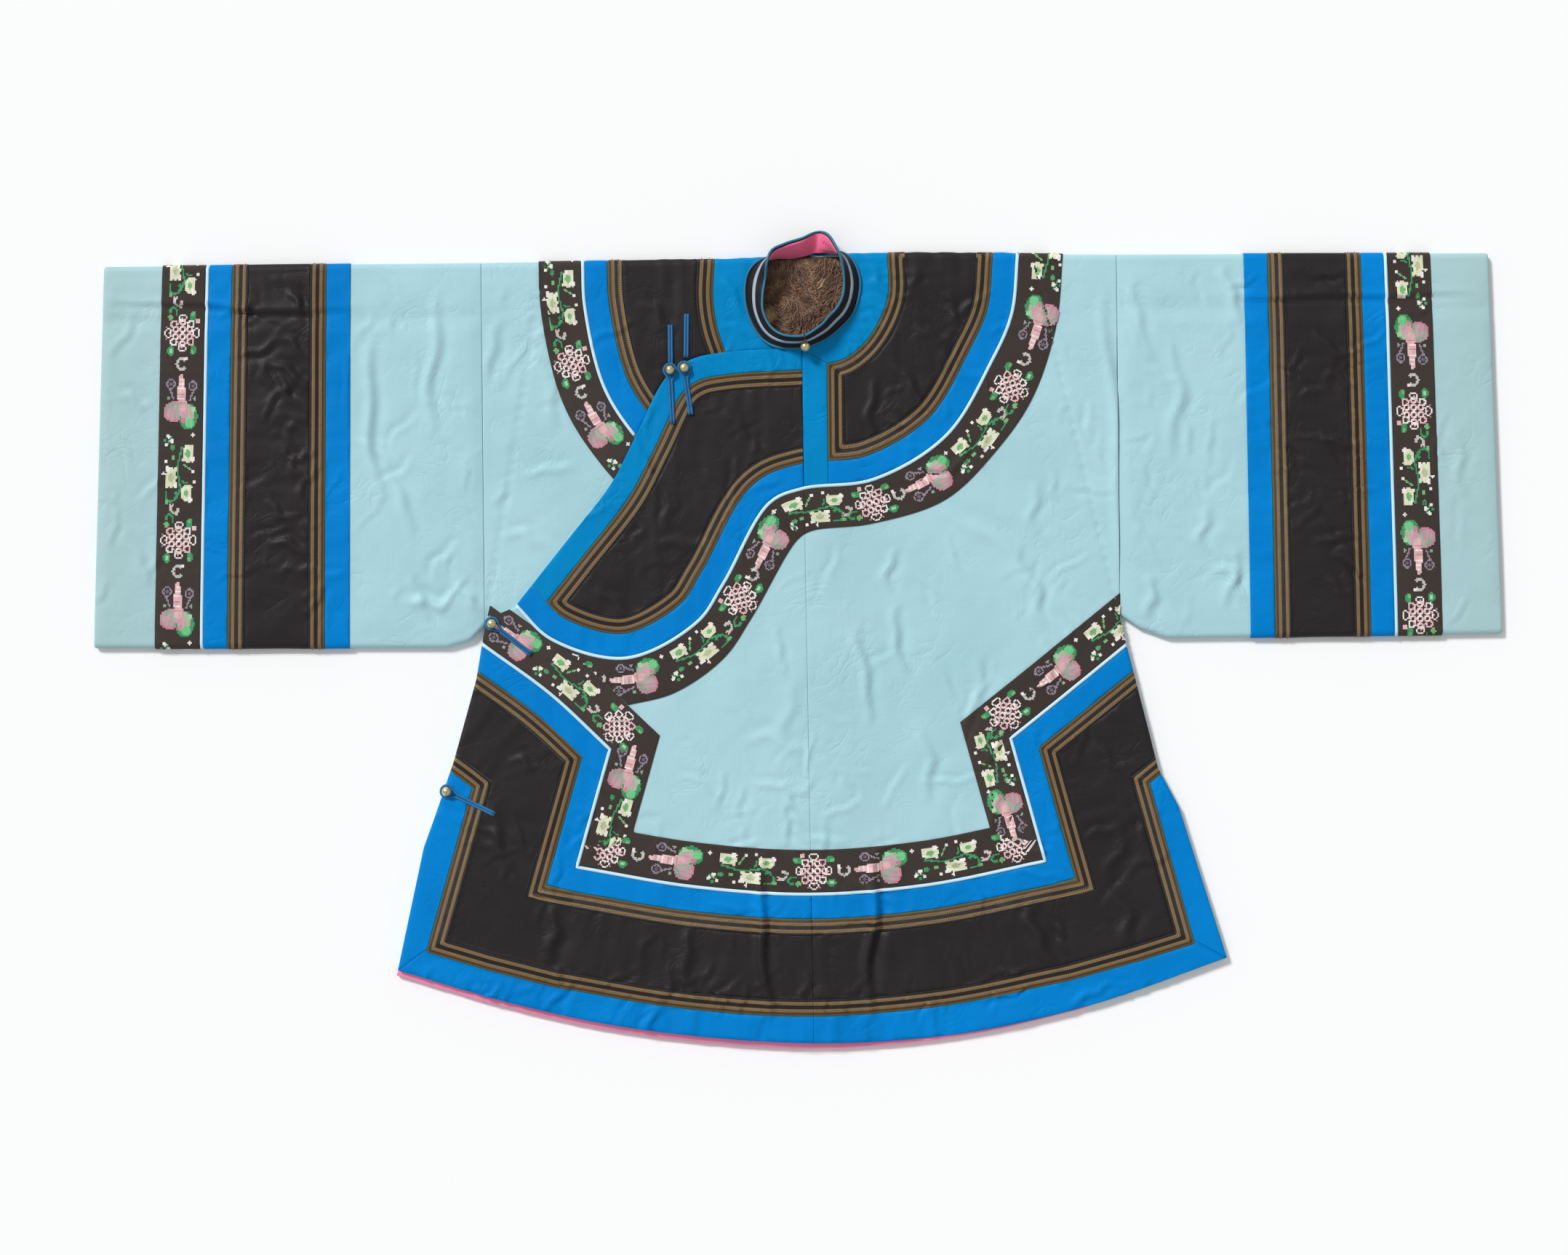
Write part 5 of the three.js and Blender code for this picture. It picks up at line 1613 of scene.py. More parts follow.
@dataclass
class Sleeve:
    """A straight sleeve of silk with the seven bands of its cuff."""

    room: Workroom
    side: str
    gimp: "Gimp"
    surface: SleeveSurface = field(init=False)

    def __post_init__(self) -> None:
        """Sets out the sleeve's surface."""
        shape = SLEEVES[self.side]
        left, right = sorted((shape.sign * shape.seam, shape.sign * shape.bands_bottom))
        small = scattered((left, 40), (right, 380), 24, 15 + shape.sign)
        left, right = sorted((shape.sign * 480, shape.sign * 570))
        small += scattered((left, 30), (right, 380), 22, 18 + shape.sign, 2.6)
        small += scattered((left, 60), (right, 370), 16, 28 + shape.sign, 1.0, 1.1 * shape.sign, 1.7)
        left, right = sorted((shape.sign * 650, shape.sign * 715))
        small += scattered((left, 30), (right, 380), 10, 21 + shape.sign)
        self.surface = SleeveSurface(shape, SLEEVE_CREASES[self.side] + small)

    def strip(self, start: float, end: float) -> Region:
        """The sleeve's plan between two places along it."""
        low, high = -HALF_TURN, 2 * self.surface.flat + HALF_TURN
        return Region.of([(start, low), (end, low), (end, high), (start, high)])

    def upright(self, place: float) -> Guide:
        """A line round the sleeve, walked from the shoulder fold down the front."""
        return Guide(np.array([(place, 2 * self.surface.flat + HALF_TURN), (place, -HALF_TURN)]))

    def build(self) -> None:
        """Lays the silk and the bands."""
        shape, side = self.surface.shape, self.side
        silk = self.strip(0, shape.length)
        covered = Region.of(
            [(shape.mark(BAND_STACK) + 3, -40), (shape.mark(CUFF_SILK) - 3, -40), (shape.mark(CUFF_SILK) - 3, FAR),
             (shape.mark(BAND_STACK) + 3, FAR)]
        )
        self.room.cloth(
            f"{side}_sleeve_cloth", silk, self.surface, Finish.SILK, "silk", [f"{side}_sleeve"], edge=Edge.LAYER,
            step=4, seams=(Guide(np.array([(0.0, -20), (0.0, 800)])),), sunk=covered,
        )
        looks = {
            "ribbon": (Trim.RIBBON, 0.0),
            "outer_blue": (Trim.BLUE, 0.6),
            "outer_braid": (Trim.BRAID, 0.0),
            "black": (Trim.BLACK, 0.6),
            "inner_braid": (Trim.BRAID, 0.0),
            "inner_blue": (Trim.BLUE, 0.6),
        }
        from_cuff = CUFF_SILK
        for name, width in BANDS:
            outer, inner = shape.mark(from_cuff), shape.mark(from_cuff + width)
            if name == "piping":
                self.lay_piping((outer + inner) / 2)
                from_cuff += width
                continue
            trim, pucker = looks[name]
            blue_side = inner if name == "inner_braid" else outer
            self.room.trim(
                f"{side}_sleeve_{name}_cloth", self.strip(inner + GAP / 2, outer - GAP / 2), self.surface, trim,
                [f"{side}_sleeve_{name}"], guide=self.upright(blue_side), strip=width, pucker=pucker,
            )
            if trim is Trim.BRAID:
                across = inner - outer if blue_side == outer else outer - inner
                places = [blue_side + across * share for share in GIMP_SHARES]
                runs = [divided(self.upright(place).line, 4) for place in places]
                self.gimp.lay(f"{side}_sleeve_{name}_gimp", self.surface, runs)
            if name == "ribbon":
                self.lay_figures((outer + inner) / 2, self.strip(inner, outer))
            from_cuff += width

    def lay_figures(self, place: float, zone: Region) -> None:
        """Lays the ribbon's figures, which run down one sleeve's front and up the other's."""
        guide = self.upright(place)
        last = 2 * self.surface.flat + HALF_TURN
        if self.side == "right":
            knots, hand = [last - w for w in (737.3, 526.3, 315.3, 105.6)], 1
        else:
            guide, hand = Guide(guide.line[::-1]), -1
            knots = [w + HALF_TURN for w in (16.5, 223.3, 434.3, 645.3)]
        RibbonFigures(self.room, f"{self.side}_sleeve_figures", guide, self.surface, zone, knots, hand=hand).build()

    def lay_piping(self, place: float) -> None:
        """Lays the round piping beside the ribbon."""
        line = divided(self.upright(place).line, 5)
        points, faces = round_tubes(self.surface, [line], PIPING_LIFT - 0.5, 1.7)
        piece = new_mesh(f"{self.side}_sleeve_piping", points, faces)
        self.room.dress(piece, Finish.PIPING, "piping")


@dataclass
class Yokes:
    """The trims round the neck, on the right front under the overlap and on the front over it."""

    room: Workroom
    pattern: Pattern
    body: BodyCloth
    gimp: "Gimp"

    def seam_zone(self, gap: float) -> Region:
        """What lies above the line where the centre band meets the neck's blue border."""
        low = CENTRE_BAND_TOPS[1] - RIBBON / 2
        seam = [
            (axis_at(SHOULDER), OVERLAP_EDGE[0][1]), (CENTRE_BAND_RIGHT, CENTRE_BAND_TOPS[0]),
            (CENTRE_BAND_LEFT, CENTRE_BAND_TOPS[1]), (CENTRE_BAND_LEFT + RIBBON, low),
        ]
        moved = [(x, y + gap) for x, y in seam]
        return Region.of([*moved, (FAR, low), (FAR, FAR), (axis_at(SHOULDER), FAR)])

    def under_zone(self) -> Region:
        """Where the right front's trims show."""
        lines = self.pattern
        zone = lines.whole() & lines.front_zone() & lines.half(-1)
        return zone - lines.below_overlap(-GAP) - lines.neck(NECK_CUT + 1)

    def over_zone(self) -> Region:
        """Where the trims of the overlap and the left front lie."""
        lines = self.pattern
        overlap = lines.half(-1) & lines.below_overlap(0)
        zone = lines.whole() & lines.front_zone() & (overlap | lines.half(1))
        return zone - lines.neck(NECK_CUT + 1)

    def build(self) -> None:
        """Lays both sides."""
        self.build_right()
        self.build_left()

    def build_right(self) -> None:
        """Lays the right shoulder's trims."""
        lines, zone, under = self.pattern, self.under_zone(), self.body.under
        yoke = Guide(lines.right_yoke)
        neck_line = run_on(curve_through(NECK_LINE_RIGHT, 5), RUN_ON)

        def within_neck(distance: float) -> Region:
            return Region.of([*beside(neck_line, distance), (FAR, -FAR), (FAR, FAR)])

        def lay(name: str, plan: Region, trim: Trim, **more: object) -> None:
            self.room.trim(f"right_yoke_{name}_cloth", zone & plan, under, trim, [f"right_yoke_{name}"], **more)

        band, within = lines.band, lines.within_right_yoke
        lay("ribbon", band(within, -RIBBON, 0), Trim.RIBBON, guide=yoke, strip=RIBBON)
        lay("blue", band(within, PIPING, BLUE_TO), Trim.BLUE, pucker=0.5)
        lay("braid", band(within, BLUE_TO, YOKE_BRAID_TO), Trim.BRAID, guide=yoke, from_line=-BLUE_TO)
        outside = within_neck(FRAME_BRAID + GAP / 2)
        lay("black", within(YOKE_BRAID_TO + GAP / 2) - outside, Trim.BLACK, pucker=0.6)
        braid = within_neck(FRAME_BRAID - GAP / 2) - within_neck(GAP / 2)
        lay("neck_braid", braid, Trim.BRAID, guide=Guide(neck_line))
        lay("neck_blue", within_neck(-GAP / 2), Trim.CYAN, pucker=0.4)
        runs = [
            run
            for share in GIMP_SHARES
            for line in (
                beside(lines.right_yoke, -BLUE_TO - share * (YOKE_BRAID_TO - BLUE_TO)),
                beside(neck_line, share * FRAME_BRAID),
            )
            for run in runs_within(divided(line, 3), zone)
        ]
        self.gimp.lay("right_yoke_gimp", under, runs)
        middle = Guide(beside(lines.right_yoke, RIBBON / 2))
        knots = middle.locate(np.array([(-231.5, 287.2)]))[0]
        ribbon = zone & band(within, -RIBBON, 0)
        RibbonFigures(self.room, "right_yoke_figures", middle, under, ribbon, knots).build()
        line = beside(lines.right_yoke, -PIPING / 2)
        self.lay_piping("right_yoke_piping_cord", line, zone, under, ["right_yoke_piping"])

    def lay_piping(self, name: str, line: Points, zone: Region, surface: BodySurface, nodes: Sequence[str]) -> None:
        """Lays a round piping along a line where a zone holds it."""
        runs = runs_within(divided(line, 4), zone)
        points, faces = round_tubes(surface, runs, PIPING_LIFT, 1.75)
        self.room.dress(new_mesh(name, points, faces), Finish.PIPING, "piping", nodes)

    def build_left(self) -> None:
        """Lays the trims of the overlap and the left shoulder."""
        lines, zone, front = self.pattern, self.over_zone(), self.body.front
        yoke, within, band = Guide(lines.yoke), lines.within_yoke, lines.band
        neck_line = run_on(curve_through(NECK_LINE_LEFT, 5), RUN_ON)

        def within_neck(distance: float) -> Region:
            line = beside(neck_line, -distance)
            return Region.of([*line, (-FAR, line[-1][1]), (-FAR, FAR)])

        def lay(name: str, plan: Region, trim: Trim, **more: object) -> None:
            self.room.trim(f"{name}_cloth", zone & plan, front, trim, [name], **more)

        ribbon = (lines.yoke_ribbon_inside() - within(-GAP / 2)) & lines.left_of(YOKE_RIBBON_END)
        ribbon = ribbon - lines.outside_frame(-RIBBON - GAP / 2)
        lay("yoke_ribbon", ribbon, Trim.RIBBON, guide=yoke, strip=RIBBON)
        walked = Guide(beside(lines.yoke, -RIBBON / 2)[::-1])
        knots, sides = walked.locate(np.array([(-59.9, 43.9), (78.3, 141.5), (224.3, 257.8)]))
        RibbonFigures(self.room, "yoke_figures", walked, front, zone & ribbon, knots, sides=0.7 * sides).build()
        overlap_side = lines.left_of(CENTRE_BAND_RIGHT - GAP / 2)
        blue_line = band(within, PIPING, BLUE_TO)
        left_blue = blue_line & lines.left_of(CENTRE_BAND_LEFT + GAP / 2)
        lay("left_yoke_blue", left_blue, Trim.BLUE, pucker=0.5)
        lay("overlap_blue", blue_line - overlap_side, Trim.BLUE, pucker=0.5)
        lay("left_neck_blue", within_neck(-GAP / 2) & self.seam_zone(GAP / 2), Trim.CYAN, pucker=0.4)
        centre = lines.left_of(CENTRE_BAND_RIGHT + GAP / 2) - lines.left_of(CENTRE_BAND_LEFT - GAP / 2)
        centre = (centre & within(PIPING + GAP / 2)) - self.seam_zone(-GAP / 2)
        lay("centre_band", centre, Trim.CYAN, pucker=0.4)

        def overlap_field(edge: float, line: float) -> Region:
            return (lines.below_overlap(edge) & within(line)) - overlap_side

        edge_blue = within(BLUE_TO + GAP / 2) - overlap_side - lines.below_overlap(EDGE_BLUE - GAP / 2)
        lay("overlap_edge_blue", edge_blue - self.seam_zone(-GAP / 2), Trim.CYAN, pucker=0.4)
        braid = overlap_field(EDGE_BLUE + GAP / 2, BLUE_TO + GAP / 2)
        braid = braid - overlap_field(EDGE_BRAID_TO - GAP / 2, BRAID_TO - GAP / 2)
        past_band = Region.of([(-FAR, -FAR), (70, -FAR), (70, FAR), (-FAR, FAR)])
        before_band = Region.of([(-FAR, -FAR), (CENTRE_BAND_RIGHT, -FAR), (CENTRE_BAND_RIGHT, FAR), (-FAR, FAR)])

        def long_field(edge: float, line: float) -> Region:
            return lines.below_overlap(edge) & within(line) & past_band

        ring = self.ring_guide(long_field(EDGE_BLUE + GAP / 2, BLUE_TO + GAP / 2))
        lay("overlap_braid", braid, Trim.BRAID, guide=ring)
        runs = []
        for share in GIMP_SHARES:
            inset = share * (EDGE_BRAID_TO - EDGE_BLUE)
            runs.extend(runs_within(outline_of(long_field(EDGE_BLUE + inset, BLUE_TO + inset)), before_band))
        self.gimp.lay("overlap_gimp", front, runs)
        black = overlap_field(EDGE_BRAID_TO + GAP / 2, BRAID_TO + GAP / 2)
        lay("overlap_black", black, Trim.BLACK, pucker=0.6)

        def yoke_field(inset: float, line: float) -> Region:
            return (within(line) & lines.left_of(CENTRE_BAND_LEFT + inset)) - within_neck(inset)

        braid = yoke_field(GAP / 2, BLUE_TO + GAP / 2)
        ring = self.ring_guide(braid & zone)
        braid = braid - yoke_field(FRAME_BRAID - GAP / 2, BRAID_TO - GAP / 2)
        lay("left_yoke_braid", braid, Trim.BRAID, guide=ring)
        runs = []
        below_fold = lines.front_zone() - Region.of([(-FAR, 389), (FAR, 389), (FAR, FAR), (-FAR, FAR)])
        for share in GIMP_SHARES:
            inset = share * FRAME_BRAID
            ring = outline_of(zone & yoke_field(inset, BLUE_TO + inset))
            runs.extend(runs_within(ring, below_fold))
        self.gimp.lay("left_yoke_gimp", front, runs)
        black = yoke_field(FRAME_BRAID + GAP / 2, BRAID_TO + GAP / 2)
        lay("left_yoke_black", black, Trim.BLACK, pucker=0.6)
        self.lay_piping("yoke_piping_cord", beside(lines.yoke, PIPING / 2), zone, front, ["yoke_piping"])

    @staticmethod
    def ring_guide(region: Region) -> Guide:
        """The outline of a field, for the braid that runs round inside it."""
        return Guide(outline_of(region))


def frame_gimp(lines: Pattern, zone: Region) -> list[Points]:
    """The lines of gimp on the two braids of the skirt's frame, where a zone holds them."""
    runs = []
    for share in GIMP_SHARES:
        inner = BLUE_TO + share * (BRAID_TO - BLUE_TO)
        outer = OUTER_BRAID_TO - share * (OUTER_BRAID_TO - BLACK_TO)
        for distance in (inner, outer):
            runs.extend(runs_within(divided(lines.frame_line(distance), 3), zone))
    return runs


SKIRT_KNOTS = ((-182.8, -84.6), (-199.1, -215.7), (13.7, -236.6), (221.7, -217.8), (209.6, -73.6))


@dataclass
class Skirt:
    """The bands that frame the front's skirt, out to its blue edges, and the hem's lining."""

    room: Workroom
    pattern: Pattern
    body: BodyCloth
    zone: Region
    gimp: "Gimp"

    def build(self) -> None:
        """Lays the bands from the ribbon outwards."""
        lines = self.pattern
        frame, outside, band = lines.frame_guide(), lines.outside_frame, lines.band

        def lay(name: str, plan: Region, trim: Trim, **more: object) -> None:
            self.room.trim(f"skirt_{name}_cloth", self.zone & plan, self.body.front, trim, [f"skirt_{name}"], **more)

        ribbon = band(outside, -RIBBON, 0) - lines.within_yoke(-GAP / 2)
        lay("ribbon", ribbon, Trim.RIBBON, guide=frame, strip=RIBBON)
        middle = lines.frame_guide(-RIBBON / 2)
        knots = middle.locate(np.array(SKIRT_KNOTS))[0]
        RibbonFigures(
            self.room, "skirt_figures", middle, self.body.front, self.zone & ribbon, knots, rigid=(0, 4)
        ).build()
        self.gimp.lay("skirt_gimp", self.body.front, frame_gimp(lines, self.zone))
        lay("blue", band(outside, PIPING, BLUE_TO), Trim.BLUE, pucker=0.6)
        lay("braid", band(outside, BLUE_TO, BRAID_TO), Trim.BRAID, guide=frame, from_line=BLUE_TO)
        lay("black", band(outside, BRAID_TO, BLACK_TO), Trim.BLACK, guide=frame, pucker=0.75)
        lay(
            "outer_braid", band(outside, BLACK_TO, OUTER_BRAID_TO), Trim.BRAID,
            guide=Guide(run_on(lines.frame_line(OUTER_BRAID_TO), RUN_ON)),
        )
        outer = outside(OUTER_BRAID_TO + GAP / 2)
        right, left = HEM_CORNERS
        lay("right_edge", outer & self.beside_mitre(right, GAP / 2), Trim.BLUE, guide=frame, pucker=1.0)
        lay("left_edge", outer & self.beside_mitre(left, GAP / 2), Trim.BLUE, guide=frame, pucker=1.0)
        sides = self.beside_mitre(right, -GAP / 2) | self.beside_mitre(left, -GAP / 2)
        lay("hem_edge", outer - sides, Trim.BLUE, guide=frame, pucker=1.1)
        self.lay_piping()
        self.lay_lining()

    @staticmethod
    def beside_mitre(corner: tuple[tuple[float, float], tuple[float, float]], gap: float) -> Region:
        """The side of a hem corner's mitre where the side edge lies."""
        (x, y), (inner_x, inner_y) = corner
        way = math.copysign(1, x)
        slope = (inner_y - y) / (inner_x - x)

        def line_at(at: float) -> tuple[float, float]:
            return (at, y + slope * (at - x) + gap)

        near, far = inner_x - way * BLACK_TO, x + way * BLACK_TO
        return Region.of([line_at(near), line_at(far), (far, 0), (near, 0)])

    def lay_piping(self) -> None:
        """Lays the piping along the frame."""
        line = divided(self.pattern.frame_guide(PIPING / 2).line, 4)
        points, faces = round_tubes(self.body.front, runs_within(line, self.zone), PIPING_LIFT, 1.75)
        piece = new_mesh("skirt_piping_cord", points, faces)
        self.room.dress(piece, Finish.PIPING, "piping", ["skirt_piping"])

    def lay_lining(self) -> None:
        """Lays the pink lining that shows below the hem."""
        hem = divided(curve_through(HEM, 9), 5)
        hem = hem[hem[:, 0] < 300]
        rows = []
        share = np.clip((300 - hem[:, 0]) / 300, 0.15, 1)
        for inset, z in ((-10, 5.2), (0.5, 7.0), (5.0, 6.8), (6.2, 5.8), (6.5, 3.0), (5.0, 0.5), (-4, 0.3)):
            width = np.where(inset > 0, inset * share, inset)
            moved = hem + normals(hem) * width[:, None] if inset else hem
            wave = 0.35 * mottle(hem[:, 0], hem[:, 1], 11, 31)
            rows.append(np.column_stack([moved + wave[:, None] * normals(hem), np.full(len(hem), z)]))
        points = np.vstack(rows)
        count = len(hem)
        faces = [
            (r * count + k, (r + 1) * count + k, (r + 1) * count + k + 1, r * count + k + 1)
            for r in range(len(rows) - 1)
            for k in range(count - 1)
        ]
        piece = new_mesh("hem_lining_cloth", points, faces)
        # Its pink is brightened with painted light, against the hem's shade.
        self.room.dress(piece, Finish.HEM_PINK_PAINTED_LIGHT, "pink", ["hem_lining"])


BACK_YOKE = (
    (232, 396), (225, 333), (203, 283), (156, 208), (80, 163), (6, 150), (-68, 163), (-144, 208), (-191, 283),
    (-213, 333), (-220, 393),
)
BACK_NECK = ((96, 397), (88, 360), (60, 330), (7, 318), (-46, 330), (-74, 360), (-82, 393))


@dataclass
class BackTrims:
    """The same trims on the back: a ring round the yoke, the neck's border and the skirt's frame."""

    room: Workroom
    pattern: Pattern
    gimp: "Gimp"
    surface: BackSurface = field(default_factory=BackSurface)
    zone: Region = field(init=False)

    def __post_init__(self) -> None:
        """Finds where the back lies flat."""
        shoulder = [(x, y - FOLD_RADIUS - 0.4) for x, y in reversed(SHOULDER_LINE)]
        flat = Region.of([(-FAR, -FAR), (FAR, -FAR), (FAR, shoulder[0][1]), *shoulder, (-FAR, shoulder[-1][1])])
        self.zone = self.pattern.drawn_in(1.2) & flat

    def lay(self, name: str, plan: Region, trim: Trim, **more: object) -> None:
        """Lays one trim."""
        self.room.trim(f"back_{name}_cloth", self.zone & plan, self.surface, trim, step=8, **more)

    def lay_piping(self, name: str, line: Points) -> None:
        """Lays a round piping along a line."""
        points, faces = round_tubes(self.surface, runs_within(divided(line, 5), self.zone), 1.0, 1.3)
        self.room.dress(new_mesh(f"back_{name}_piping_cord", points, faces), Finish.PIPING, "piping")

    def figures(self, name: str, guide: Guide, plan: Region, knots: Sequence[float], **more: object) -> None:
        """Lays a ribbon's figures."""
        RibbonFigures(self.room, f"back_{name}_figures", guide, self.surface, self.zone & plan, knots, **more).build()

    def build(self) -> None:
        """Lays the yoke's trims and the skirt's."""
        self.build_yoke()
        self.build_skirt()

    def build_yoke(self) -> None:
        """Lays the ring round the yoke and the neck's border."""
        line = run_on(curve_through(BACK_YOKE, 6), RUN_ON)
        neck = run_on(curve_through(BACK_NECK, 6), RUN_ON)

        def above(edge: Points) -> Region:
            return Region.of([*edge, (edge[-1][0], FAR), (edge[0][0], FAR)])

        def within(distance: float) -> Region:
            return above(beside(line, distance))

        def within_neck(distance: float) -> Region:
            return above(beside(neck, -distance))

        band, guide = self.pattern.band, Guide(line)
        ribbon = band(within, -RIBBON, 0)
        self.lay("yoke_ribbon", ribbon, Trim.RIBBON, guide=guide, strip=RIBBON)
        middle = Guide(beside(line, -RIBBON / 2))
        half = middle.marks[-1] / 2
        self.figures("yoke", middle, ribbon, [half - REPEAT, half, half + REPEAT])
        self.lay_piping("yoke", beside(line, PIPING / 2))
        self.lay("yoke_blue", band(within, PIPING, BLUE_TO), Trim.BLUE)
        self.lay(
            "yoke_braid", band(within, BLUE_TO, YOKE_BRAID_TO), Trim.BRAID,
            guide=guide, from_line=BLUE_TO,
        )
        black = within(YOKE_BRAID_TO + GAP / 2) - within_neck(FRAME_BRAID + GAP / 2)
        self.lay("yoke_black", black, Trim.BLACK)
        braid = within_neck(FRAME_BRAID - GAP / 2) - within_neck(GAP / 2)
        self.lay("neck_braid", braid, Trim.BRAID, guide=Guide(neck))
        self.lay("neck_blue", within_neck(-GAP / 2), Trim.CYAN)
        runs = [
            run
            for share in GIMP_SHARES
            for moved in (beside(line, BLUE_TO + share * (YOKE_BRAID_TO - BLUE_TO)), beside(neck, -share * FRAME_BRAID))
            for run in runs_within(divided(moved, 3), self.zone)
        ]
        self.gimp.lay("back_yoke_gimp", self.surface, runs)

    def build_skirt(self) -> None:
        """Lays the skirt's frame."""
        lines, outside, band = self.pattern, self.pattern.outside_frame, self.pattern.band
        frame, ribbon = lines.frame_guide(), band(outside, -RIBBON, 0)
        self.lay("skirt_ribbon", ribbon, Trim.RIBBON, guide=frame, strip=RIBBON)
        middle = lines.frame_guide(-RIBBON / 2)
        self.figures("skirt", middle, ribbon, middle.locate(np.array(SKIRT_KNOTS))[0], rigid=(0, 4))
        self.lay_piping("skirt", lines.frame_guide(PIPING / 2).line)
        self.lay("skirt_blue", band(outside, PIPING, BLUE_TO), Trim.BLUE)
        self.lay(
            "skirt_braid", band(outside, BLUE_TO, BRAID_TO), Trim.BRAID, guide=frame, from_line=BLUE_TO
        )
        self.lay("skirt_black", band(outside, BRAID_TO, BLACK_TO), Trim.BLACK)
        self.lay(
            "skirt_outer_braid", band(outside, BLACK_TO, OUTER_BRAID_TO), Trim.BRAID,
            guide=Guide(run_on(lines.frame_line(OUTER_BRAID_TO), RUN_ON)),
        )
        outer = outside(OUTER_BRAID_TO + GAP / 2)
        right, left = (Skirt.beside_mitre(corner, GAP / 2) for corner in HEM_CORNERS)
        self.lay("right_edge", outer & right, Trim.BLUE)
        self.lay("left_edge", outer & left, Trim.BLUE)
        sides = Skirt.beside_mitre(HEM_CORNERS[0], -GAP / 2) | Skirt.beside_mitre(HEM_CORNERS[1], -GAP / 2)
        self.lay("hem_edge", outer - sides, Trim.BLUE)
        self.gimp.lay("back_skirt_gimp", self.surface, frame_gimp(lines, self.zone))


# Woven figures and laid gimp


@dataclass(frozen=True)
class Disc:
    """A filled oval of a figure."""

    s: float
    t: float
    long: float
    wide: float
    silk: str

    def covers(self, s: Points, t: Points) -> Points:
        """Whether each place is in the oval."""
        return ((s - self.s) / self.long) ** 2 + ((t - self.t) / self.wide) ** 2 < 1


@dataclass(frozen=True)
class Ring:
    """An oval line of a figure, open on one side where a turn is given."""

    s: float
    t: float
    long: float
    wide: float
    silk: str
    thick: float = 1.5
    open_at: float | None = None
    open_by: float = 0.9

    def covers(self, s: Points, t: Points) -> Points:
        """Whether each place is on the line."""
        a, b = s - self.s, t - self.t
        outer = (a / self.long) ** 2 + (b / self.wide) ** 2 < 1
        inner = (a / (self.long - self.thick)) ** 2 + (b / (self.wide - self.thick)) ** 2 < 1
        found = outer & ~inner
        if self.open_at is not None:
            off = (np.arctan2(b, a) - self.open_at + math.pi) % (2 * math.pi) - math.pi
            found &= np.abs(off) > self.open_by
        return found


@dataclass(frozen=True)
class Stroke:
    """A straight line of a figure."""

    start: tuple[float, float]
    end: tuple[float, float]
    silk: str
    thick: float = 1.5

    def covers(self, s: Points, t: Points) -> Points:
        """Whether each place is on the line."""
        way = np.array(self.end, float) - np.array(self.start, float)
        a, b = s - self.start[0], t - self.start[1]
        share = np.clip((a * way[0] + b * way[1]) / (way @ way), 0, 1)
        return np.hypot(a - share * way[0], b - share * way[1]) < self.thick / 2 + 0.2


@dataclass(frozen=True)
class Lattice:
    """The crossed lines of an endless knot, within a diamond."""

    reach: float
    pitch: float
    silk: str
    crossing: str | None = None

    def covers(self, s: Points, t: Points) -> Points:
        """Whether each place is on a line that slants the figure's way."""
        held = np.abs(s) + np.abs(t) * 1.12 < self.reach
        slant = (s + t) if self.crossing is None else (s - t)
        return held & (np.abs((slant + self.pitch * 100.5) % self.pitch - self.pitch / 2) < 1.35)


WHITE, ROSE, GREEN, LEAF, GREY, CREAM, MAUVE, STONE, BLUSH, PALE_GREEN = (
    "ece5e0", "c67c92", "2f8f57", "6fae6f", "bdbbb4", "d9dbbd", "8b7d8d", "8f9d8f", "e2b4b6", "9fceA0",
)


@dataclass(frozen=True)
class Figure:
    """One woven figure: where its middle lies after the knot's, its reach, and its shapes."""

    at: float
    reach: float
    shapes: tuple[Disc | Ring | Stroke | Lattice, ...]
    shrinks_out: bool = False

    def cells(self, size: float) -> tuple[Points, list[str]]:
        """The cells that its silks cover.

        Args:
            size: a cell's side.

        Returns:
            Places from the figure's middle, and the silk of each.
        """
        s, t = np.meshgrid(np.arange(-self.reach, self.reach + size, size), np.arange(-20, 20 + size / 2, size))
        s, t = s.ravel(), t.ravel()
        silks = np.full(len(s), "", dtype=object)
        for shape in self.shapes:
            silks[shape.covers(s, t)] = shape.silk
        held = silks != ""
        return np.column_stack([s[held], t[held]]), list(silks[held])


KNOT = Figure(
    0, 30,
    (
        Ring(-21, -10, 6.4, 4.6, GREEN, 2.2, -0.4, 1.0), Disc(-16, -13, 3, 2.6, LEAF), Disc(-17, 11, 5.4, 3.4, GREEN),
        Disc(-19, 11, 2.2, 1.6, LEAF), Disc(18, -12, 5.2, 3.8, GREEN), Disc(18, -12, 2.4, 1.8, PALE_GREEN),
        Disc(17, 12, 5.0, 3.4, GREEN), Disc(19, 11, 2.2, 1.6, LEAF), Disc(-12, 16, 2.6, 2.6, BLUSH),
        Ring(0, -15, 4.8, 4, WHITE), Ring(0, 15, 4.8, 4, WHITE), Ring(-15.5, 0, 3.8, 4.6, WHITE),
        Ring(15.5, 0, 3.8, 4.6, WHITE), Ring(-9, -9, 4, 4, BLUSH), Ring(9, -9, 4, 4, WHITE), Ring(-9, 9, 4, 4, WHITE),
        Ring(9, 9, 4, 4, BLUSH), Lattice(16, 7.2, WHITE), Lattice(16, 7.2, BLUSH, "back"), Disc(0, 0, 1.6, 1.6, WHITE),
        Disc(6, -17, 1.5, 1.5, ROSE), Disc(-6, -17, 1.5, 1.5, ROSE),
    ),
)
CRESCENT = Figure(31.5, 9, (Ring(0, 0, 6.8, 6.6, GREY, 3.0, 1.57, 0.75), Disc(-5, 4.2, 1.9, 1.9, WHITE)), True)
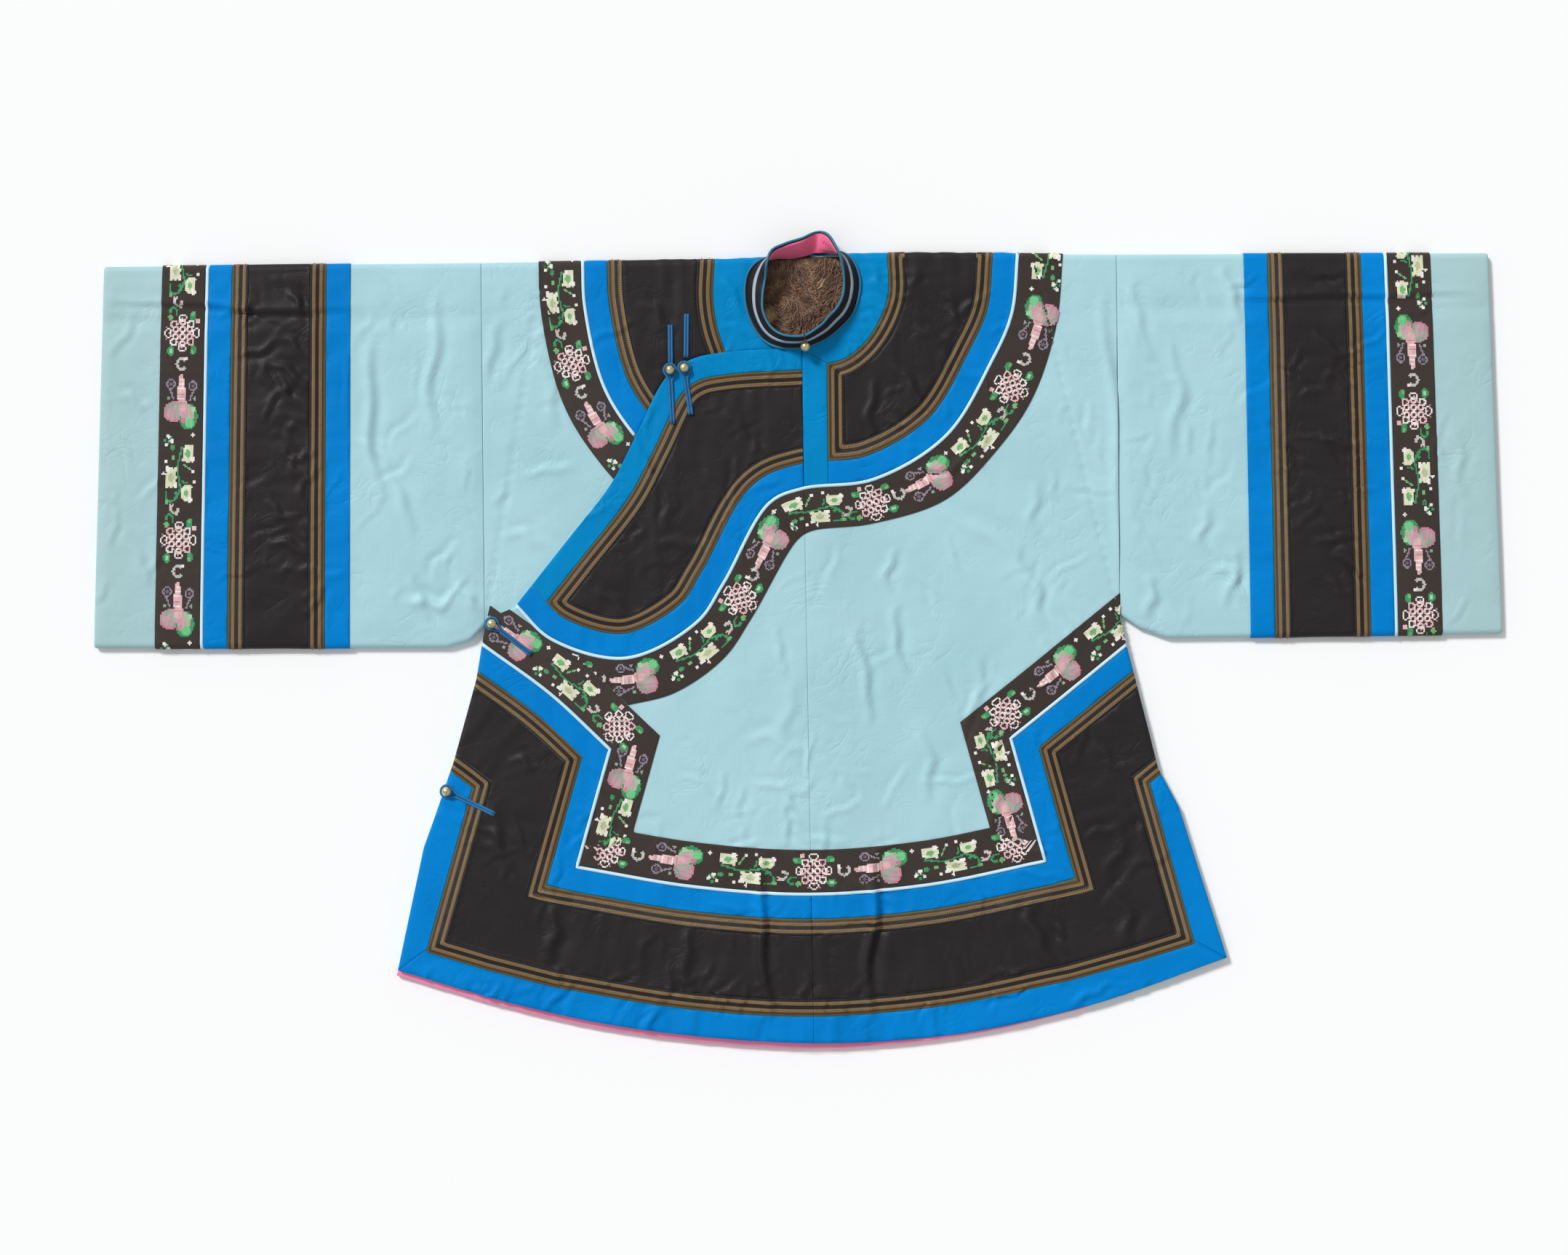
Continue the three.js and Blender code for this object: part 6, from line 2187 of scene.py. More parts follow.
BUTTERFLY = Figure(
    69, 32,
    (
        Ring(-17, -11, 5.2, 4.8, MAUVE, 1.7), Disc(-17, -11, 1.8, 1.6, "6d5f6c"), Ring(-15, 12, 5.2, 4.6, MAUVE, 1.7),
        Disc(-15, 12, 1.8, 1.6, "6d5f6c"), Stroke((-12, -12), (-2, -8), MAUVE), Stroke((-10, 13), (0, 9), MAUVE),
        Disc(-3, -13, 1.8, 1.6, STONE), Disc(-2, 14, 1.8, 1.6, STONE),
        Disc(11, -7, 10.5, 11.5, ROSE), Disc(10, -6.5, 8.8, 9.6, STONE), Disc(13, -9, 6.2, 6.4, "b8979d"),
        Disc(8, -3, 6, 4.4, "a3a79a"), Disc(16, 8, 13.5, 9.6, GREEN), Disc(13, 7, 9.4, 7, "a9b29c"),
        Disc(12, 4, 6.6, 5, "c79da4"), Disc(23, 9, 4.6, 5, "6cc283"), Disc(20, 3, 3.4, 2.4, ROSE),
        Disc(9, 13, 3.2, 2.4, PALE_GREEN),
        Disc(-18, 0, 9.6, 2.9, BLUSH), Disc(-8, 0, 11, 4.4, BLUSH), Disc(2, 1, 9, 4.6, "d9aaac"),
        Stroke((-22, -1), (-22, 1), WHITE), Stroke((-17, -2), (-17, 2), WHITE), Stroke((-12, -3), (-12, 3), WHITE),
        Stroke((-7, -3), (-7, 3), "c08f95"), Stroke((-2, -3), (-2, 3), WHITE), Stroke((3, -3), (3, 4), "c08f95"),
    ),
)
BUDS = Figure(
    110, 9,
    (
        Stroke((-5, -9), (5, -14), GREEN), Disc(-5, -13, 2.1, 2.1, WHITE), Disc(0, -9, 2.2, 2.2, WHITE),
        Disc(4, -15, 2.0, 2.0, WHITE), Disc(6, -8, 2.2, 1.8, LEAF), Disc(-1, -16, 1.8, 1.6, GREEN),
        Disc(-6, 13, 1.8, 1.6, WHITE),
    ),
    True,
)
SPRIG = Figure(
    143, 34,
    (
        Stroke((-27, 2), (-6, -3), GREEN), Stroke((-6, -3), (16, 1), GREEN), Stroke((16, 1), (26, -4), GREEN, 2.4),
        Disc(-20, 8, 9.5, 5.4, CREAM), Disc(-26, 12, 3, 2.4, CREAM), Disc(-14, 13, 3, 2.4, WHITE),
        Disc(-20, 8, 4.2, 2.6, LEAF),
        Disc(-27, 6, 2.4, 2, WHITE), Disc(-14, 4, 2.4, 2, CREAM), Disc(4, -9, 10.5, 5.6, CREAM),
        Disc(-5, -13, 3, 2.4, WHITE),
        Disc(12, -13, 3, 2.4, CREAM), Disc(4, -9, 5.0, 2.6, "b3bb95"), Disc(-4, -4, 2.4, 2, CREAM),
        Disc(12, -4, 2.6, 2, WHITE),
        Disc(20, 7, 8.6, 5.4, CREAM), Disc(27, 11, 3, 2.4, WHITE), Disc(14, 11, 2.6, 2.2, CREAM),
        Disc(20, 7, 3.8, 2.4, LEAF),
        Stroke((-9, 4), (-4, 11), LEAF), Disc(-2, 14, 2.0, 2.0, WHITE), Stroke((8, 2), (10, 9), GREEN),
        Disc(9, 15, 1.8, 1.8, WHITE),
        Disc(-26, -8, 3.2, 2.2, GREEN), Disc(-16, -7, 2.8, 2, LEAF), Ring(22, -9, 7.4, 6.4, GREEN, 2.3, 3.1, 0.9),
        Disc(-12, -15, 1.8, 1.8, WHITE), Disc(0, -17, 1.6, 1.6, WHITE), Disc(29, -13, 2.2, 1.8, LEAF),
    ),
)
CURL = Figure(
    179, 9,
    (Ring(0, -5, 5.2, 4.8, GREY, 2.0, 2.4, 0.8), Stroke((2, -1), (6, -3), GREY), Disc(-3, -9, 1.7, 1.7, BLUSH)),
    True,
)
FIGURES = (KNOT, CRESCENT, BUTTERFLY, BUDS, SPRIG, CURL)
REPEAT = 211.0
CELL = 1.5


@dataclass
class RibbonFigures:
    """The butterflies, knots and sprigs of one run of ribbon."""

    room: Workroom
    name: str
    guide: Guide
    surface: BodySurface | SleeveSurface | BackSurface
    zone: Region
    knots: Sequence[float]
    hand: int = -1
    rigid: tuple[int, ...] = ()
    sides: Sequence[float] = ()

    def marks(self) -> list[float]:
        """Where knots lie along the guide, with one more repeat at each end."""
        known = list(self.knots)
        return [known[0] - REPEAT, *known, known[-1] + REPEAT, known[-1] + 2 * REPEAT]

    def gather(self) -> tuple[Points, Points, list[str]]:
        """Every cell's way along and across, and its silk."""
        along, across, silks = [], [], []
        marks = self.marks()
        for index, (here, ahead) in enumerate(zip(marks[:-1], marks[1:])):
            scale = (ahead - here) / REPEAT
            for figure in FIGURES:
                if figure.shrinks_out and scale < 0.8 or figure is KNOT and index - 1 in self.rigid:
                    continue
                cells, some = figure.cells(CELL)
                along.append(here + figure.at * scale + cells[:, 0])
                across.append(self.hand * cells[:, 1])
                silks.extend(some)
        return np.concatenate(along), np.concatenate(across), silks

    def build(self) -> None:
        """Lays each cell as a small raised patch of silk."""
        self.guide = Guide(divided(self.guide.line, 4))
        along, across, silks = self.gather()
        aside = np.interp(along, self.knots, self.sides) if len(self.sides) else np.zeros(len(along))
        across = across + aside
        places = self.guide.at(along, across)
        back_along, back_across = self.guide.locate(places)
        kept = (np.abs(back_along - along) < 0.9) & (np.abs(back_across - across) < 0.9)
        kept &= (along > 0) & (along < self.guide.marks[-1]) & self.zone.test(places)
        kept &= np.abs(across - aside) < RIBBON / 2 - 1.8
        rows = np.flatnonzero(kept)
        silks = [silks[k] for k in rows]
        half = CELL / 2
        plan = [
            self.guide.at(along[rows] + ds, across[rows] + dt)
            for ds, dt in ((-half, -half), (half, -half), (half, half), (-half, half))
        ]
        for index in self.rigid:
            some, spots = self.whole_knot(self.knots[index])
            silks.extend(some)
            plan = [np.vstack(pair) for pair in zip(plan, spots)]
        corners = [self.surface.place(spots, np.full(len(spots), RIBBON_LIFT + 0.28)) for spots in plan]
        points = np.stack(corners, axis=1).reshape(-1, 3)
        order = np.arange(len(points)).reshape(-1, 4)
        piece = new_mesh(self.name, points, order.tolist(), smooth=False)
        self.turn_out(piece)
        colours = piece.data.attributes.new("silk", "FLOAT_COLOR", "POINT")
        fine = np.sin(np.arange(len(silks)) * 12.9898) * 0.08 + 1.0
        table = {silk: tone(silk) for silk in set(silks)}
        values = np.array([table[silk] for silk in silks])
        values[:, :3] *= fine[:, None]
        colours.data.foreach_set("color", np.repeat(values, 4, axis=0).astype(np.float32).ravel())
        self.room.dress(piece, Finish.FIGURES, "ribbon")
        LOG.info("%s: %d cells", self.name, len(silks))

    def whole_knot(self, mark: float) -> tuple[list[str], list[Points]]:
        """A knot laid flat across a corner of its ribbon.

        Args:
            mark: where its middle lies along the guide.

        Returns:
            The silk of each cell, and the plan places of the cells' four corners.
        """
        cells, silks = KNOT.cells(CELL)
        middle, before, after = self.guide.at(np.array([mark, mark - 12, mark + 12]), np.zeros(3))
        way = (after - before) / np.linalg.norm(after - before)
        side = np.array([way[1], -way[0]])
        middle = (before + after) / 2 * 0.35 + middle * 0.65
        half = CELL / 2
        held = self.zone.test(middle + cells[:, :1] * way + self.hand * cells[:, 1:] * side)
        cells = cells[held]
        corners = []
        for ds, dt in ((-half, -half), (half, -half), (half, half), (-half, half)):
            corners.append(middle + (cells[:, :1] + ds) * way + (self.hand * cells[:, 1:] + dt) * side)
        return [silk for silk, shown in zip(silks, held) if shown], corners

    def turn_out(self, piece: bpy.types.Object) -> None:
        """Turns the patches' faces away from the cloth."""
        piece.data.update()
        up = sum(face.normal.z * face.area for face in piece.data.polygons if face.center.z > FRONT_TOP * MM * 0.8)
        under = sum(face.normal.z * face.area for face in piece.data.polygons if face.center.z < 0.002)
        if up - under < 0:
            piece.data.flip_normals()


class GimpTree:
    """The geometry nodes that wind gold thread along a line, in slanted stitches."""

    def __init__(self, pitch: float, material: bpy.types.Material) -> None:
        """Builds the tree.

        Args:
            pitch: the spacing of the stitches in metres.
            material: their finish.
        """
        self.group = bpy.data.node_groups.new("wound_gimp", "GeometryNodeTree")
        face = self.group.interface
        face.new_socket("Geometry", in_out="INPUT", socket_type="NodeSocketGeometry")
        for label, value in (("Pitch", pitch), ("Length", 0.0030), ("Width", 0.0011), ("Slant", 0.75)):
            socket = face.new_socket(label, in_out="INPUT", socket_type="NodeSocketFloat")
            socket.default_value = value
        face.new_socket("Geometry", in_out="OUTPUT", socket_type="NodeSocketGeometry")
        tree = Tree(self.group)
        given, out = tree.add("NodeGroupInput"), tree.add("NodeGroupOutput")
        line = tree.add("GeometryNodeMeshToCurve", Mesh=given.outputs["Geometry"])
        even = tree.add("GeometryNodeResampleCurve", Curve=line.outputs[0])
        self.by_length(even)
        tree.put(even.inputs["Length"], given.outputs["Pitch"])
        bead = tree.add("GeometryNodeMeshUVSphere", Segments=6, Rings=3, Radius=0.5)
        along = tree.add("GeometryNodeInputTangent")
        aligned = tree.add("FunctionNodeAlignRotationToVector", {"axis": "X"}, Vector=along.outputs[0])
        turned = tree.add("FunctionNodeRotateRotation", {"rotation_space": "LOCAL"}, Rotation=aligned.outputs[0])
        wobble = tree.add(
            "FunctionNodeRandomValue", {"data_type": "FLOAT"}, Seed=5,
        )
        floats = [s for s in wobble.inputs if s.enabled and s.name in ("Min", "Max")]
        floats[0].default_value, floats[1].default_value = -0.12, 0.12
        value = [s for s in wobble.outputs if s.enabled][0]
        slant = tree.sum("ADD", given.outputs["Slant"], value)
        spin = tree.add("FunctionNodeAxisAngleToRotation", Axis=(0.0, 0.0, 1.0), Angle=slant)
        tree.put(turned.inputs["Rotate By"], spin.outputs[0])
        size = tree.add(
            "ShaderNodeCombineXYZ", X=given.outputs["Length"], Y=given.outputs["Width"], Z=given.outputs["Width"],
        )
        placed = tree.add(
            "GeometryNodeInstanceOnPoints", Points=even.outputs[0], Instance=bead.outputs[0],
            Rotation=turned.outputs[0], Scale=size.outputs[0],
        )
        real = tree.add("GeometryNodeRealizeInstances", Geometry=placed.outputs[0])
        done = tree.add("GeometryNodeSetMaterial", Geometry=real.outputs[0], Material=material)
        tree.put(out.inputs[0], done.outputs[0])

    @staticmethod
    def by_length(node: bpy.types.Node) -> None:
        """Makes a resampling node space its points by length."""
        if hasattr(node, "mode") and isinstance(node.mode, str):
            node.mode = "LENGTH"
        else:
            node.inputs["Mode"].default_value = "Length"

    def wind(self, name: str, lines: Sequence[Points], inputs: dict[str, float]) -> bpy.types.Object:
        """Winds the thread along lines in space.

        Args:
            name: the piece's name.
            lines: rows of points in millimetres.
            inputs: values of the tree's inputs, by name.

        Returns:
            The stitches as one mesh.
        """
        points = np.vstack(lines) * MM
        edges, first = [], 0
        for line in lines:
            edges.extend((first + k, first + k + 1) for k in range(len(line) - 1))
            first += len(line)
        data = bpy.data.meshes.new(name)
        data.from_pydata([tuple(p) for p in points], edges, [])
        guide = bpy.data.objects.new(name, data)
        bpy.context.scene.collection.objects.link(guide)
        return grown(guide, self.group, inputs)


def grown(base: bpy.types.Object, group: bpy.types.NodeTree, inputs: dict[str, float]) -> bpy.types.Object:
    """Runs geometry nodes on an object and keeps the result as a plain mesh.

    Args:
        base: the object, which becomes the result.
        group: the node tree.
        inputs: values of its inputs, by name.

    Returns:
        The same object with the new mesh.
    """
    modifier = base.modifiers.new("grow", "NODES")
    modifier.node_group = group
    for item in group.interface.items_tree:
        if getattr(item, "in_out", "") == "INPUT" and item.name in inputs:
            modifier[item.identifier] = inputs[item.name]
    graph = bpy.context.evaluated_depsgraph_get()
    graph.update()
    made = bpy.data.meshes.new_from_object(base.evaluated_get(graph), depsgraph=graph)
    base.modifiers.remove(modifier)
    base.data = made
    return base


GIMP_SHARES = (0.33, 0.76)
GIMP_PITCH = 2.4


@dataclass
class Gimp:
    """Winds the raised gold lines of every braid."""

    room: Workroom
    tree: GimpTree = field(init=False)

    def __post_init__(self) -> None:
        """Builds the node tree."""
        self.tree = GimpTree(GIMP_PITCH * MM, self.room.material(Finish.GIMP))

    def lay(self, name: str, surface: "BodySurface | SleeveSurface | BackSurface", runs: Sequence[Points]) -> None:
        """Winds gimp along lines of the plan.

        Args:
            name: the piece's name.
            surface: what the braid lies on.
            runs: the lines.
        """
        lines = [surface.place(run, np.full(len(run), BRAID_LIFT + 0.15)) for run in runs if len(run) > 3]
        for line in lines:
            line[:, 2] = np.maximum(line[:, 2], 0.62)
        piece = self.tree.wind(name, lines, {"Pitch": GIMP_PITCH * MM})
        self.room.dress(piece, Finish.GIMP, "braid")
        LOG.info("%s: %d faces", name, len(piece.data.polygons))


# Neck and fastenings


@dataclass
class Collar:
    """The low standing collar: black satin with a silver stripe, piped at both edges, faced in pink."""

    room: Workroom
    height: float = 26.0
    wall: float = 2.0
    stripe: tuple[float, float] = (0.42, 0.6)
    facing_bearings: tuple[float, float] = (50, 132)

    def rows(self) -> Points:
        """Bearings, feet, rims and floors, drawn finely round the collar."""
        coarse = np.array(COLLAR, float)
        return curve_through(coarse, 4)

    def face(self, rows: Points, share: Points | float, lift: float) -> Points:
        """Places on the collar's outer face, at a share of its height, moved out along the face."""
        bearing, foot, rim, floor = rows.T
        lean = foot - rim
        rise = np.sqrt(self.height**2 - lean**2)
        distance = foot - share * lean + lift * rise / self.height
        z = floor + share * rise + lift * lean / self.height
        turn = np.radians(bearing)
        return np.column_stack([NECK[0] + distance * np.cos(turn), NECK[1] + distance * np.sin(turn), z])

    def shell(self, rows: Points, around: Sequence[tuple[float, float]]) -> tuple[Points, list[tuple[int, ...]]]:
        """A closed shell swept round the collar.

        Args:
            rows: the collar's stations.
            around: shares and lifts of the section, in order.

        Returns:
            The shell's points and faces.
        """
        rings = np.stack([self.face(rows, share, lift) for share, lift in around], axis=1)
        sides, count = len(around), len(rows)
        faces: list[tuple[int, ...]] = []
        for i in range(count - 1):
            for k in range(sides):
                a, b = i * sides + k, i * sides + (k + 1) % sides
                faces.append((a, b, b + sides, a + sides))
        faces.append(tuple(reversed(range(sides))))
        faces.append(tuple((count - 1) * sides + k for k in range(sides)))
        return rings.reshape(-1, 3), faces

    def build(self) -> None:
        """Makes the band, its stripe, pipings and facing."""
        rows = self.rows()
        wall = -self.wall
        band = [
            (0, 0), (0.25, 0.25), (0.5, 0.3), (0.8, 0.2), (0.97, 0), (1, -0.6), (1, wall + 0.5), (0.96, wall),
            (0, wall),
        ]
        outline = self.shell(rows, band)
        cloth = new_mesh("collar_band_cloth", *outline)
        self.room.dress(cloth, Finish.COLLAR, "black", ["collar_band"])
        low, high = self.stripe
        section = [(low, 0.2), (low + 0.02, 0.7), ((low + high) / 2, 0.85), (high - 0.02, 0.7), (high, 0.2)]
        stripe = new_mesh("collar_stripe_cloth", *self.shell(rows, section))
        self.room.dress(stripe, Finish.STRIPE, "piping", ["collar_stripe"])
        cords = [tube(self.face(rows, share, lift), 1.25, 8) for share, lift in ((0.03, 0.9), (0.985, -0.4))]
        piping = new_mesh("collar_piping", *joined(cords))
        self.room.dress(piping, Finish.TEAL, "blue")
        length = float(np.linalg.norm(np.diff(self.face(rows, 0.5, 0), axis=0), axis=1).sum())
        1.15 * self.height * MM
        low, high = self.facing_bearings
        back = rows[(rows[:, 0] > low) & (rows[:, 0] < high)]
        facing = [(0.1, wall - 0.3), (0.14, wall - 1.1), (0.5, wall - 1.3), (0.86, wall - 1.1), (0.93, wall - 0.3)]
        piece = new_mesh("collar_facing_cloth", *self.shell(back, facing))
        self.room.dress(piece, Finish.PINK, "pink", ["collar_facing"])
        arc = float(np.linalg.norm(np.diff(self.face(back, 0.5, 0), axis=0), axis=1).sum())
        self.height * 0.9 * MM


TUFTS = ((-27.0, 340.0, 7.0, 8.0), (33.0, 373.0, 1.8, 4.6), (26.5, 364.5, 1.7, 2.4))


class HairTree:
    """The geometry nodes that grow lying, bent hairs over a skin, in swirls."""

    def __init__(self, fur: bpy.types.Material, pale: bpy.types.Material) -> None:
        """Builds the tree.

        Args:
            fur: the finish of brown hairs.
            pale: the finish of tan ones.
        """
        self.group = bpy.data.node_groups.new("lying_hairs", "GeometryNodeTree")
        face = self.group.interface
        face.new_socket("Geometry", in_out="INPUT", socket_type="NodeSocketGeometry")
        values = {"Count": 1.0e6, "Length": 0.011, "Thickness": 0.00026, "Lean": 1.12, "Pale": 0.0}
        for label, value in values.items():
            face.new_socket(label, in_out="INPUT", socket_type="NodeSocketFloat").default_value = value
        face.new_socket("Geometry", in_out="OUTPUT", socket_type="NodeSocketGeometry")
        tree = Tree(self.group)
        given, out = tree.add("NodeGroupInput"), tree.add("NodeGroupOutput")
        roots = tree.add("GeometryNodeDistributePointsOnFaces", Mesh=given.outputs["Geometry"], Seed=7)
        tree.put([s for s in roots.inputs if s.name == "Density" and s.enabled][0], given.outputs["Count"])
        bend = tree.add(
            "GeometryNodeCurveQuadraticBezier", Resolution=4, Start=(0.0, 0.0, 0.0), Middle=(0.05, 0.0, 0.55),
            End=(0.32, 0.0, 0.95),
        )
        mark = tree.add("GeometryNodeSplineParameter")
        taper = tree.sum("MULTIPLY_ADD", mark.outputs["Factor"], -0.85, 1.0)
        thin = tree.add("GeometryNodeSetCurveRadius", Curve=bend.outputs[0], Radius=taper)
        section = tree.add("GeometryNodeCurvePrimitiveCircle", Resolution=3)
        share = tree.sum("DIVIDE", given.outputs["Thickness"], given.outputs["Length"])
        tree.put([s for s in section.inputs if s.name == "Radius" and s.enabled][0], share)
        strand = tree.add("GeometryNodeCurveToMesh", Curve=thin.outputs[0])
        tree.put(strand.inputs["Profile Curve"], section.outputs[0])
        swirl = tree.add("ShaderNodeTexNoise", Scale=26.0, Detail=1.0)
        turn = tree.sum("MULTIPLY_ADD", swirl.outputs[0], 9.0, -6.0)
        turn = tree.sum("ADD", turn, self.random(tree, -0.55, 0.55, 3))
        lean = tree.sum("ADD", given.outputs["Lean"], self.random(tree, -0.3, 0.22, 4))
        way = tree.add("ShaderNodeCombineXYZ", X=0.0, Y=lean, Z=turn)
        size = tree.sum("MULTIPLY", given.outputs["Length"], self.random(tree, 0.6, 1.15, 5))
        placed = tree.add("GeometryNodeInstanceOnPoints", Points=roots.outputs[0], Instance=strand.outputs[0])
        tree.put(placed.inputs["Rotation"], way.outputs[0])
        tree.put(placed.inputs["Scale"], size)
        real = tree.add("GeometryNodeRealizeInstances", Geometry=placed.outputs[0])
        brown = tree.add("GeometryNodeSetMaterial", Geometry=real.outputs[0], Material=fur)
        tan = tree.add("GeometryNodeSetMaterial", Geometry=brown.outputs[0], Material=pale)
        tree.put(tan.inputs["Selection"], tree.sum("GREATER_THAN", given.outputs["Pale"], 0.5))
        tree.put(out.inputs[0], tan.outputs[0])

    @staticmethod
    def random(tree: Tree, low: float, high: float, seed: int) -> bpy.types.NodeSocket:
        """A random number for each hair."""
        node = tree.add("FunctionNodeRandomValue", {"data_type": "FLOAT"}, Seed=seed)
        ends = [s for s in node.inputs if s.enabled and s.name in ("Min", "Max")]
        ends[0].default_value, ends[1].default_value = low, high
        return [s for s in node.outputs if s.enabled][0]


@dataclass
class FurLining:
    """The brown fur that lines the jacket, seen through the neck."""

    room: Workroom
    skin: float = 4.6

    def build(self) -> None:
        """Makes the skin under the hairs."""
        ring = [(b, foot) for b, foot, _, _ in COLLAR]
        outline = np.array(
            [
                (NECK[0] + (foot + 4) * math.cos(math.radians(b)), NECK[1] + (foot + 4) * math.sin(math.radians(b)))
                for b, foot in ring
            ]
        )
        outline[:, 1] = np.minimum(outline[:, 1], 395.0)
        region = Region.of(outline)
        cut = cut_cloth(region, 6, Edge.THIN)
        rise = self.rise(cut.places)
        piece = new_mesh("fur_skin", np.column_stack([cut.places, rise]), cut.faces)
        self.room.dress(piece, Finish.SKIN, "fur", ["fur_lining"])
        turns = np.linspace(0, 2 * math.pi, 16)[:-1]
        spots = [Region.of(np.column_stack([x + a * np.cos(turns), y + b * np.sin(turns)])) for x, y, a, b in TUFTS]
        tuft = spots[0] | spots[1] | spots[2]
        # The tan tuft's colour carries painted light on top of its own tan, against the collar's shade.
        grower = HairTree(self.room.material(Finish.FUR), self.room.material(Finish.TUFT))
        hairs = self.grow("fur_hairs", region - tuft, grower, {"Count": 0.8e6, "Pale": 0.0, "Length": 0.011})
        pale = self.grow("tan_tuft_hairs", tuft, grower, {"Count": 2.4e6, "Pale": 1.0, "Length": 0.013})
        for hair in (hairs, pale):
            self.room.dress(hair, Finish.FUR if hair is hairs else Finish.TUFT, "fur")
            LOG.info("%s: %d faces", hair.name, len(hair.data.polygons))

    def rise(self, places: Points) -> Points:
        """How high the skin lies: it comes up over the shoulder fold's turned edge."""
        return self.skin + 0.8 * mottle(places[:, 0], places[:, 1], 14, 41) + 1.9 * ease(380, 393, places[:, 1])

    def grow(self, name: str, region: Region, grower: "HairTree", inputs: dict[str, float]) -> bpy.types.Object:
        """Grows hairs over a part of the skin.

        Args:
            name: the piece's name.
            region: where they grow.
            grower: the node tree.
            inputs: values of its inputs, by name.

        Returns:
            The hairs as one mesh.
        """
        cut = cut_cloth(region, 6, Edge.THIN)
        rise = 0.3 + self.rise(cut.places)
        base = new_mesh(name, np.column_stack([cut.places, rise]), [face for face in cut.faces if len(face) == 3])
        return grown(base, grower.group, inputs)


@dataclass(frozen=True)
class Fastening:
    """A ball button with the cords that hold it and the loop round it."""

    name: str
    at: tuple[float, float]
    loop_to: tuple[float, float]
    tail: tuple[tuple[float, float], tuple[float, float]] | None = None


FASTENINGS = (
    Fastening("outer_shoulder", (-129, 279), (-127, 224), ((-128.5, 281), (-128.5, 326))),
    Fastening("inner_shoulder", (-114.3, 281), (-108, 233), ((-112.5, 292), (-111.5, 337))),
    Fastening("underarm", (-315, 20), (-275, -12)),
    Fastening("slit", (-363, -152), (-314, -176)),
)
OVER_TRIM = 14.7
UNDER_TRIM = 10.4


@dataclass
class Fastenings:
    """The gilt ball buttons and their blue cords."""

    room: Workroom
    collar: Collar
    ball: float = 5.0
    cord: float = 1.35

    def sphere(self, place: Sequence[float]) -> tuple[Points, list[tuple[int, ...]]]:
        """A cast ball, as points and faces."""
        mesh = bmesh.new()
        bmesh.ops.create_uvsphere(mesh, u_segments=24, v_segments=14, radius=self.ball)
        points = np.array([v.co for v in mesh.verts]) + np.array(place)
        faces = [tuple(v.index for v in face.verts) for face in mesh.faces]
        mesh.free()
        return points, faces

    def loop_line(self, at: tuple[float, float], to: tuple[float, float], side: float, z: float) -> Points:
        """One cord of a loop: from its far end to the ball and half round it."""
        start, end = np.array(to, float), np.array(at, float)
        way = (end - start) / np.linalg.norm(end - start)
        across = np.array([-way[1], way[0]]) * side
        reach = np.linalg.norm(end - start)
        straight = [start + way * s + across * self.cord for s in np.linspace(0, reach - 11, 12)]
        eye = self.ball + self.cord
        round_ball = [
            end + eye * (-way * math.cos(a) + across * math.sin(a)) for a in np.linspace(0.75, math.pi, 10)
        ]
        line = np.array([*straight, *round_ball])
        return np.column_stack([line, np.full(len(line), z + self.cord)])

    def build(self) -> None:
        """Makes every ball, tail and loop."""
        row = np.array([[-87.5, COLLAR[0][1], COLLAR[0][2], COLLAR[0][3]]])
        place = self.collar.face(row, 0.5, self.ball + 1.4)[0]
        piece = new_mesh("collar_button_ball", *self.sphere(place))
        self.room.dress(piece, Finish.BRASS, "brass", ["collar_button"])
        for item in FASTENINGS:
            piece = new_mesh(f"{item.name}_button_ball", *self.sphere((*item.at, OVER_TRIM + self.ball)))
            self.room.dress(piece, Finish.BRASS, "brass", [f"{item.name}_button"])
            loops = [
                tube(self.loop_line(item.at, item.loop_to, side, OVER_TRIM - 0.2), self.cord, 8) for side in (-1, 1)
            ]
            piece = new_mesh(f"{item.name}_loop_cord", *joined(loops))
            self.room.dress(piece, Finish.CORD, "loop", [f"{item.name}_loop"])
            if item.tail:
                start, end = (np.array(p, float) for p in item.tail)
                way = (end - start) / np.linalg.norm(end - start)
                across = np.array([-way[1], way[0]])
                cords = []
                shares = np.linspace(0, 1, 14)[:, None]
                for side in (-1, 1):
                    line = start + (end - start) * shares + across * side * self.cord
                    raised = np.full(len(line), UNDER_TRIM + self.cord)
                    cords.append(tube(np.column_stack([line, raised]), self.cord, 8))
                piece = new_mesh(f"{item.name}_tail_cord", *joined(cords))
                self.room.dress(piece, Finish.CORD, "loop", [f"{item.name}_tail"])


# The photograph's view


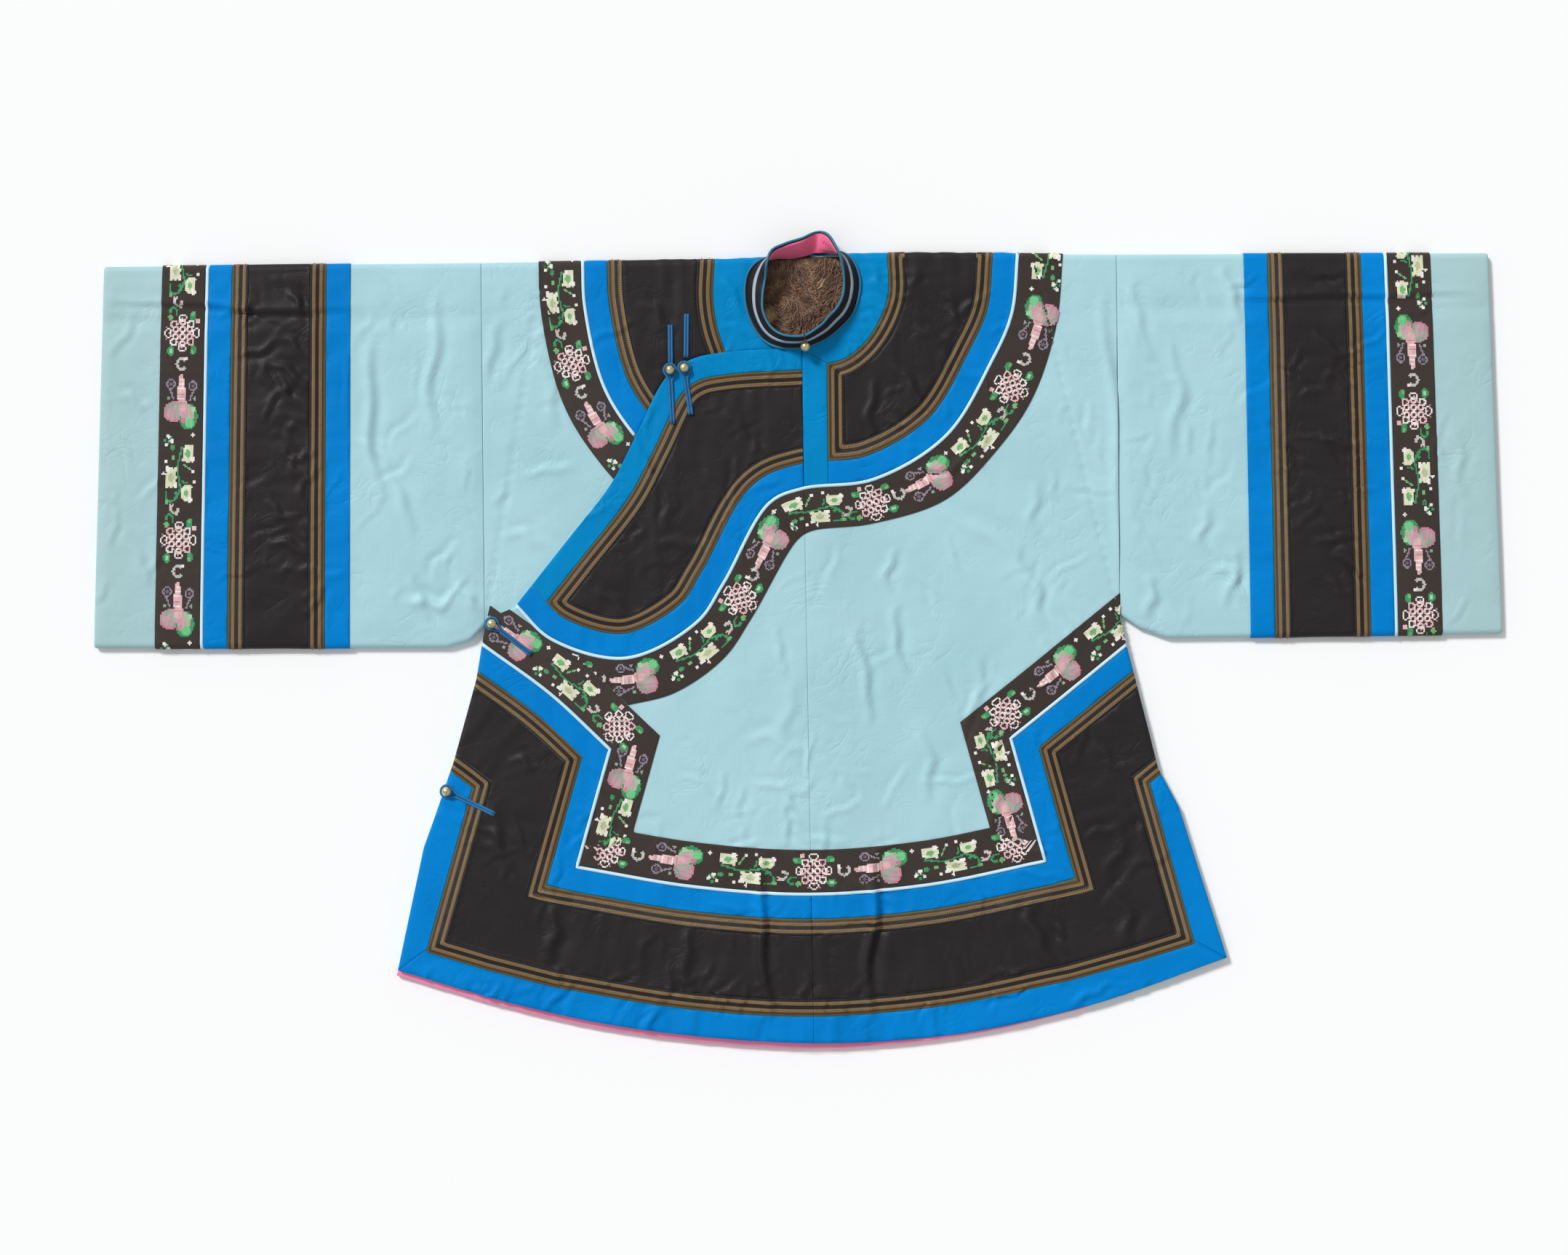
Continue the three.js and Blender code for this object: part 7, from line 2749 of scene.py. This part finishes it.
def lay_floor() -> None:
    """A pale paper floor under the jacket."""
    data = bpy.data.meshes.new("paper_floor")
    data.from_pydata([(-4, -4, 0), (4, -4, 0), (4, 4, 0), (-4, 4, 0)], [], [(0, 1, 2, 3)])
    floor = bpy.data.objects.new("paper_floor", data)
    bpy.context.scene.collection.objects.link(floor)
    made = bpy.data.materials.new("paper_floor")
    made.use_nodes = True
    tree = Tree(made.node_tree)
    shade = tree.add("ShaderNodeBsdfPrincipled", Base_Color=(0.93, 0.935, 0.94, 1.0), Roughness=0.95)
    tree.add("ShaderNodeOutputMaterial", Surface=shade.outputs[0])
    data.materials.append(made)


def set_view() -> None:
    """The camera straight above the jacket, the lamps and the world."""
    scene = bpy.context.scene
    data = bpy.data.cameras.new("photo_camera")
    data.lens, data.sensor_width = 71.05, 36.0
    camera = bpy.data.objects.new("photo_camera", data)
    camera.location = (-0.0145, 0.01305, 3.2)
    camera.rotation_euler = (0, 0, math.radians(-0.584))
    scene.collection.objects.link(camera)
    scene.camera = camera
    sun = bpy.data.lights.new("high_window", "SUN")
    sun.energy, sun.angle = 2.6, math.radians(12)
    lamp = bpy.data.objects.new("high_window", sun)
    lamp.rotation_euler = Vector((0.55, -0.62, -0.72)).to_track_quat("-Z", "Y").to_euler()
    scene.collection.objects.link(lamp)
    world = bpy.data.worlds.new("studio")
    world.use_nodes = True
    tree = Tree(world.node_tree)
    back = tree.add("ShaderNodeBackground", Color=(1, 1, 1, 1), Strength=0.5)
    tree.add("ShaderNodeOutputWorld", Surface=back.outputs[0])
    scene.world = world
    scene.view_settings.view_transform = "Standard"


def main() -> None:
    """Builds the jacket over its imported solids, and the view of the photograph."""
    logging.basicConfig(level=logging.INFO, format="%(message)s")
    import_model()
    room, pattern = Workroom(), Pattern()
    body = BodyCloth(room, pattern)
    body.build()
    gimp = Gimp(room)
    for side in ("right", "left"):
        Sleeve(room, side, gimp).build()
    yokes = Yokes(room, pattern, body, gimp)
    yokes.build()
    Skirt(room, pattern, body, yokes.over_zone(), gimp).build()
    BackTrims(room, pattern, gimp).build()
    collar = Collar(room)
    collar.build()
    FurLining(room).build()
    Fastenings(room, collar).build()
    lay_floor()
    set_view()
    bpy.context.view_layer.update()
    LOG.info("%d faces in all", room.count)


if __name__ == "__main__":
    main()
